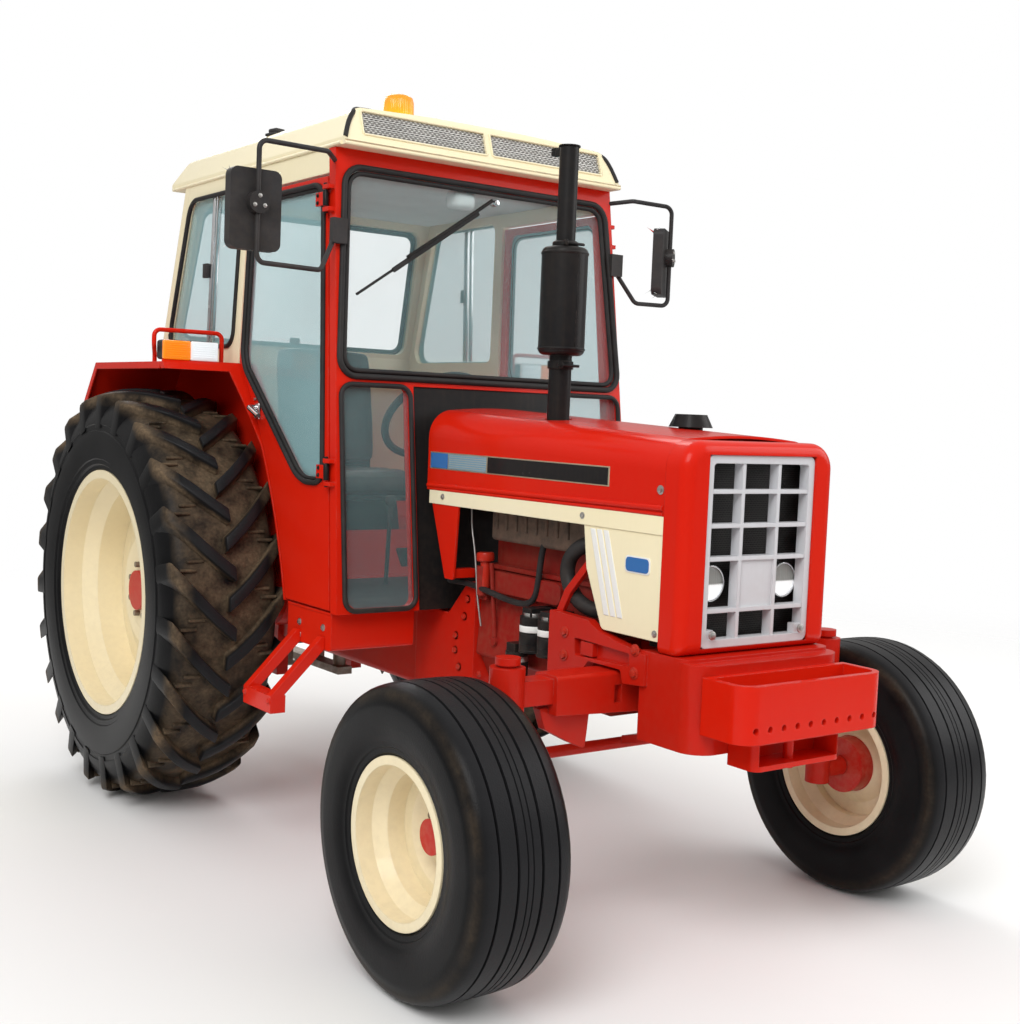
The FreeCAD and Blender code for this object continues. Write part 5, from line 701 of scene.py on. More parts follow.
# Engine. One cast block in oily red paint with a burnt manifold, black filters with painted bands, stiff
# moulded rubber hoses clamped at both ends, the filler neck and the throttle's cable. The left side has
# injector bodies, a starter and a pump, bolted on.
FILTER_ROW = (-0.960, -0.870)
FILTER_X = -0.236
HOSE_X = -0.235
INJECTOR_ROW = (-1.02, -0.865, -0.71, -0.555)
MANIFOLD_RIBS = 9
BOTTOM_HOSE = (
    (-0.160, -1.150, 1.150), (-0.200, -1.110, 1.138), (HOSE_X, -1.075, 1.116), (HOSE_X, -1.037, 1.085),
    (HOSE_X, -1.022, 1.041), (HOSE_X, -1.045, 0.988), (HOSE_X, -1.095, 0.952), (HOSE_X + 0.02, -1.150, 0.935),
    (-0.165, -1.215, 0.955), (-0.152, -1.300, 0.980), (-0.150, -1.372, 0.985),
)
HEATER_HOSE = (
    (-0.188, -0.935, 1.190), (-0.195, -0.912, 1.172), (-0.195, -0.860, 1.118), (-0.195, -0.843, 1.055),
    (-0.195, -0.835, 0.978), (-0.195, -0.820, 0.925), (-0.196, -0.770, 0.903), (-0.200, -0.679, 0.908),
    (-0.205, -0.576, 0.924), (-0.210, -0.479, 0.936), (-0.212, -0.400, 0.934), (-0.200, -0.352, 0.930),
)
THROTTLE_CABLE = (
    (-0.215, -0.488, 1.185), (-0.215, -0.490, 1.124), (-0.215, -0.512, 1.060), (-0.215, -0.528, 0.975),
    (-0.215, -0.536, 0.910), (-0.212, -0.548, 0.850), (-0.205, -0.552, 0.805),
)
FUEL_PIPE = (
    (0.20, -1.02, 0.97), (0.215, -0.90, 1.02), (0.21, -0.75, 1.03), (0.20, -0.55, 1.06), (0.18, -0.40, 1.10),
)


def rough_metal(name, colour, second, metallic, rough, dust=0.6, top=1.4, grain=60.0, bump=0.5):
    """Cast, forged or rusted metal: mottled colour and a coarse skin."""
    material, tree, shader, place = start_material(name)
    mottle = ramp(tree, noise(tree, place, grain * 0.4, 6.0, 0.65), 0.35, 0.7)
    base = blend_colour(tree, mottle, colour, second)
    dirt = place_group(tree, DUST_GROUP, place, Amount=dust, Top=top)
    base = blend_colour(tree, dirt.outputs["Dust"], base, DUST_COLOUR)
    wire(tree, base, shader.inputs["Base Color"])
    shader.inputs["Metallic"].default_value = metallic
    spread = calc(tree, "ADD", calc(tree, "MULTIPLY", mottle, 0.2), rough, clamp=True)
    wire(tree, spread, shader.inputs["Roughness"])
    raise_bump(tree, shader, noise(tree, place, grain * 3, 4.0), bump, 0.001)
    return material


def black_rubber(name, colour, grey, rough, dust, top=1.4, grain=220.0, bump=0.3):
    """Moulded rubber or plastic: a fine grain, greyed by sun, with dust in it."""
    material, tree, shader, place = start_material(name)
    bloom = ramp(tree, noise(tree, place, 9.0, 5.0), 0.35, 0.75)
    base = blend_colour(tree, calc(tree, "MULTIPLY", bloom, 0.7), colour, grey)
    shader.inputs["Specular IOR Level"].default_value = 0.25
    dirt = place_group(tree, DUST_GROUP, place, Amount=dust, Top=top)
    base = blend_colour(tree, dirt.outputs["Dust"], base, DUST_COLOUR)
    wire(tree, base, shader.inputs["Base Color"])
    wire(tree, calc(tree, "ADD", calc(tree, "MULTIPLY", bloom, 0.15), rough), shader.inputs["Roughness"])
    raise_bump(tree, shader, noise(tree, place, grain, 2.0), bump, 0.0006)
    return material


IRON = enamel("oily_engine_paint", (0.34, 0.012, 0.009, 1), (0.14, 0.014, 0.011, 1), dust=0.5, top=1.6,
              rough=0.4, under=(0.06, 0.035, 0.03, 1), edge=0.8, coat=0.1)
MANIFOLD = rough_metal("burnt_manifold_iron", (0.16, 0.10, 0.07, 1), (0.07, 0.055, 0.045, 1), 0.3, 0.6)
BLACK_PAINT = enamel("black_satin_paint", (0.009, 0.009, 0.010, 1), (0.020, 0.020, 0.021, 1), dust=0.25,
                     top=1.2, rough=0.38, coat=0.1)
WHITE = enamel("white_stripe_paint", (0.90, 0.90, 0.87, 1), (0.94, 0.94, 0.92, 1), dust=0.2, top=0.9, edge=0.0)
RUBBER = black_rubber("seal_rubber", (0.014, 0.014, 0.015, 1), (0.035, 0.035, 0.037, 1), 0.5, 0.25)
paint(IRON, "engine")
paint(MANIFOLD, "engine_manifold")
paint(BLACK_PAINT, "engine_fittings")


def bend_tube(name, points, radius, material, body="chassis"):
    """Tube along a smooth line."""
    curve = bpy.data.curves.new(name, "CURVE")
    curve.dimensions = "3D"
    curve.bevel_depth = radius
    curve.bevel_resolution = 4
    curve.use_fill_caps = True
    curve.resolution_u = 8
    spline = curve.splines.new("NURBS")
    spline.points.add(len(points) - 1)
    for knot, place in zip(spline.points, points):
        knot.co = (*place, 1)
    spline.order_u = 3
    spline.use_endpoint_u = True
    curve.materials.append(material)
    piece = bpy.data.objects.new(name, curve)
    scene.collection.objects.link(piece)
    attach(piece, body)
    return piece


def make_hoses():
    bend_tube("bottom_hose", BOTTOM_HOSE, 0.0225, RUBBER)
    bend_tube("heater_hose", HEATER_HOSE, 0.0100, RUBBER)
    bend_tube("throttle_cable", THROTTLE_CABLE, 0.0032, ZINC)
    bend_tube("fuel_pipe_left", FUEL_PIPE, 0.005, ZINC)


make_hoses()


def make_manifold_ribs():
    """Upright cast ribs, each laid on the manifold's face where it is found."""
    bm = bmesh.new()
    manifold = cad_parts["engine_manifold"]
    for k in range(MANIFOLD_RIBS):
        ends = []
        for z in (1.128, 1.182):
            hit, place = manifold.ray_cast((-1.0, -0.985 + 0.052 * k, z), (1, 0, 0))[:2]
            if hit:
                ends.append(place)
        if len(ends) == 2:
            add_rod(bm, ends[0], ends[1], 0.0065, 12, bevel=0.002)
    make_piece("manifold_ribs", bm, MANIFOLD)


make_manifold_ribs()


def make_engine_units():
    bm = bmesh.new()
    add_rod(bm, (-0.195, -0.553, 0.930), (-0.195, -0.548, 1.018), 0.016, 24, bevel=0.002)
    add_rod(bm, (-0.195, -0.548, 1.015), (-0.195, -0.546, 1.045), 0.029, 24, bevel=0.006)
    add_rod(bm, (-0.195, -0.560, 1.030), (-0.195, -0.515, 1.030), 0.014, 20, bevel=0.003)
    make_piece("filler_neck", bm, BARE_RED)
    white, black, silver = bmesh.new(), bmesh.new(), bmesh.new()
    for y in FILTER_ROW:
        for bm, low, high, radius in ((white, 0.838, 0.858, 0.0406), (black, 0.800, 0.832, 0.0406),
                                      (silver, 0.880, 0.896, 0.0300), (black, 0.776, 0.784, 0.0415)):
            add_rod(bm, (FILTER_X, y, low), (FILTER_X, y, high), radius, 32, bevel=0.001)
    add_rod(silver, (-0.232, -0.790, 0.735), (-0.232, -0.790, 0.752), 0.0368, 32, bevel=0.001)
    make_piece("filter_white_bands", white, WHITE)
    make_piece("filter_black_bands", black, BLACK_PAINT)
    make_piece("filter_caps", silver, ZINC)
    bm = bmesh.new()
    for y in INJECTOR_ROW:
        add_rod(bm, (0.14, y, 1.110), (0.212, y, 1.125), 0.020, 20, bevel=0.003)
    add_rod(bm, (0.185, -0.70, 0.93), (0.185, -0.56, 0.93), 0.042, 28, bevel=0.006)
    add_rod(bm, (0.215, -1.045, 0.92), (0.215, -0.90, 0.92), 0.048, 28, bevel=0.006)
    make_piece("left_engine_units", bm, BARE_RED)


make_engine_units()


# Rear linkage. Forged steel arms, rods and links on the painted axle housing, with the top link stowed
# upright between its bracket and a clip on the cab. Cover bolts, two oil couplers and the splined stub of
# the power take-off stand on the housing's rear face.
COVER_Y = 1.105
TOP_LINK_FOOT = Vector((0, 1.145, 0.835))
TOP_LINK_HEAD = Vector((0, 1.238, 1.290))
THREAD_TURNS = 22
SPLINES = 6
SPLINE_CIRCLE = 0.0165
STUB_Z = 0.620

STEEL = rough_metal("worn_steel", (0.30, 0.28, 0.26, 1), (0.16, 0.12, 0.09, 1), 0.75, 0.4)
paint(DARK_RED, "lift_arms")
paint(STEEL, "lift_rods", "lower_links", "drawbar")


def make_top_link():
    bm = bmesh.new()
    for sign, word in SIDES:
        add_block(bm, (sign * 0.030 - 0.006, 1.100, 0.790), (sign * 0.030 + 0.006, 1.165, 0.880), 0.004)
    add_rod(bm, (-0.045, 1.145, 0.835), (0.045, 1.145, 0.835), 0.0095, 20, bevel=0.002)
    make_piece("top_link_bracket", bm, DARK_RED)
    bm = bmesh.new()
    way = (TOP_LINK_HEAD - TOP_LINK_FOOT).normalized()
    half_eye = Vector((0.020, 0, 0))
    for end, inward in ((TOP_LINK_FOOT, way), (TOP_LINK_HEAD, -way)):
        add_rod(bm, end - half_eye, end + half_eye, 0.022, 28, bevel=0.003)
        add_rod(bm, end + inward * 0.018, end + inward * 0.12, 0.0125, 20)
        for k in range(THREAD_TURNS):
            ring = end + inward * (0.040 + 0.0035 * k)
            add_rod(bm, ring, ring + inward * 0.0018, 0.0140, 16)
    add_rod(bm, TOP_LINK_FOOT + way * 0.115, TOP_LINK_HEAD - way * 0.115, 0.0190, 28, bevel=0.003)
    add_rod(bm, TOP_LINK_FOOT + way * 0.215, TOP_LINK_FOOT + way * 0.235, 0.0240, 6, bevel=0.002)
    make_piece("stowed_top_link", bm, STEEL)


make_top_link()


def make_housing_fittings():
    bm = bmesh.new()
    for x, heights, radius, height in ((0.160, (0.585, 0.665, 0.745, 0.910), 0.0095, 0.009),
                                       (0.055, (0.575, 0.660), 0.0080, 0.008)):
        for sign, word in SIDES:
            for z in heights:
                add_bolt(bm, (sign * x, COVER_Y, z), (0, 1, 0), radius, height)
    make_piece("rear_cover_bolts", bm, DARK_RED)
    bm = bmesh.new()
    for x in (-0.115, -0.065):
        add_rod(bm, (x, 1.100, 0.850), (x, 1.128, 0.850), 0.0165, 6, bevel=0.002)
        add_rod(bm, (x, 1.126, 0.850), (x, 1.150, 0.850), 0.0130, 24, bevel=0.002)
        add_rod(bm, (x, 1.148, 0.850), (x, 1.158, 0.850), 0.0160, 24, bevel=0.003)
    make_piece("oil_couplers", bm, ZINC)
    bm = bmesh.new()
    for k in range(SPLINES):
        turn = 2 * math.pi / SPLINES * k
        place = Vector((SPLINE_CIRCLE * math.cos(turn), 0, STUB_Z + SPLINE_CIRCLE * math.sin(turn)))
        add_rod(bm, place + Vector((0, 1.118, 0)), place + Vector((0, 1.181, 0)), 0.0030, 8, bevel=0.0006)
    make_piece("pto_splines", bm, STEEL)


make_housing_fittings()


# Bonnet. Pressed sheet in bright red, with a rolled bead along each side and cream panels bolted on below.
# A long plain black plate, ending in a grey and a blue field, is stuck to each side, and the cream panel
# carries three white stripes and a plain blue badge.
BONNET_X = 0.280
BEAD_LINE = ((-0.322, 1.249), (-0.336, 1.249), (-0.70, 1.2535), (-1.10, 1.258), (-1.46, 1.262), (-1.477, 1.262))
LOWER_BEAD_LINE = ((-0.322, 1.238), (-0.336, 1.238), (-0.70, 1.2405), (-1.10, 1.243), (-1.46, 1.2455),
                   (-1.477, 1.2455))
PLATE_REAR_Y = -0.330
PLATE_FRONT_Y = -1.262
PLATE_LOW_Z = 1.3080
PLATE_HIGH_Z = 1.3570
GREY_RIBS = 7
STRIPE_TOPS = (-1.179, -1.208, -1.237)
STRIPE_LOW_Z = 0.947
STRIPE_HIGH_Z = 1.183
STRIPE_LEAN = -0.0755

RED = enamel("red_enamel", (0.66, 0.012, 0.003, 1), (0.72, 0.022, 0.005, 1), dust=0.10, top=0.9, rough=0.22,
             coat=0.16)
CREAM = enamel("cream_enamel", (0.96, 0.86, 0.58, 1), (0.96, 0.88, 0.66, 1), dust=0.12, top=0.9, rough=0.3,
               coat=0.25)
BRASS = bright_metal("pale_decal_edge", (0.78, 0.68, 0.48, 1), 0.35)

BLUE = enamel("blue_block_paint", (0.035, 0.15, 0.42, 1), (0.05, 0.19, 0.48, 1), dust=0.15, top=0.9, edge=0.0)
SLATE = enamel("grey_blue_decal", (0.22, 0.36, 0.45, 1), (0.30, 0.44, 0.52, 1), dust=0.15, top=0.9, edge=0.0)
DECAL_BLACK = enamel("black_decal", (0.012, 0.011, 0.012, 1), (0.02, 0.02, 0.02, 1), dust=0.2, top=0.9,
                     edge=0.0)
paint(RED, "hood", "nose_cowl", "side_gussets")
paint(CREAM, "side_trims")


def make_bonnet_beads():
    for sign, word in SIDES:
        x = sign * BONNET_X
        bend_tube(f"bonnet_bead_{word}", [(x, y, z) for y, z in BEAD_LINE], 0.0085, RED)
        bend_tube(f"bonnet_bead_lower_{word}", [(x, y, z) for y, z in LOWER_BEAD_LINE], 0.0055, RED)
        bm = bmesh.new()
        add_bolt(bm, (x, -1.464, 1.310), (sign, 0, 0), 0.0085, 0.008)
        for y in (-0.417, -1.144):
            add_bolt(bm, (sign * 0.283, y, 1.2155), (sign, 0, 0), 0.0065, 0.006)
        add_bolt(bm, (x, -1.466, 0.925), (sign, 0, 0), 0.0065, 0.006)
        make_piece(f"bonnet_bolts_{word}", bm, ZINC)


make_bonnet_beads()


def make_side_plates():
    """The long plate: a pale edge, a black field pointed in front, a ribbed grey field and a blue end."""
    middle_z = (PLATE_LOW_Z + PLATE_HIGH_Z) / 2
    for sign, word in SIDES:
        x = sign * BONNET_X
        edge = bmesh.new()
        add_block(edge, (x - 0.0015, PLATE_FRONT_Y, PLATE_LOW_Z - 0.0035),
                  (x + 0.0015, PLATE_REAR_Y, PLATE_HIGH_Z + 0.0035), 0.0006, 1)
        fields = []
        for front, rear in ((-1.255, -0.662), (-0.655, -0.440), (-0.436, -0.335)):
            bm = bmesh.new()
            add_block(bm, (x - 0.0022, front, PLATE_LOW_Z), (x + 0.0022, rear, PLATE_HIGH_Z), 0.0006, 1)
            fields.append(bm)
        plate, grey, blue = fields
        for bm in (edge, plate):
            for vertex in bm.verts:
                if vertex.co.y < -1.2:
                    vertex.co.y += 0.010 * abs(vertex.co.z - middle_z) / 0.028
        for k in range(GREY_RIBS):
            z = PLATE_LOW_Z + 0.0035 + 0.007 * k
            add_block(edge, (x - 0.0026, -0.655, z), (x + 0.0026, -0.440, z + 0.0014), 0, 1)
        make_piece(f"bonnet_plate_edge_{word}", edge, BRASS)
        make_piece(f"bonnet_plate_{word}", plate, DECAL_BLACK)
        make_piece(f"bonnet_plate_grey_{word}", grey, SLATE)
        make_piece(f"bonnet_plate_blue_{word}", blue, BLUE)


make_side_plates()


def make_cream_panel_marks():
    for sign, word in SIDES:
        x = sign * BONNET_X
        bm = bmesh.new()
        for top_y in STRIPE_TOPS:
            stripe = bmesh.new()
            add_block(stripe, (x - 0.0018, top_y - 0.021, STRIPE_LOW_Z), (x + 0.0018, top_y, STRIPE_HIGH_Z),
                      0.0006, 1)
            for vertex in stripe.verts:
                fall = (STRIPE_HIGH_Z - vertex.co.z) / (STRIPE_HIGH_Z - STRIPE_LOW_Z)
                vertex.co.y += STRIPE_LEAN * fall
            join_shape(bm, stripe)
        make_piece(f"side_stripes_{word}", bm, WHITE)
        for name, low, high, out, finish in (("rim", (-1.4375, 1.0775), (-1.3355, 1.1245), 0.0022, WHITE),
                                             ("face", (-1.4335, 1.0815), (-1.3395, 1.1205), 0.0030, BLUE)):
            bm = bmesh.new()
            add_block(bm, (x - out, low[0], low[1]), (x + out, high[0], high[1]), 0, 1)
            corners = [edge for edge in bm.edges if abs(edge.verts[0].co.x - edge.verts[1].co.x) > out]
            bmesh.ops.bevel(bm, geom=corners, offset=0.012, segments=4, profile=0.5, affect="EDGES",
                            material=-1)
            make_piece(f"side_badge_{name}_{word}", bm, finish)


make_cream_panel_marks()


# Nose. A cast grille in silver paint, held by a bolt at each lower corner, with the woven screen of the
# radiator behind it. Each headlamp is a chrome bezel round a fluted glass, set in the grille's openings.
LAMP_X = 0.140
LAMP_FACE_Y = -1.5267
LAMP_Z = 1.0625
SCREEN_PITCH = 0.0060

SILVER = enamel("silver_grille_paint", (0.62, 0.63, 0.66, 1), (0.72, 0.72, 0.74, 1), dust=0.25, top=1.2,
                rough=0.3, edge=0.1, coat=0.2)
CHROME = bright_metal("bright_chrome", (0.82, 0.83, 0.85, 1), 0.08)
paint(SILVER, "grille")


def woven_mesh(name, pitch_across, pitch_up, wire_colour, hole_shade_colour, hole_share):
    """Expanded metal: rows of oblong holes, each row shifted by half a hole, the holes in painted shade."""
    material, tree, shader, place = start_material(name)
    split = tree.nodes.new("ShaderNodeSeparateXYZ")
    wire(tree, place, split.inputs[0])
    row = calc(tree, "DIVIDE", split.outputs["Z"], pitch_up)
    shifted = calc(tree, "MULTIPLY", calc(tree, "FLOOR", row), 0.5)
    column = calc(tree, "ADD", calc(tree, "DIVIDE", split.outputs["X"], pitch_across), shifted)
    across = calc(tree, "ABSOLUTE", calc(tree, "SUBTRACT", calc(tree, "FRACT", column), 0.5))
    up = calc(tree, "ABSOLUTE", calc(tree, "SUBTRACT", calc(tree, "FRACT", row), 0.5))
    far = calc(tree, "MAXIMUM", across, up)
    hole = ramp(tree, far, hole_share + 0.03, hole_share - 0.03)
    mottle = ramp(tree, noise(tree, place, 14.0, 4.0), 0.3, 0.7)
    metal = blend_colour(tree, mottle, wire_colour, tuple(0.82 * part for part in wire_colour[:3]) + (1,))
    # Painted shade: the holes get one dark colour for the shaded space seen through them.
    wire(tree, blend_colour(tree, hole, metal, hole_shade_colour), shader.inputs["Base Color"])
    shader.inputs["Roughness"].default_value = 0.45
    shader.inputs["Metallic"].default_value = 0.3
    raise_bump(tree, shader, calc(tree, "SUBTRACT", 1.0, hole), 0.8, 0.002)
    return material


# Painted shade: the radiator screen's holes are near black.
SCREEN_MESH = woven_mesh("radiator_screen", SCREEN_PITCH, SCREEN_PITCH, (0.045, 0.042, 0.04, 1),
                         (0.008, 0.008, 0.008, 1), 0.34)
paint(SCREEN_MESH, "radiator")


def fluted_lens(name):
    """Pressed glass, fine upright flutes. Painted light: bright glowing lower half, darker top, shaded flutes.
    """
    material, tree, shader, place = start_material(name)
    split = tree.nodes.new("ShaderNodeSeparateXYZ")
    wire(tree, place, split.inputs[0])
    flutes = calc(tree, "SINE", calc(tree, "MULTIPLY", split.outputs["X"], 900.0))
    blocks = calc(tree, "SINE", calc(tree, "MULTIPLY", split.outputs["Z"], 420.0))
    # Painted light: the lens is painted bright below its middle and darker above.
    lower = ramp(tree, split.outputs["Z"], LAMP_Z - 0.0005, LAMP_Z - 0.0065)
    painted_light_tone = blend_colour(tree, lower, (0.34, 0.35, 0.33, 1), (0.95, 0.96, 0.97, 1))
    # Painted shade: dark streaks along the flutes.
    streak = ramp(tree, flutes, -0.6, 0.8)
    wire(tree, blend_colour(tree, calc(tree, "MULTIPLY", streak, 0.3), painted_light_tone, (0.30, 0.32, 0.30, 1)),
         shader.inputs["Base Color"])
    shader.inputs["Roughness"].default_value = 0.08
    shader.inputs["Coat Weight"].default_value = 0.6
    # Painted light: the lower half is given a glow.
    wire(tree, blend_colour(tree, lower, (0, 0, 0, 1), (0.45, 0.45, 0.45, 1)), shader.inputs["Emission Color"])
    shader.inputs["Emission Strength"].default_value = 1.0
    raise_bump(tree, shader, calc(tree, "ADD", flutes, calc(tree, "MULTIPLY", blocks, 0.4)), 0.4, 0.0012)
    return material


FLUTED = fluted_lens("fluted_headlamp_glass")


def make_headlamps():
    lens, bezel = bmesh.new(), bmesh.new()
    for sign, word in SIDES:
        centre = (sign * LAMP_X, LAMP_FACE_Y, LAMP_Z)
        add_turned(lens, [(0.0275, 0.0), (0.0270, 0.022), (0.020, 0.044), (0.010, 0.0462), (0.0060, 0.0455),
                          (0.0030, 0.036), (0.0012, 0.018), (0.0006, 0.0)], centre, (0, 1, 0), 40)
        add_turned(bezel, [(0.0005, 0.0452), (-0.0001, 0.0472), (0.0004, 0.0488), (0.010, 0.0490),
                           (0.018, 0.0485), (0.018, 0.0462), (0.009, 0.0462), (0.004, 0.0458), (0.0005, 0.0452)],
                   centre, (0, 1, 0), 40)
    piece = make_piece("headlamp_lenses", lens, FLUTED)
    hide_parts("headlamps")
    make_piece("headlamp_bezels", bezel, CHROME)


make_headlamps()


def make_grille_bolts():
    bm = bmesh.new()
    for x in (-0.170, 0.170):
        add_rod(bm, (x, -1.568, 0.930), (x, -1.5745, 0.930), 0.0125, 24, bevel=0.003)
        add_rod(bm, (x, -1.574, 0.930), (x, -1.5775, 0.930), 0.0065, 6, bevel=0.001)
    make_piece("grille_bolts", bm, ZINC)


make_grille_bolts()


# Exhaust and caps. A rolled steel muffler on its pipe, in black heat paint, with weld seams, a folded long
# seam and two bolted clamps. The rain cap hinges on top, and the intake's cap stands on the bonnet.
STACK_CENTRE = Vector((-0.130, -0.815, 0.0))
MUFFLER_RADIUS = 0.0710
MUFFLER_ENDS = (1.699, 1.989)
PIPE_RADIUS = 0.036
CLAMP_Z = (1.648, 2.016)

paint(BLACK_PAINT, "exhaust_stack", "rain_cap", "intake_cap")


def make_stack_details():
    bm = bmesh.new()
    for z in MUFFLER_ENDS:
        add_turned(bm, [(z - 0.005, MUFFLER_RADIUS), (z - 0.002, MUFFLER_RADIUS + 0.0028),
                        (z + 0.002, MUFFLER_RADIUS + 0.0028), (z + 0.005, MUFFLER_RADIUS)],
                   STACK_CENTRE, (0, 0, 1), 48)
    z = CLAMP_Z[1]
    add_turned(bm, [(z - 0.010, PIPE_RADIUS), (z - 0.006, PIPE_RADIUS + 0.0045),
                    (z + 0.006, PIPE_RADIUS + 0.0045), (z + 0.010, PIPE_RADIUS)], STACK_CENTRE, (0, 0, 1), 40)
    add_block(bm, (-0.1345, -0.8875, 1.700), (-0.1255, -0.8850, 1.988), 0.0008, 1)
    for z in CLAMP_Z:
        add_rod(bm, (-0.165, -0.862, z), (-0.095, -0.862, z), 0.0045, 16, bevel=0.0008)
        add_bolt(bm, (-0.165, -0.862, z), (-1, 0, 0), 0.0075, 0.007)
    make_piece("stack_seams_and_clamps", bm, BLACK_PAINT)


make_stack_details()


# Tray and steps. Welded plate in bright red: the weight tray hangs on the front frame, and each step hangs
# on two bars under the cab's sill, with grip ribs across its tread and a bolt at each end of a bar.
STEP_X = 0.774
STEP_RIBS = 11
STEP_BARS_Y = (-0.238, -0.066)

paint(RED, "weight_tray", "steps")


def make_step_grips():
    for sign, word in SIDES:
        bm = bmesh.new()
        for k in range(STEP_RIBS):
            y = -0.245 + 0.0186 * k
            x = sign * STEP_X
            add_block(bm, (x - 0.022, y, 0.5665), (x + 0.022, y + 0.007, 0.5705), 0.001, 1)
        for y in STEP_BARS_Y:
            add_bolt(bm, (sign * 0.625, y, 0.730), (sign, 0, 0), 0.009, 0.008)
            add_bolt(bm, (sign * 0.800, y, 0.550), (sign, 0, 0), 0.008, 0.007)
        make_piece(f"step_grips_{word}", bm, RED)


make_step_grips()


# Cab. A welded frame and front in bright red and sides and rear in cream, with a black firewall and flat
# tinted panes. Each pane sits in a black rubber ring; the windscreen, the rear window and the doors have a
# second, thinner one. The quarter window slides behind a bright rail and has a black catch.
SCREEN_CORNERS = ((-0.583, 1.600), (0.583, 1.600), (0.542, 2.274), (-0.542, 2.274))
LOW_PANE = ((0.322, 0.842), (0.586, 0.842), (0.580, 1.568), (0.322, 1.568))
DOOR_PANE = ((-0.195, 1.245), (-0.095, 2.219), (0.442, 2.219), (0.456, 1.641), (-0.035, 1.245))
QUARTER_PANE = ((0.555, 1.705), (0.530, 2.274), (1.005, 2.274), (1.155, 1.760), (1.135, 1.705))
REAR_CORNERS = ((-0.535, 1.740), (0.535, 1.740), (0.505, 2.274), (-0.505, 2.274))
CATCH_Z = 2.0


def tinted_glass(name):
    """Tempered glass, faintly blue-green: clear from the front, mirroring at a slant, with dried drops."""
    material, tree, shader, place = start_material(name)
    shader.inputs["Base Color"].default_value = (0.50, 0.80, 0.84, 1)
    shader.inputs["Roughness"].default_value = 0.03
    shader.inputs["IOR"].default_value = 1.45
    shader.inputs["Metallic"].default_value = 0.0
    shader.inputs["Transmission Weight"].default_value = 0.0
    facing = tree.nodes.new("ShaderNodeLayerWeight")
    facing.inputs["Blend"].default_value = 0.25
    drops = tree.nodes.new("ShaderNodeTexVoronoi")
    drops.inputs["Scale"].default_value = 70.0
    wire(tree, place, drops.inputs["Vector"])
    spots = calc(tree, "MULTIPLY", ramp(tree, drops.outputs["Distance"], 0.16, 0.08),
                 ramp(tree, noise(tree, place, 6.0, 3.0), 0.5, 0.75))
    veil = ramp(tree, noise(tree, place, 2.2, 3.0), 0.3, 0.8)
    alpha = calc(tree, "ADD", calc(tree, "MULTIPLY", facing.outputs["Fresnel"], 0.5), 0.055)
    alpha = calc(tree, "ADD", alpha, calc(tree, "MULTIPLY", veil, 0.04))
    alpha = calc(tree, "ADD", alpha, calc(tree, "MULTIPLY", spots, 0.25), clamp=True)
    wire(tree, alpha, shader.inputs["Alpha"])
    return material


GLASS = tinted_glass("tinted_glass")
PLASTIC = black_rubber("moulded_plastic", (0.02, 0.02, 0.022, 1), (0.05, 0.05, 0.053, 1), 0.42, 0.2, top=3.0)
paint(RED, "cab_front", "cab_floor", "fenders", "lamp_guards")
paint(CREAM, "cab_rear", "cab_sides")
paint(BLACK_PAINT, "firewall")
paint(GLASS, "cab_glass", "door_glass_left", "door_glass_right")


def front_y(z):
    """Front face of the cab at a height."""
    return -0.335 + (z - 0.830) / 1.505 * 0.177


def side_x(z):
    """Side face of the cab at a height, on the left."""
    return 0.618 - (z - 0.830) / 1.505 * 0.040


def rear_y(z):
    """Rear face of the cab above its waist."""
    return 1.240 - (z - 1.720) / (2.335 - 1.720) * 0.170


def on_front(points, out=0.004):
    """Points of the cab's front face, a little proud of it."""
    return [(x, front_y(z) - out, z) for x, z in points]


def on_side(points, sign, out=0.003):
    """Points of one of the cab's side faces, a little proud of it."""
    return [(sign * (side_x(z) + out), y, z) for y, z in points]


def pane_ring(name, corners, corner_radius, radius, material, body="chassis", inset=0.0, shift=(0, 0, 0)):
    """Rubber ring round a pane: a straight run to each rounded corner. inset draws it in, shift moves it."""
    corners = [Vector(corner) for corner in corners]
    count = len(corners)
    drawn = []
    for i, corner in enumerate(corners):
        back = (corners[i - 1] - corner).normalized()
        ahead = (corners[(i + 1) % count] - corner).normalized()
        drawn.append(corner + (back + ahead) * inset / back.cross(ahead).length + Vector(shift))
    curve = bpy.data.curves.new(name, "CURVE")
    curve.dimensions = "3D"
    curve.bevel_depth = radius
    curve.bevel_resolution = 3
    curve.resolution_u = 6
    spline = curve.splines.new("BEZIER")
    spline.bezier_points.add(2 * count - 1)
    for i, corner in enumerate(drawn):
        back = (drawn[i - 1] - corner).normalized()
        ahead = (drawn[(i + 1) % count] - corner).normalized()
        for k, (way, other) in enumerate(((back, 0), (ahead, 1))):
            knot = spline.bezier_points[2 * i + k]
            knot.handle_left_type = knot.handle_right_type = "FREE"
            knot.co = corner + way * corner_radius
            inner = corner + way * corner_radius * 0.45
            outer = corner + way * corner_radius * 1.3
            knot.handle_left, knot.handle_right = (outer, inner) if other == 0 else (inner, outer)
    spline.use_cyclic_u = True
    curve.materials.append(material)
    piece = bpy.data.objects.new(name, curve)
    scene.collection.objects.link(piece)
    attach(piece, body)
    return piece


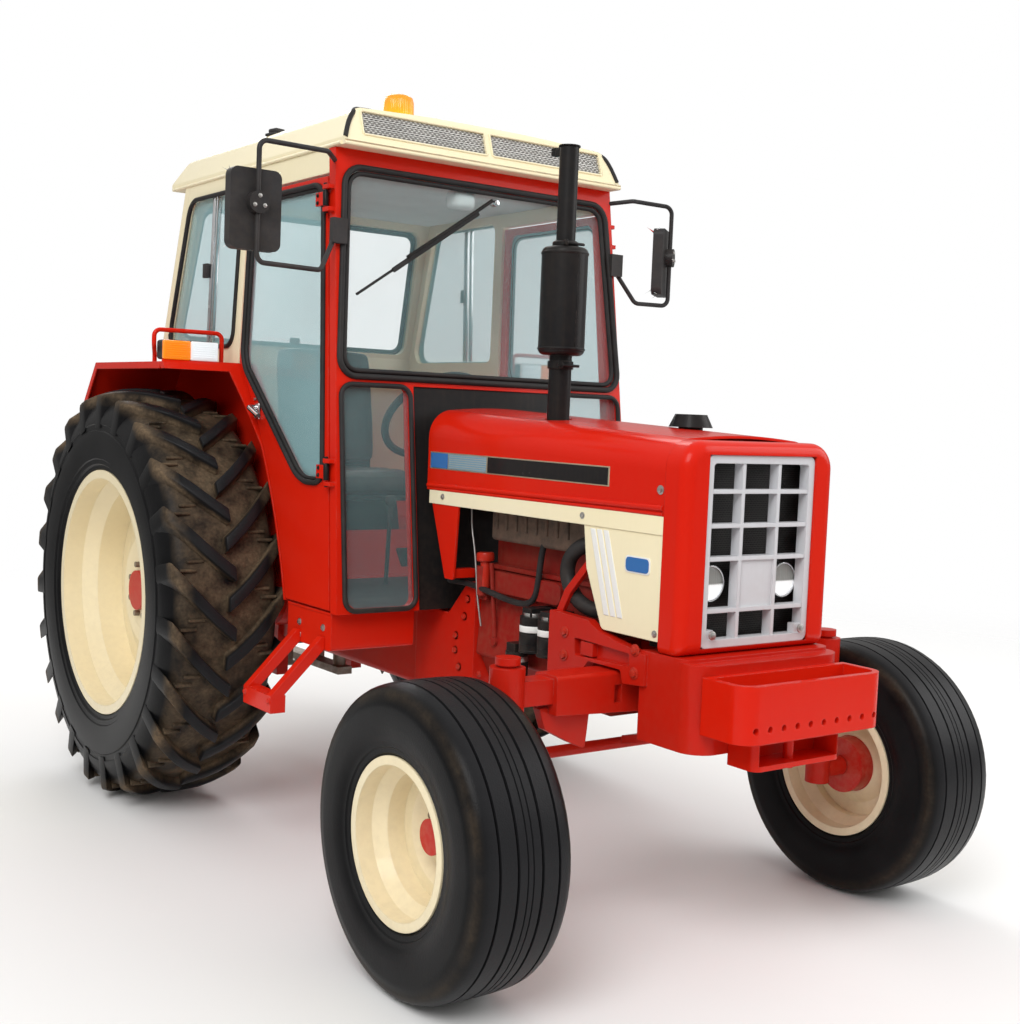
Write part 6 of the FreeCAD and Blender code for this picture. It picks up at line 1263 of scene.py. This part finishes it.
def make_seals():
    pane_ring("windscreen_seal", on_front(SCREEN_CORNERS, 0.003), 0.062, 0.0105, RUBBER, inset=-0.004)
    pane_ring("windscreen_inner_seal", on_front(SCREEN_CORNERS, -0.004), 0.050, 0.0085, RUBBER, inset=0.015)
    rear_ring = [(x, rear_y(z) + 0.003, z) for x, z in REAR_CORNERS]
    pane_ring("rear_window_seal", rear_ring, 0.055, 0.0100, RUBBER, inset=-0.003)
    pane_ring("rear_window_inner_seal", rear_ring, 0.045, 0.0080, RUBBER, inset=0.014, shift=(0, -0.007, 0))
    for sign, word in SIDES:
        door = f"door_{word}"
        low_pane = [(sign * x, z) for x, z in LOW_PANE]
        pane_ring(f"low_window_seal_{word}", on_front(low_pane), 0.040, 0.0085, RUBBER, inset=-0.002)
        pane_ring(f"door_seal_{word}", on_side(DOOR_PANE, sign), 0.060, 0.0095, RUBBER, door, inset=-0.003)
        pane_ring(f"door_inner_seal_{word}", on_side(DOOR_PANE, sign, -0.004), 0.050, 0.0070, RUBBER, door,
                  inset=0.011)
        pane_ring(f"quarter_seal_{word}", on_side(QUARTER_PANE, sign), 0.055, 0.0085, RUBBER, inset=-0.002)


make_seals()


def make_quarter_windows():
    for sign, word in SIDES:
        bm = bmesh.new()
        for y, half, deep in ((0.785, 0.012, 0.010), (0.748, 0.004, 0.014)):
            add_block(bm, (-0.002, y - half, 1.712), (deep, y + half, 2.268), 0.002)
        for vertex in bm.verts:
            vertex.co.x = sign * (side_x(vertex.co.z) - 0.008 + vertex.co.x)
        make_piece(f"quarter_window_rail_{word}", bm, CHROME)
        bm = bmesh.new()
        x = side_x(CATCH_Z)
        add_block(bm, (sign * (x - 0.002), 0.800, CATCH_Z - 0.035), (sign * (x + 0.016), 0.835, CATCH_Z + 0.020),
                  0.004)
        make_piece(f"quarter_window_catch_{word}", bm, PLASTIC)


make_quarter_windows()


# Doors. Red sheet frames hung on two black barrels each, pinned to the front posts. A chrome pull stands on
# its plate above the lock, and bolts hold the sill under the door.
HINGE_Z = (1.283, 2.169)
PULL_Z = 1.477
SILL_BOLTS = ((-0.072, 0.772), (-0.238, 0.776), (-0.072, 0.730), (-0.238, 0.732))
PULL_BEND = ((0.004, 0.311, 1.480), (0.030, 0.310, 1.4815), (0.041, 0.306, 1.481), (0.0415, 0.290, 1.4755),
             (0.0415, 0.250, 1.461), (0.0415, 0.225, 1.4517))

paint(RED, "door_left", "door_right")


def hinge_point(sign, z):
    """Point of a door's hinge line at a height."""
    return Vector((sign * (side_x(z) + 0.014), front_y(z) + 0.041, z))


def make_door_pulls():
    x = side_x(PULL_Z)
    for sign, word in SIDES:
        door = f"door_{word}"
        pull = [(sign * (x + out), y, z) for out, y, z in PULL_BEND]
        bend_tube(f"door_pull_{word}", pull, 0.0092, CHROME, door)
        bm = bmesh.new()
        add_block(bm, (sign * (x - 0.004), 0.286, 1.438), (sign * (x + 0.0135), 0.322, 1.497), 0.006, 3)
        make_piece(f"door_pull_plate_{word}", bm, CHROME, door)
        bm = bmesh.new()
        add_rod(bm, (sign * (x + 0.010), 0.304, 1.452), (sign * (x + 0.018), 0.304, 1.452), 0.009, 24,
                bevel=0.002)
        add_block(bm, (sign * (x + 0.0178), 0.3025, 1.4475), (sign * (x + 0.0188), 0.3055, 1.4565), 0.0004, 1)
        make_piece(f"door_lock_{word}", bm, ZINC, door)


make_door_pulls()


def make_door_hinges():
    for sign, word in SIDES:
        bm = bmesh.new()
        for z in HINGE_Z:
            add_rod(bm, hinge_point(sign, z - 0.0275), hinge_point(sign, z + 0.0275), 0.0096, 24, bevel=0.0015)
            add_rod(bm, hinge_point(sign, z - 0.048), hinge_point(sign, z - 0.043), 0.007, 20, bevel=0.001)
            add_rod(bm, hinge_point(sign, z + 0.043), hinge_point(sign, z + 0.050), 0.007, 20, bevel=0.002)
            for up in (-0.012, 0.012):
                place = (sign * (side_x(z) + 0.0175), front_y(z) + 0.088, z + up)
                add_bolt(bm, place, (sign, 0, 0), 0.005, 0.005)
        make_piece(f"door_hinge_barrels_{word}", bm, BLACK_PAINT, f"door_{word}")
        bm = bmesh.new()
        add_block(bm, (sign * side_x(1.50), 0.330, 1.505), (sign * (side_x(1.50) + 0.004), 0.352, 1.515), 0.001)
        for y, z in SILL_BOLTS:
            add_bolt(bm, (sign * 0.6115, y, z), (sign, 0, 0), 0.008, 0.007)
        make_piece(f"sill_bolts_{word}", bm, ZINC)


make_door_hinges()


# Roof. Cream pressed shell with four raised ribs, a gutter along each side and a visor in front. Black
# rubber strips run down the visor's ends and over its corners, cream frames hold the two mesh vents, and a
# low rubber plug closes a hole at each side.
VENT_PITCH_ACROSS = 0.0180
VENT_PITCH_UP = 0.0090
VENT_WIDTH = 0.484
VENT_LOW_X = {"left": 0.014, "right": -0.498}
PLUG_PLACE = (0.490, 0.455)
RIB_ROW = (-0.36, -0.12, 0.12, 0.36)

# Painted shade: the vent holes are a mid grey.
VENT_MESH = woven_mesh("vent_mesh", VENT_PITCH_ACROSS, VENT_PITCH_UP, (0.80, 0.79, 0.76, 1),
                       (0.26, 0.25, 0.24, 1), 0.27)
paint(CREAM, "roof")
paint(VENT_MESH, "roof_vents")


def on_visor(x, z):
    """Point on the visor's slanted face."""
    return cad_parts["roof"].ray_cast((x, -1.0, z), (0, 1, 0))[1]


def on_roof(x, y):
    """Point on top of the roof."""
    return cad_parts["roof"].ray_cast((x, y, 3.0), (0, 0, -1))[1]


def make_roof_edges():
    for sign, word in SIDES:
        strip = [on_visor(sign * x, z) for x, z in (
            (0.5700, 2.362), (0.5600, 2.392), (0.5460, 2.424), (0.5280, 2.450))]
        strip += [on_roof(sign * x, y) for x, y in ((0.5080, -0.150), (0.4750, -0.140), (0.4400, -0.137))]
        bend_tube(f"roof_corner_strip_{word}", strip, 0.0080, RUBBER)
        bend_tube(f"roof_gutter_{word}", [(sign * x, y, z) for x, y, z in (
            (0.5800, -0.200, 2.342), (0.5805, 0.10, 2.341), (0.5805, 0.60, 2.340), (0.5790, 1.19, 2.338))],
            0.0060, CREAM)
        low, high = VENT_LOW_X[word], VENT_LOW_X[word] + VENT_WIDTH
        corners = [(x, -0.209 + run * 0.3229, 2.358 + run * 0.9464) for x, run in (
            (low, 0.026), (high, 0.026), (high, 0.104), (low, 0.104))]
        pane_ring(f"vent_frame_{word}", corners, 0.008, 0.0035, CREAM, inset=-0.003, shift=(0, -0.0015, 0))
    edge = [on_roof(-0.44 + 0.088 * k, -0.137) for k in range(11)]
    bend_tube("visor_top_edge", edge, 0.0028, BRASS)
    seam = [(x, -0.2215, 2.3500) for x in (-0.5770, -0.20, 0.20, 0.5770)]
    bend_tube("visor_seam", seam, 0.0022, BRASS)


make_roof_edges()


def make_roof_top():
    turn = Matrix.Rotation(math.radians(12), 3, "Z")
    for sign, word in SIDES:
        bm = bmesh.new()
        foot = on_roof(sign * PLUG_PLACE[0], PLUG_PLACE[1])
        for low, high, round_off in (((-0.022, -0.024, 0.004), (0.022, 0.024, 0.022), 0.006),
                                     ((-0.030, -0.032, -0.006), (0.030, 0.032, 0.005), 0.004)):
            add_block(bm, foot + Vector(low), foot + Vector(high), round_off, 3, turn)
        make_piece(f"roof_plug_{word}", bm, PLASTIC)
    for k, x in enumerate(RIB_ROW):
        rib = [on_roof(x, 0.14 + 0.09 * j) - Vector((0, 0, 0.004)) for j in range(11)]
        bend_tube(f"roof_rib_{k}", rib, 0.0085, CREAM)


make_roof_top()


# Beacon. A moulded amber dome with fine upright flutes inside, pushed over a black plastic foot that is
# screwed to the roof. The dome stands for the plain node.
BEACON_CENTRE = Vector((-0.250, 0.005, 0.0))
BEACON_FOOT_Z = 2.4823


def amber_dome(name):
    """Moulded amber dome: clear with fine upright flutes, painted lighter low down as painted lamp light."""
    material, tree, shader, place = start_material(name)
    split = tree.nodes.new("ShaderNodeSeparateXYZ")
    wire(tree, place, split.inputs[0])
    around = calc(tree, "ARCTAN2", calc(tree, "SUBTRACT", split.outputs["Y"], BEACON_CENTRE.y),
                  calc(tree, "SUBTRACT", split.outputs["X"], BEACON_CENTRE.x))
    flutes = calc(tree, "SINE", calc(tree, "MULTIPLY", around, 48.0))
    # Painted light: the dome is lighter yellow at the bottom and deeper orange at the top.
    lift = ramp(tree, split.outputs["Z"], 2.50, 2.58)
    base = blend_colour(tree, lift, (1.0, 0.52, 0.02, 1), (0.95, 0.26, 0.004, 1))
    wire(tree, base, shader.inputs["Base Color"])
    shader.inputs["Roughness"].default_value = 0.1
    shader.inputs["Transmission Weight"].default_value = 0.25
    shader.inputs["Emission Color"].default_value = (1.0, 0.30, 0.01, 1)
    shader.inputs["Emission Strength"].default_value = 0.35
    raise_bump(tree, shader, flutes, 0.35, 0.0015)
    return material


DOME = amber_dome("amber_beacon_dome")


def make_beacon():
    base = BEACON_FOOT_Z
    bm = bmesh.new()
    add_turned(bm, [(base + 0.020, 0.0), (base + 0.020, 0.0535), (base + 0.024, 0.0542), (base + 0.070, 0.0525),
                    (base + 0.085, 0.0480), (base + 0.092, 0.0380), (base + 0.0945, 0.020), (base + 0.095, 0.0)],
               BEACON_CENTRE, (0, 0, 1), 64)
    dome = make_piece("beacon_dome", bm, DOME)
    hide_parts("beacon")
    bm = bmesh.new()
    add_turned(bm, [(base - 0.008, 0.0), (base - 0.008, 0.0580), (base + 0.006, 0.0582), (base + 0.012, 0.0560),
                    (base + 0.020, 0.0560), (base + 0.022, 0.0545), (base + 0.022, 0.0)],
               BEACON_CENTRE, (0, 0, 1), 48)
    make_piece("beacon_foot", bm, PLASTIC)


make_beacon()


# Wiper. A black arm on a bright pivot, with a stepped rubber blade, resting aslant on the windscreen. Its
# motor sits behind the glass under a white cover.
WIPER_PIVOT = Vector((0.017, -0.190, 2.229))
WIPER_TIP = Vector((-0.522, -0.2335, 1.875))


def make_wiper_arm():
    way = (WIPER_TIP - WIPER_PIVOT).normalized()
    arm = [WIPER_PIVOT + way * run + Vector((0, out, 0)) for run, out in (
        (0.0, -0.010), (0.10, -0.012), (0.28, -0.014), (0.42, -0.008))]
    bend_tube("wiper_arm", arm, 0.0065, BLACK_PAINT)
    bm = bmesh.new()
    start = WIPER_PIVOT + way * 0.06
    side = way.cross(Vector((0, -1, 0))).normalized()
    turn = Matrix((way, side, side.cross(way))).transposed().to_4x4()
    for low, half, deep, share in ((0.0, 0.0085, 0.006, 0.72), (0.007, 0.0040, 0.008, 1.0)):
        blade = bmesh.new()
        add_block(blade, (0, -half, -deep / 2), ((WIPER_TIP - start).length * share, half, deep / 2), 0.001, 1)
        place = Matrix.Translation(start + Vector((0, low, -0.014))) @ turn
        bmesh.ops.transform(blade, matrix=place, verts=blade.verts)
        join_shape(bm, blade)
    make_piece("wiper_blade", bm, RUBBER)


make_wiper_arm()


def make_wiper_drive():
    bm = bmesh.new()
    add_rod(bm, WIPER_PIVOT + Vector((0.02, 0.02, -0.006)), WIPER_PIVOT + Vector((0.02, -0.014, -0.006)), 0.011,
            24, bevel=0.003)
    make_piece("wiper_pivot", bm, CHROME)
    bm = bmesh.new()
    add_block(bm, (-0.105, -0.150, 2.195), (-0.010, -0.080, 2.262), 0.022, 4)
    make_piece("wiper_motor_cover", bm, WHITE)


make_wiper_drive()


# Mirrors. Moulded black heads clamped on bent tube arms from the front posts, by three small bolts each,
# with a thin silvered glass behind.
# Columns: side and its word, tube X, tube Y, turn of the head about its tube
MIRRORS = ((-1, "right", 0.900, -0.275, 0.0), (1, "left", 0.800, -0.262, 38.0))
MIRROR_CLAMP_Z = 2.105

MIRROR = bright_metal("mirror_glass", (0.9, 0.92, 0.94, 1), 0.02)
paint(PLASTIC, "mirrors")


def flip_to_side(bm, sign):
    """Carries a shape made for the left over to its side."""
    for vertex in bm.verts:
        vertex.co.x *= sign


def make_mirror_details():
    for sign, word, tube_x, tube_y, turn in MIRRORS:
        glass, clamp = bmesh.new(), bmesh.new()
        add_block(glass, (tube_x - 0.073, tube_y + 0.0500, 1.974), (tube_x + 0.073, tube_y + 0.0516, 2.196),
                  0.0006, 1)
        corners = [edge for edge in glass.edges if abs(edge.verts[0].co.y - edge.verts[1].co.y) > 0.0005]
        bmesh.ops.bevel(glass, geom=corners, offset=0.018, segments=4, profile=0.5, affect="EDGES", material=-1)
        for across, up in ((0.0, 0.019), (-0.0165, -0.0095), (0.0165, -0.0095)):
            place = (tube_x + across, tube_y - 0.0148, MIRROR_CLAMP_Z + up)
            add_bolt(clamp, place, (0, -1, 0), 0.0045, 0.005)
        tube = Matrix.Translation((tube_x, tube_y, MIRROR_CLAMP_Z))
        about = tube @ Matrix.Rotation(math.radians(turn), 4, "Z") @ tube.inverted()
        for bm in (glass, clamp):
            bmesh.ops.transform(bm, matrix=about, verts=bm.verts)
            flip_to_side(bm, sign)
        make_piece(f"mirror_glass_{word}", glass, MIRROR)
        make_piece(f"mirror_clamp_bolts_{word}", clamp, ZINC)


make_mirror_details()


# Fender lamps. Black housings under a red guard, each with an amber outer and a clear inner lens in front
# and a red one behind, ribbed across. A plain red lens is stuck to the fender's rear slope.
FENDER_KNEE = Vector((0, 1.180, 1.630))
FENDER_FOOT = Vector((0, 1.560, 1.180))
LENS_LOW_Z = 1.6385
LENS_HIGH_Z = 1.7065
LENS_RIBS = 7


def coloured_lens(name, colour):
    """Moulded lens in one colour, lit a little from within, over a fine grain."""
    material, tree, shader, place = start_material(name)
    shader.inputs["Base Color"].default_value = colour
    shader.inputs["Roughness"].default_value = 0.12
    shader.inputs["Transmission Weight"].default_value = 0.2
    shader.inputs["Emission Color"].default_value = colour
    shader.inputs["Emission Strength"].default_value = 0.3
    grain = noise(tree, place, 300.0, 1.0)
    raise_bump(tree, shader, grain, 0.3, 0.001)
    return material


AMBER = coloured_lens("amber_lens", (1.0, 0.28, 0.008, 1))
LENS = coloured_lens("clear_lens", (0.85, 0.88, 0.9, 1))
RED_LENS = coloured_lens("red_lens", (0.55, 0.012, 0.01, 1))
paint(PLASTIC, "lamps")
# Columns: name, inner and outer X, front and rear Y, Y of the ribs' two faces, finish
LENSES = (("amber_lens_front", 0.7840, 0.8870, 0.488, 0.506, 0.4865, 0.489, AMBER),
          ("clear_lens_front", 0.6795, 0.7835, 0.488, 0.506, 0.4865, 0.489, LENS),
          ("red_lens_rear", 0.740, 0.880, 0.548, 0.559, 0.558, 0.5605, RED_LENS))


def make_lamp_lenses():
    for sign, word in SIDES:
        for name, x_low, x_high, y_low, y_high, rib_low, rib_high, finish in LENSES:
            bm = bmesh.new()
            add_block(bm, (x_low, y_low, LENS_LOW_Z), (x_high, y_high, LENS_HIGH_Z), 0.006, 3)
            for k in range(LENS_RIBS):
                z = 1.650 + 0.0075 * k
                add_block(bm, (x_low + 0.006, rib_low, z), (x_high - 0.006, rib_high, z + 0.003), 0.0007, 1)
            flip_to_side(bm, sign)
            make_piece(f"{name}_{word}", bm, finish)


make_lamp_lenses()


def make_tail_lenses():
    along = (FENDER_FOOT - FENDER_KNEE).normalized()
    out = Vector((0, -along.z, along.y))
    middle = FENDER_KNEE + along * 0.230 + out * 0.049 + Vector((REAR_CENTRE.x, 0, 0))
    turn = Matrix((Vector((1, 0, 0)), along, out)).transposed().to_4x4()
    for sign, word in SIDES:
        bm = bmesh.new()
        add_block(bm, (-0.068, -0.034, -0.004), (0.068, 0.034, 0.005), 0.004, 3)
        bmesh.ops.transform(bm, matrix=Matrix.Translation(middle) @ turn, verts=bm.verts)
        flip_to_side(bm, sign)
        make_piece(f"tail_lens_{word}", bm, RED_LENS)


make_tail_lenses()


# Cab's rear wall. The window hangs on two black hinges and shuts with a turned handle. The panel below it is
# pressed with a bead, screwed on at its sides, and has a small slatted vent and the clip of the top link.
LINK_PIN_Z = TOP_LINK_HEAD.z
SLATS = 9


def panel_y(z):
    """Rear face of the cab below its waist."""
    return 1.180 + (z - 1.085) / (1.720 - 1.085) * 0.060


def make_rear_window_fittings():
    bm = bmesh.new()
    y = rear_y(2.290)
    for x in (-0.34, 0.34):
        add_block(bm, (x - 0.030, y - 0.002, 2.262), (x + 0.030, y + 0.010, 2.318), 0.003)
        add_rod(bm, (x - 0.028, y + 0.010, 2.290), (x + 0.028, y + 0.010, 2.290), 0.0065, 16, bevel=0.001)
    y = rear_y(1.755)
    add_block(bm, (-0.022, y - 0.004, 1.735), (0.022, y + 0.012, 1.785), 0.004)
    add_rod(bm, (0.0, y + 0.008, 1.760), (0.0, y + 0.030, 1.760), 0.0075, 16)
    add_block(bm, (-0.008, y + 0.024, 1.690), (0.008, y + 0.036, 1.772), 0.004)
    make_piece("rear_window_fittings", bm, BLACK_PAINT)


make_rear_window_fittings()


def make_rear_panel():
    corners = [(x, panel_y(z), z) for x, z in (
        (-0.470, 1.200), (0.470, 1.200), (0.480, 1.640), (-0.480, 1.640))]
    pane_ring("rear_panel_bead", corners, 0.050, 0.006, CREAM)
    bm = bmesh.new()
    for x in (-0.515, 0.515):
        for z in (1.180, 1.420, 1.660):
            add_bolt(bm, (x, panel_y(z), z), (0, 1, 0), 0.0080, 0.006)
    make_piece("rear_panel_screws", bm, ZINC)
    corners = [(x, panel_y(z) + 0.001, z) for x, z in (
        (-0.150, 1.450), (0.150, 1.450), (0.150, 1.526), (-0.150, 1.526))]
    pane_ring("rear_vent_frame", corners, 0.012, 0.005, BLACK_PAINT)
    bm = bmesh.new()
    for k in range(SLATS):
        z = 1.455 + 0.0078 * k
        add_block(bm, (-0.146, panel_y(z) - 0.004, z), (0.146, panel_y(z) + 0.004, z + 0.0035), 0.001, 1)
    make_piece("rear_vent_slats", bm, BLACK_PAINT)


make_rear_panel()


def make_top_link_clip():
    bm = bmesh.new()
    y, z = panel_y(LINK_PIN_Z), LINK_PIN_Z
    add_block(bm, (-0.030, y - 0.002, z - 0.028), (0.030, y + 0.006, z + 0.028), 0.003)
    for sign, word in SIDES:
        add_block(bm, (sign * 0.026 - 0.004, y, z - 0.020), (sign * 0.026 + 0.004, 1.252, z + 0.020), 0.003)
    add_rod(bm, (-0.034, TOP_LINK_HEAD.y, z), (0.034, TOP_LINK_HEAD.y, z), 0.0080, 20, bevel=0.002)
    make_piece("top_link_clip", bm, BLACK_PAINT)


make_top_link_clip()


# Seat. Two moulded foam pads covered in vinyl, with sewn channels across them, on a steel frame over the
# seat's base. The cushion stands for the plain node.
VINYL = black_rubber("seat_vinyl", (0.030, 0.028, 0.027, 1), (0.065, 0.060, 0.056, 1), 0.42, 0.15, top=3.0,
                     grain=420.0, bump=0.5)
paint(BLACK_PAINT, "seat_base")


def cushion(name, low, high, swell, channels, lean):
    """Crowned pad with pulled-in corners and sewn channels across its face. low and high bound it."""
    low, high = Vector(low), Vector(high)
    middle, half = (low + high) / 2, (high - low) / 2
    bm = bmesh.new()
    bmesh.ops.create_cube(bm, size=2)
    bmesh.ops.subdivide_edges(bm, edges=bm.edges, cuts=15, use_grid_fill=True)
    for vertex in bm.verts:
        u, v, w = vertex.co
        reach = max(abs(u), abs(v))
        crown = (1 - u ** 4) * (1 - v ** 4)
        side = 1 - 0.035 * abs(u * v) ** 3
        thick = 0.62 + 0.38 * crown ** 0.5
        if w > 0 and channels:
            place = v * (channels + 1) / 2
            seam = abs(place - round(place)) * 2 / (channels + 1)
            if abs(round(place)) < (channels + 1) / 2:
                thick -= 0.16 * math.exp(-(seam / 0.035) ** 2)
        round_off = 1 - 0.10 * (1 - math.sqrt(max(0.0, 1 - w * w))) * (1 if reach > 0.8 else 0)
        drawn_in = side * round_off
        vertex.co = Vector((u * half.x * drawn_in, v * half.y * drawn_in, w * half.z * thick * swell))
    bmesh.ops.transform(bm, matrix=Matrix.Translation(middle) @ lean.to_4x4(), verts=bm.verts)
    bmesh.ops.smooth_vert(bm, verts=bm.verts, factor=0.5, use_axis_x=True, use_axis_y=True, use_axis_z=True)
    piece = make_piece(name, bm, VINYL, crease=80)
    smoother = piece.modifiers.new("smooth", "SUBSURF")
    smoother.levels = smoother.render_levels = 1
    return piece


def make_seat():
    flat = Matrix.Identity(3)
    upright = Matrix.Rotation(math.radians(81), 3, "X")
    base = cushion("seat_cushion", (-0.230, 0.440, 1.145), (0.230, 0.860, 1.255), 1.0, 3, flat)
    cushion("seat_back", (-0.215, 0.700, 1.450), (0.215, 1.170, 1.545), 0.95, 5, upright)
    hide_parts("seat")
    bm = bmesh.new()
    add_block(bm, (-0.205, 0.900, 1.230), (0.205, 0.925, 1.300), 0.008)
    add_block(bm, (-0.225, 0.450, 1.135), (0.225, 0.850, 1.155), 0.006)
    make_piece("seat_frame", bm, BLACK_PAINT)


make_seat()


# Controls and trim inside the cab. A tilted plastic panel with three dials in chrome rims, the wheel's horn
# push, three pedals on round bars, a rubber mat on the floor and a grey lining under the roof.
PANEL_TILT = Matrix.Rotation(math.radians(-35), 3, "X")
DIALS = ((-0.110, 0.027), (0.0, 0.038), (0.110, 0.027))
PEDAL_ROW = (-0.26, 0.20, 0.29)
WHEEL_AXIS = Vector((0, 0.737154, 0.675725))
WHEEL_CENTRE = Vector((0, 0.060, 1.455))

LINING = black_rubber("grey_headlining", (0.62, 0.63, 0.61, 1), (0.72, 0.73, 0.71, 1), 0.85, 0.05, top=3.0,
                      grain=300.0, bump=0.4)
paint(PLASTIC, "steering_column", "steering_wheel", "levers")


def make_instruments():
    bm = bmesh.new()
    add_block(bm, (-0.175, -0.150, 1.345), (0.175, -0.128, 1.430), 0.008, 3, PANEL_TILT)
    make_piece("instrument_panel", bm, PLASTIC)
    rims, faces = bmesh.new(), bmesh.new()
    way = PANEL_TILT @ Vector((0, 1, 0))
    for x, radius in DIALS:
        middle = Vector((x, -0.139, 1.3875)) + way * 0.0125
        add_rod(faces, middle - way * 0.002, middle + way * 0.001, radius, 32)
        rim = [(0.0, radius), (0.003, radius + 0.001), (0.003, radius + 0.004), (0.0, radius + 0.005)]
        add_turned(rims, rim, middle, way, 32)
    make_piece("dial_rims", rims, CHROME)
    make_piece("dial_faces", faces, WHITE)
    bm = bmesh.new()
    add_turned(bm, [(0.012, 0.036), (0.020, 0.034), (0.024, 0.026), (0.025, 0.0)],
               WHEEL_CENTRE + WHEEL_AXIS * 0.030, WHEEL_AXIS, 32)
    make_piece("horn_push", bm, PLASTIC, "steering_wheel")


make_instruments()


def make_pedals():
    bm = bmesh.new()
    for x in PEDAL_ROW:
        add_block(bm, (x - 0.032, -0.175, 0.955), (x + 0.032, -0.163, 1.025), 0.004, 2, PANEL_TILT)
        add_rod(bm, (x, -0.165, 0.990), (x, -0.262, 1.080), 0.008, 12)
    make_piece("pedals", bm, BLACK_PAINT)


make_pedals()


def make_linings():
    bm = bmesh.new()
    add_block(bm, (-0.530, -0.110, 2.300), (0.530, 1.020, 2.330), 0.012, 2)
    make_piece("headlining", bm, LINING)
    bm = bmesh.new()
    add_block(bm, (-0.520, -0.300, 0.832), (0.520, 0.420, 0.838), 0.002, 1)
    make_piece("floor_mat", bm, RUBBER)


make_linings()
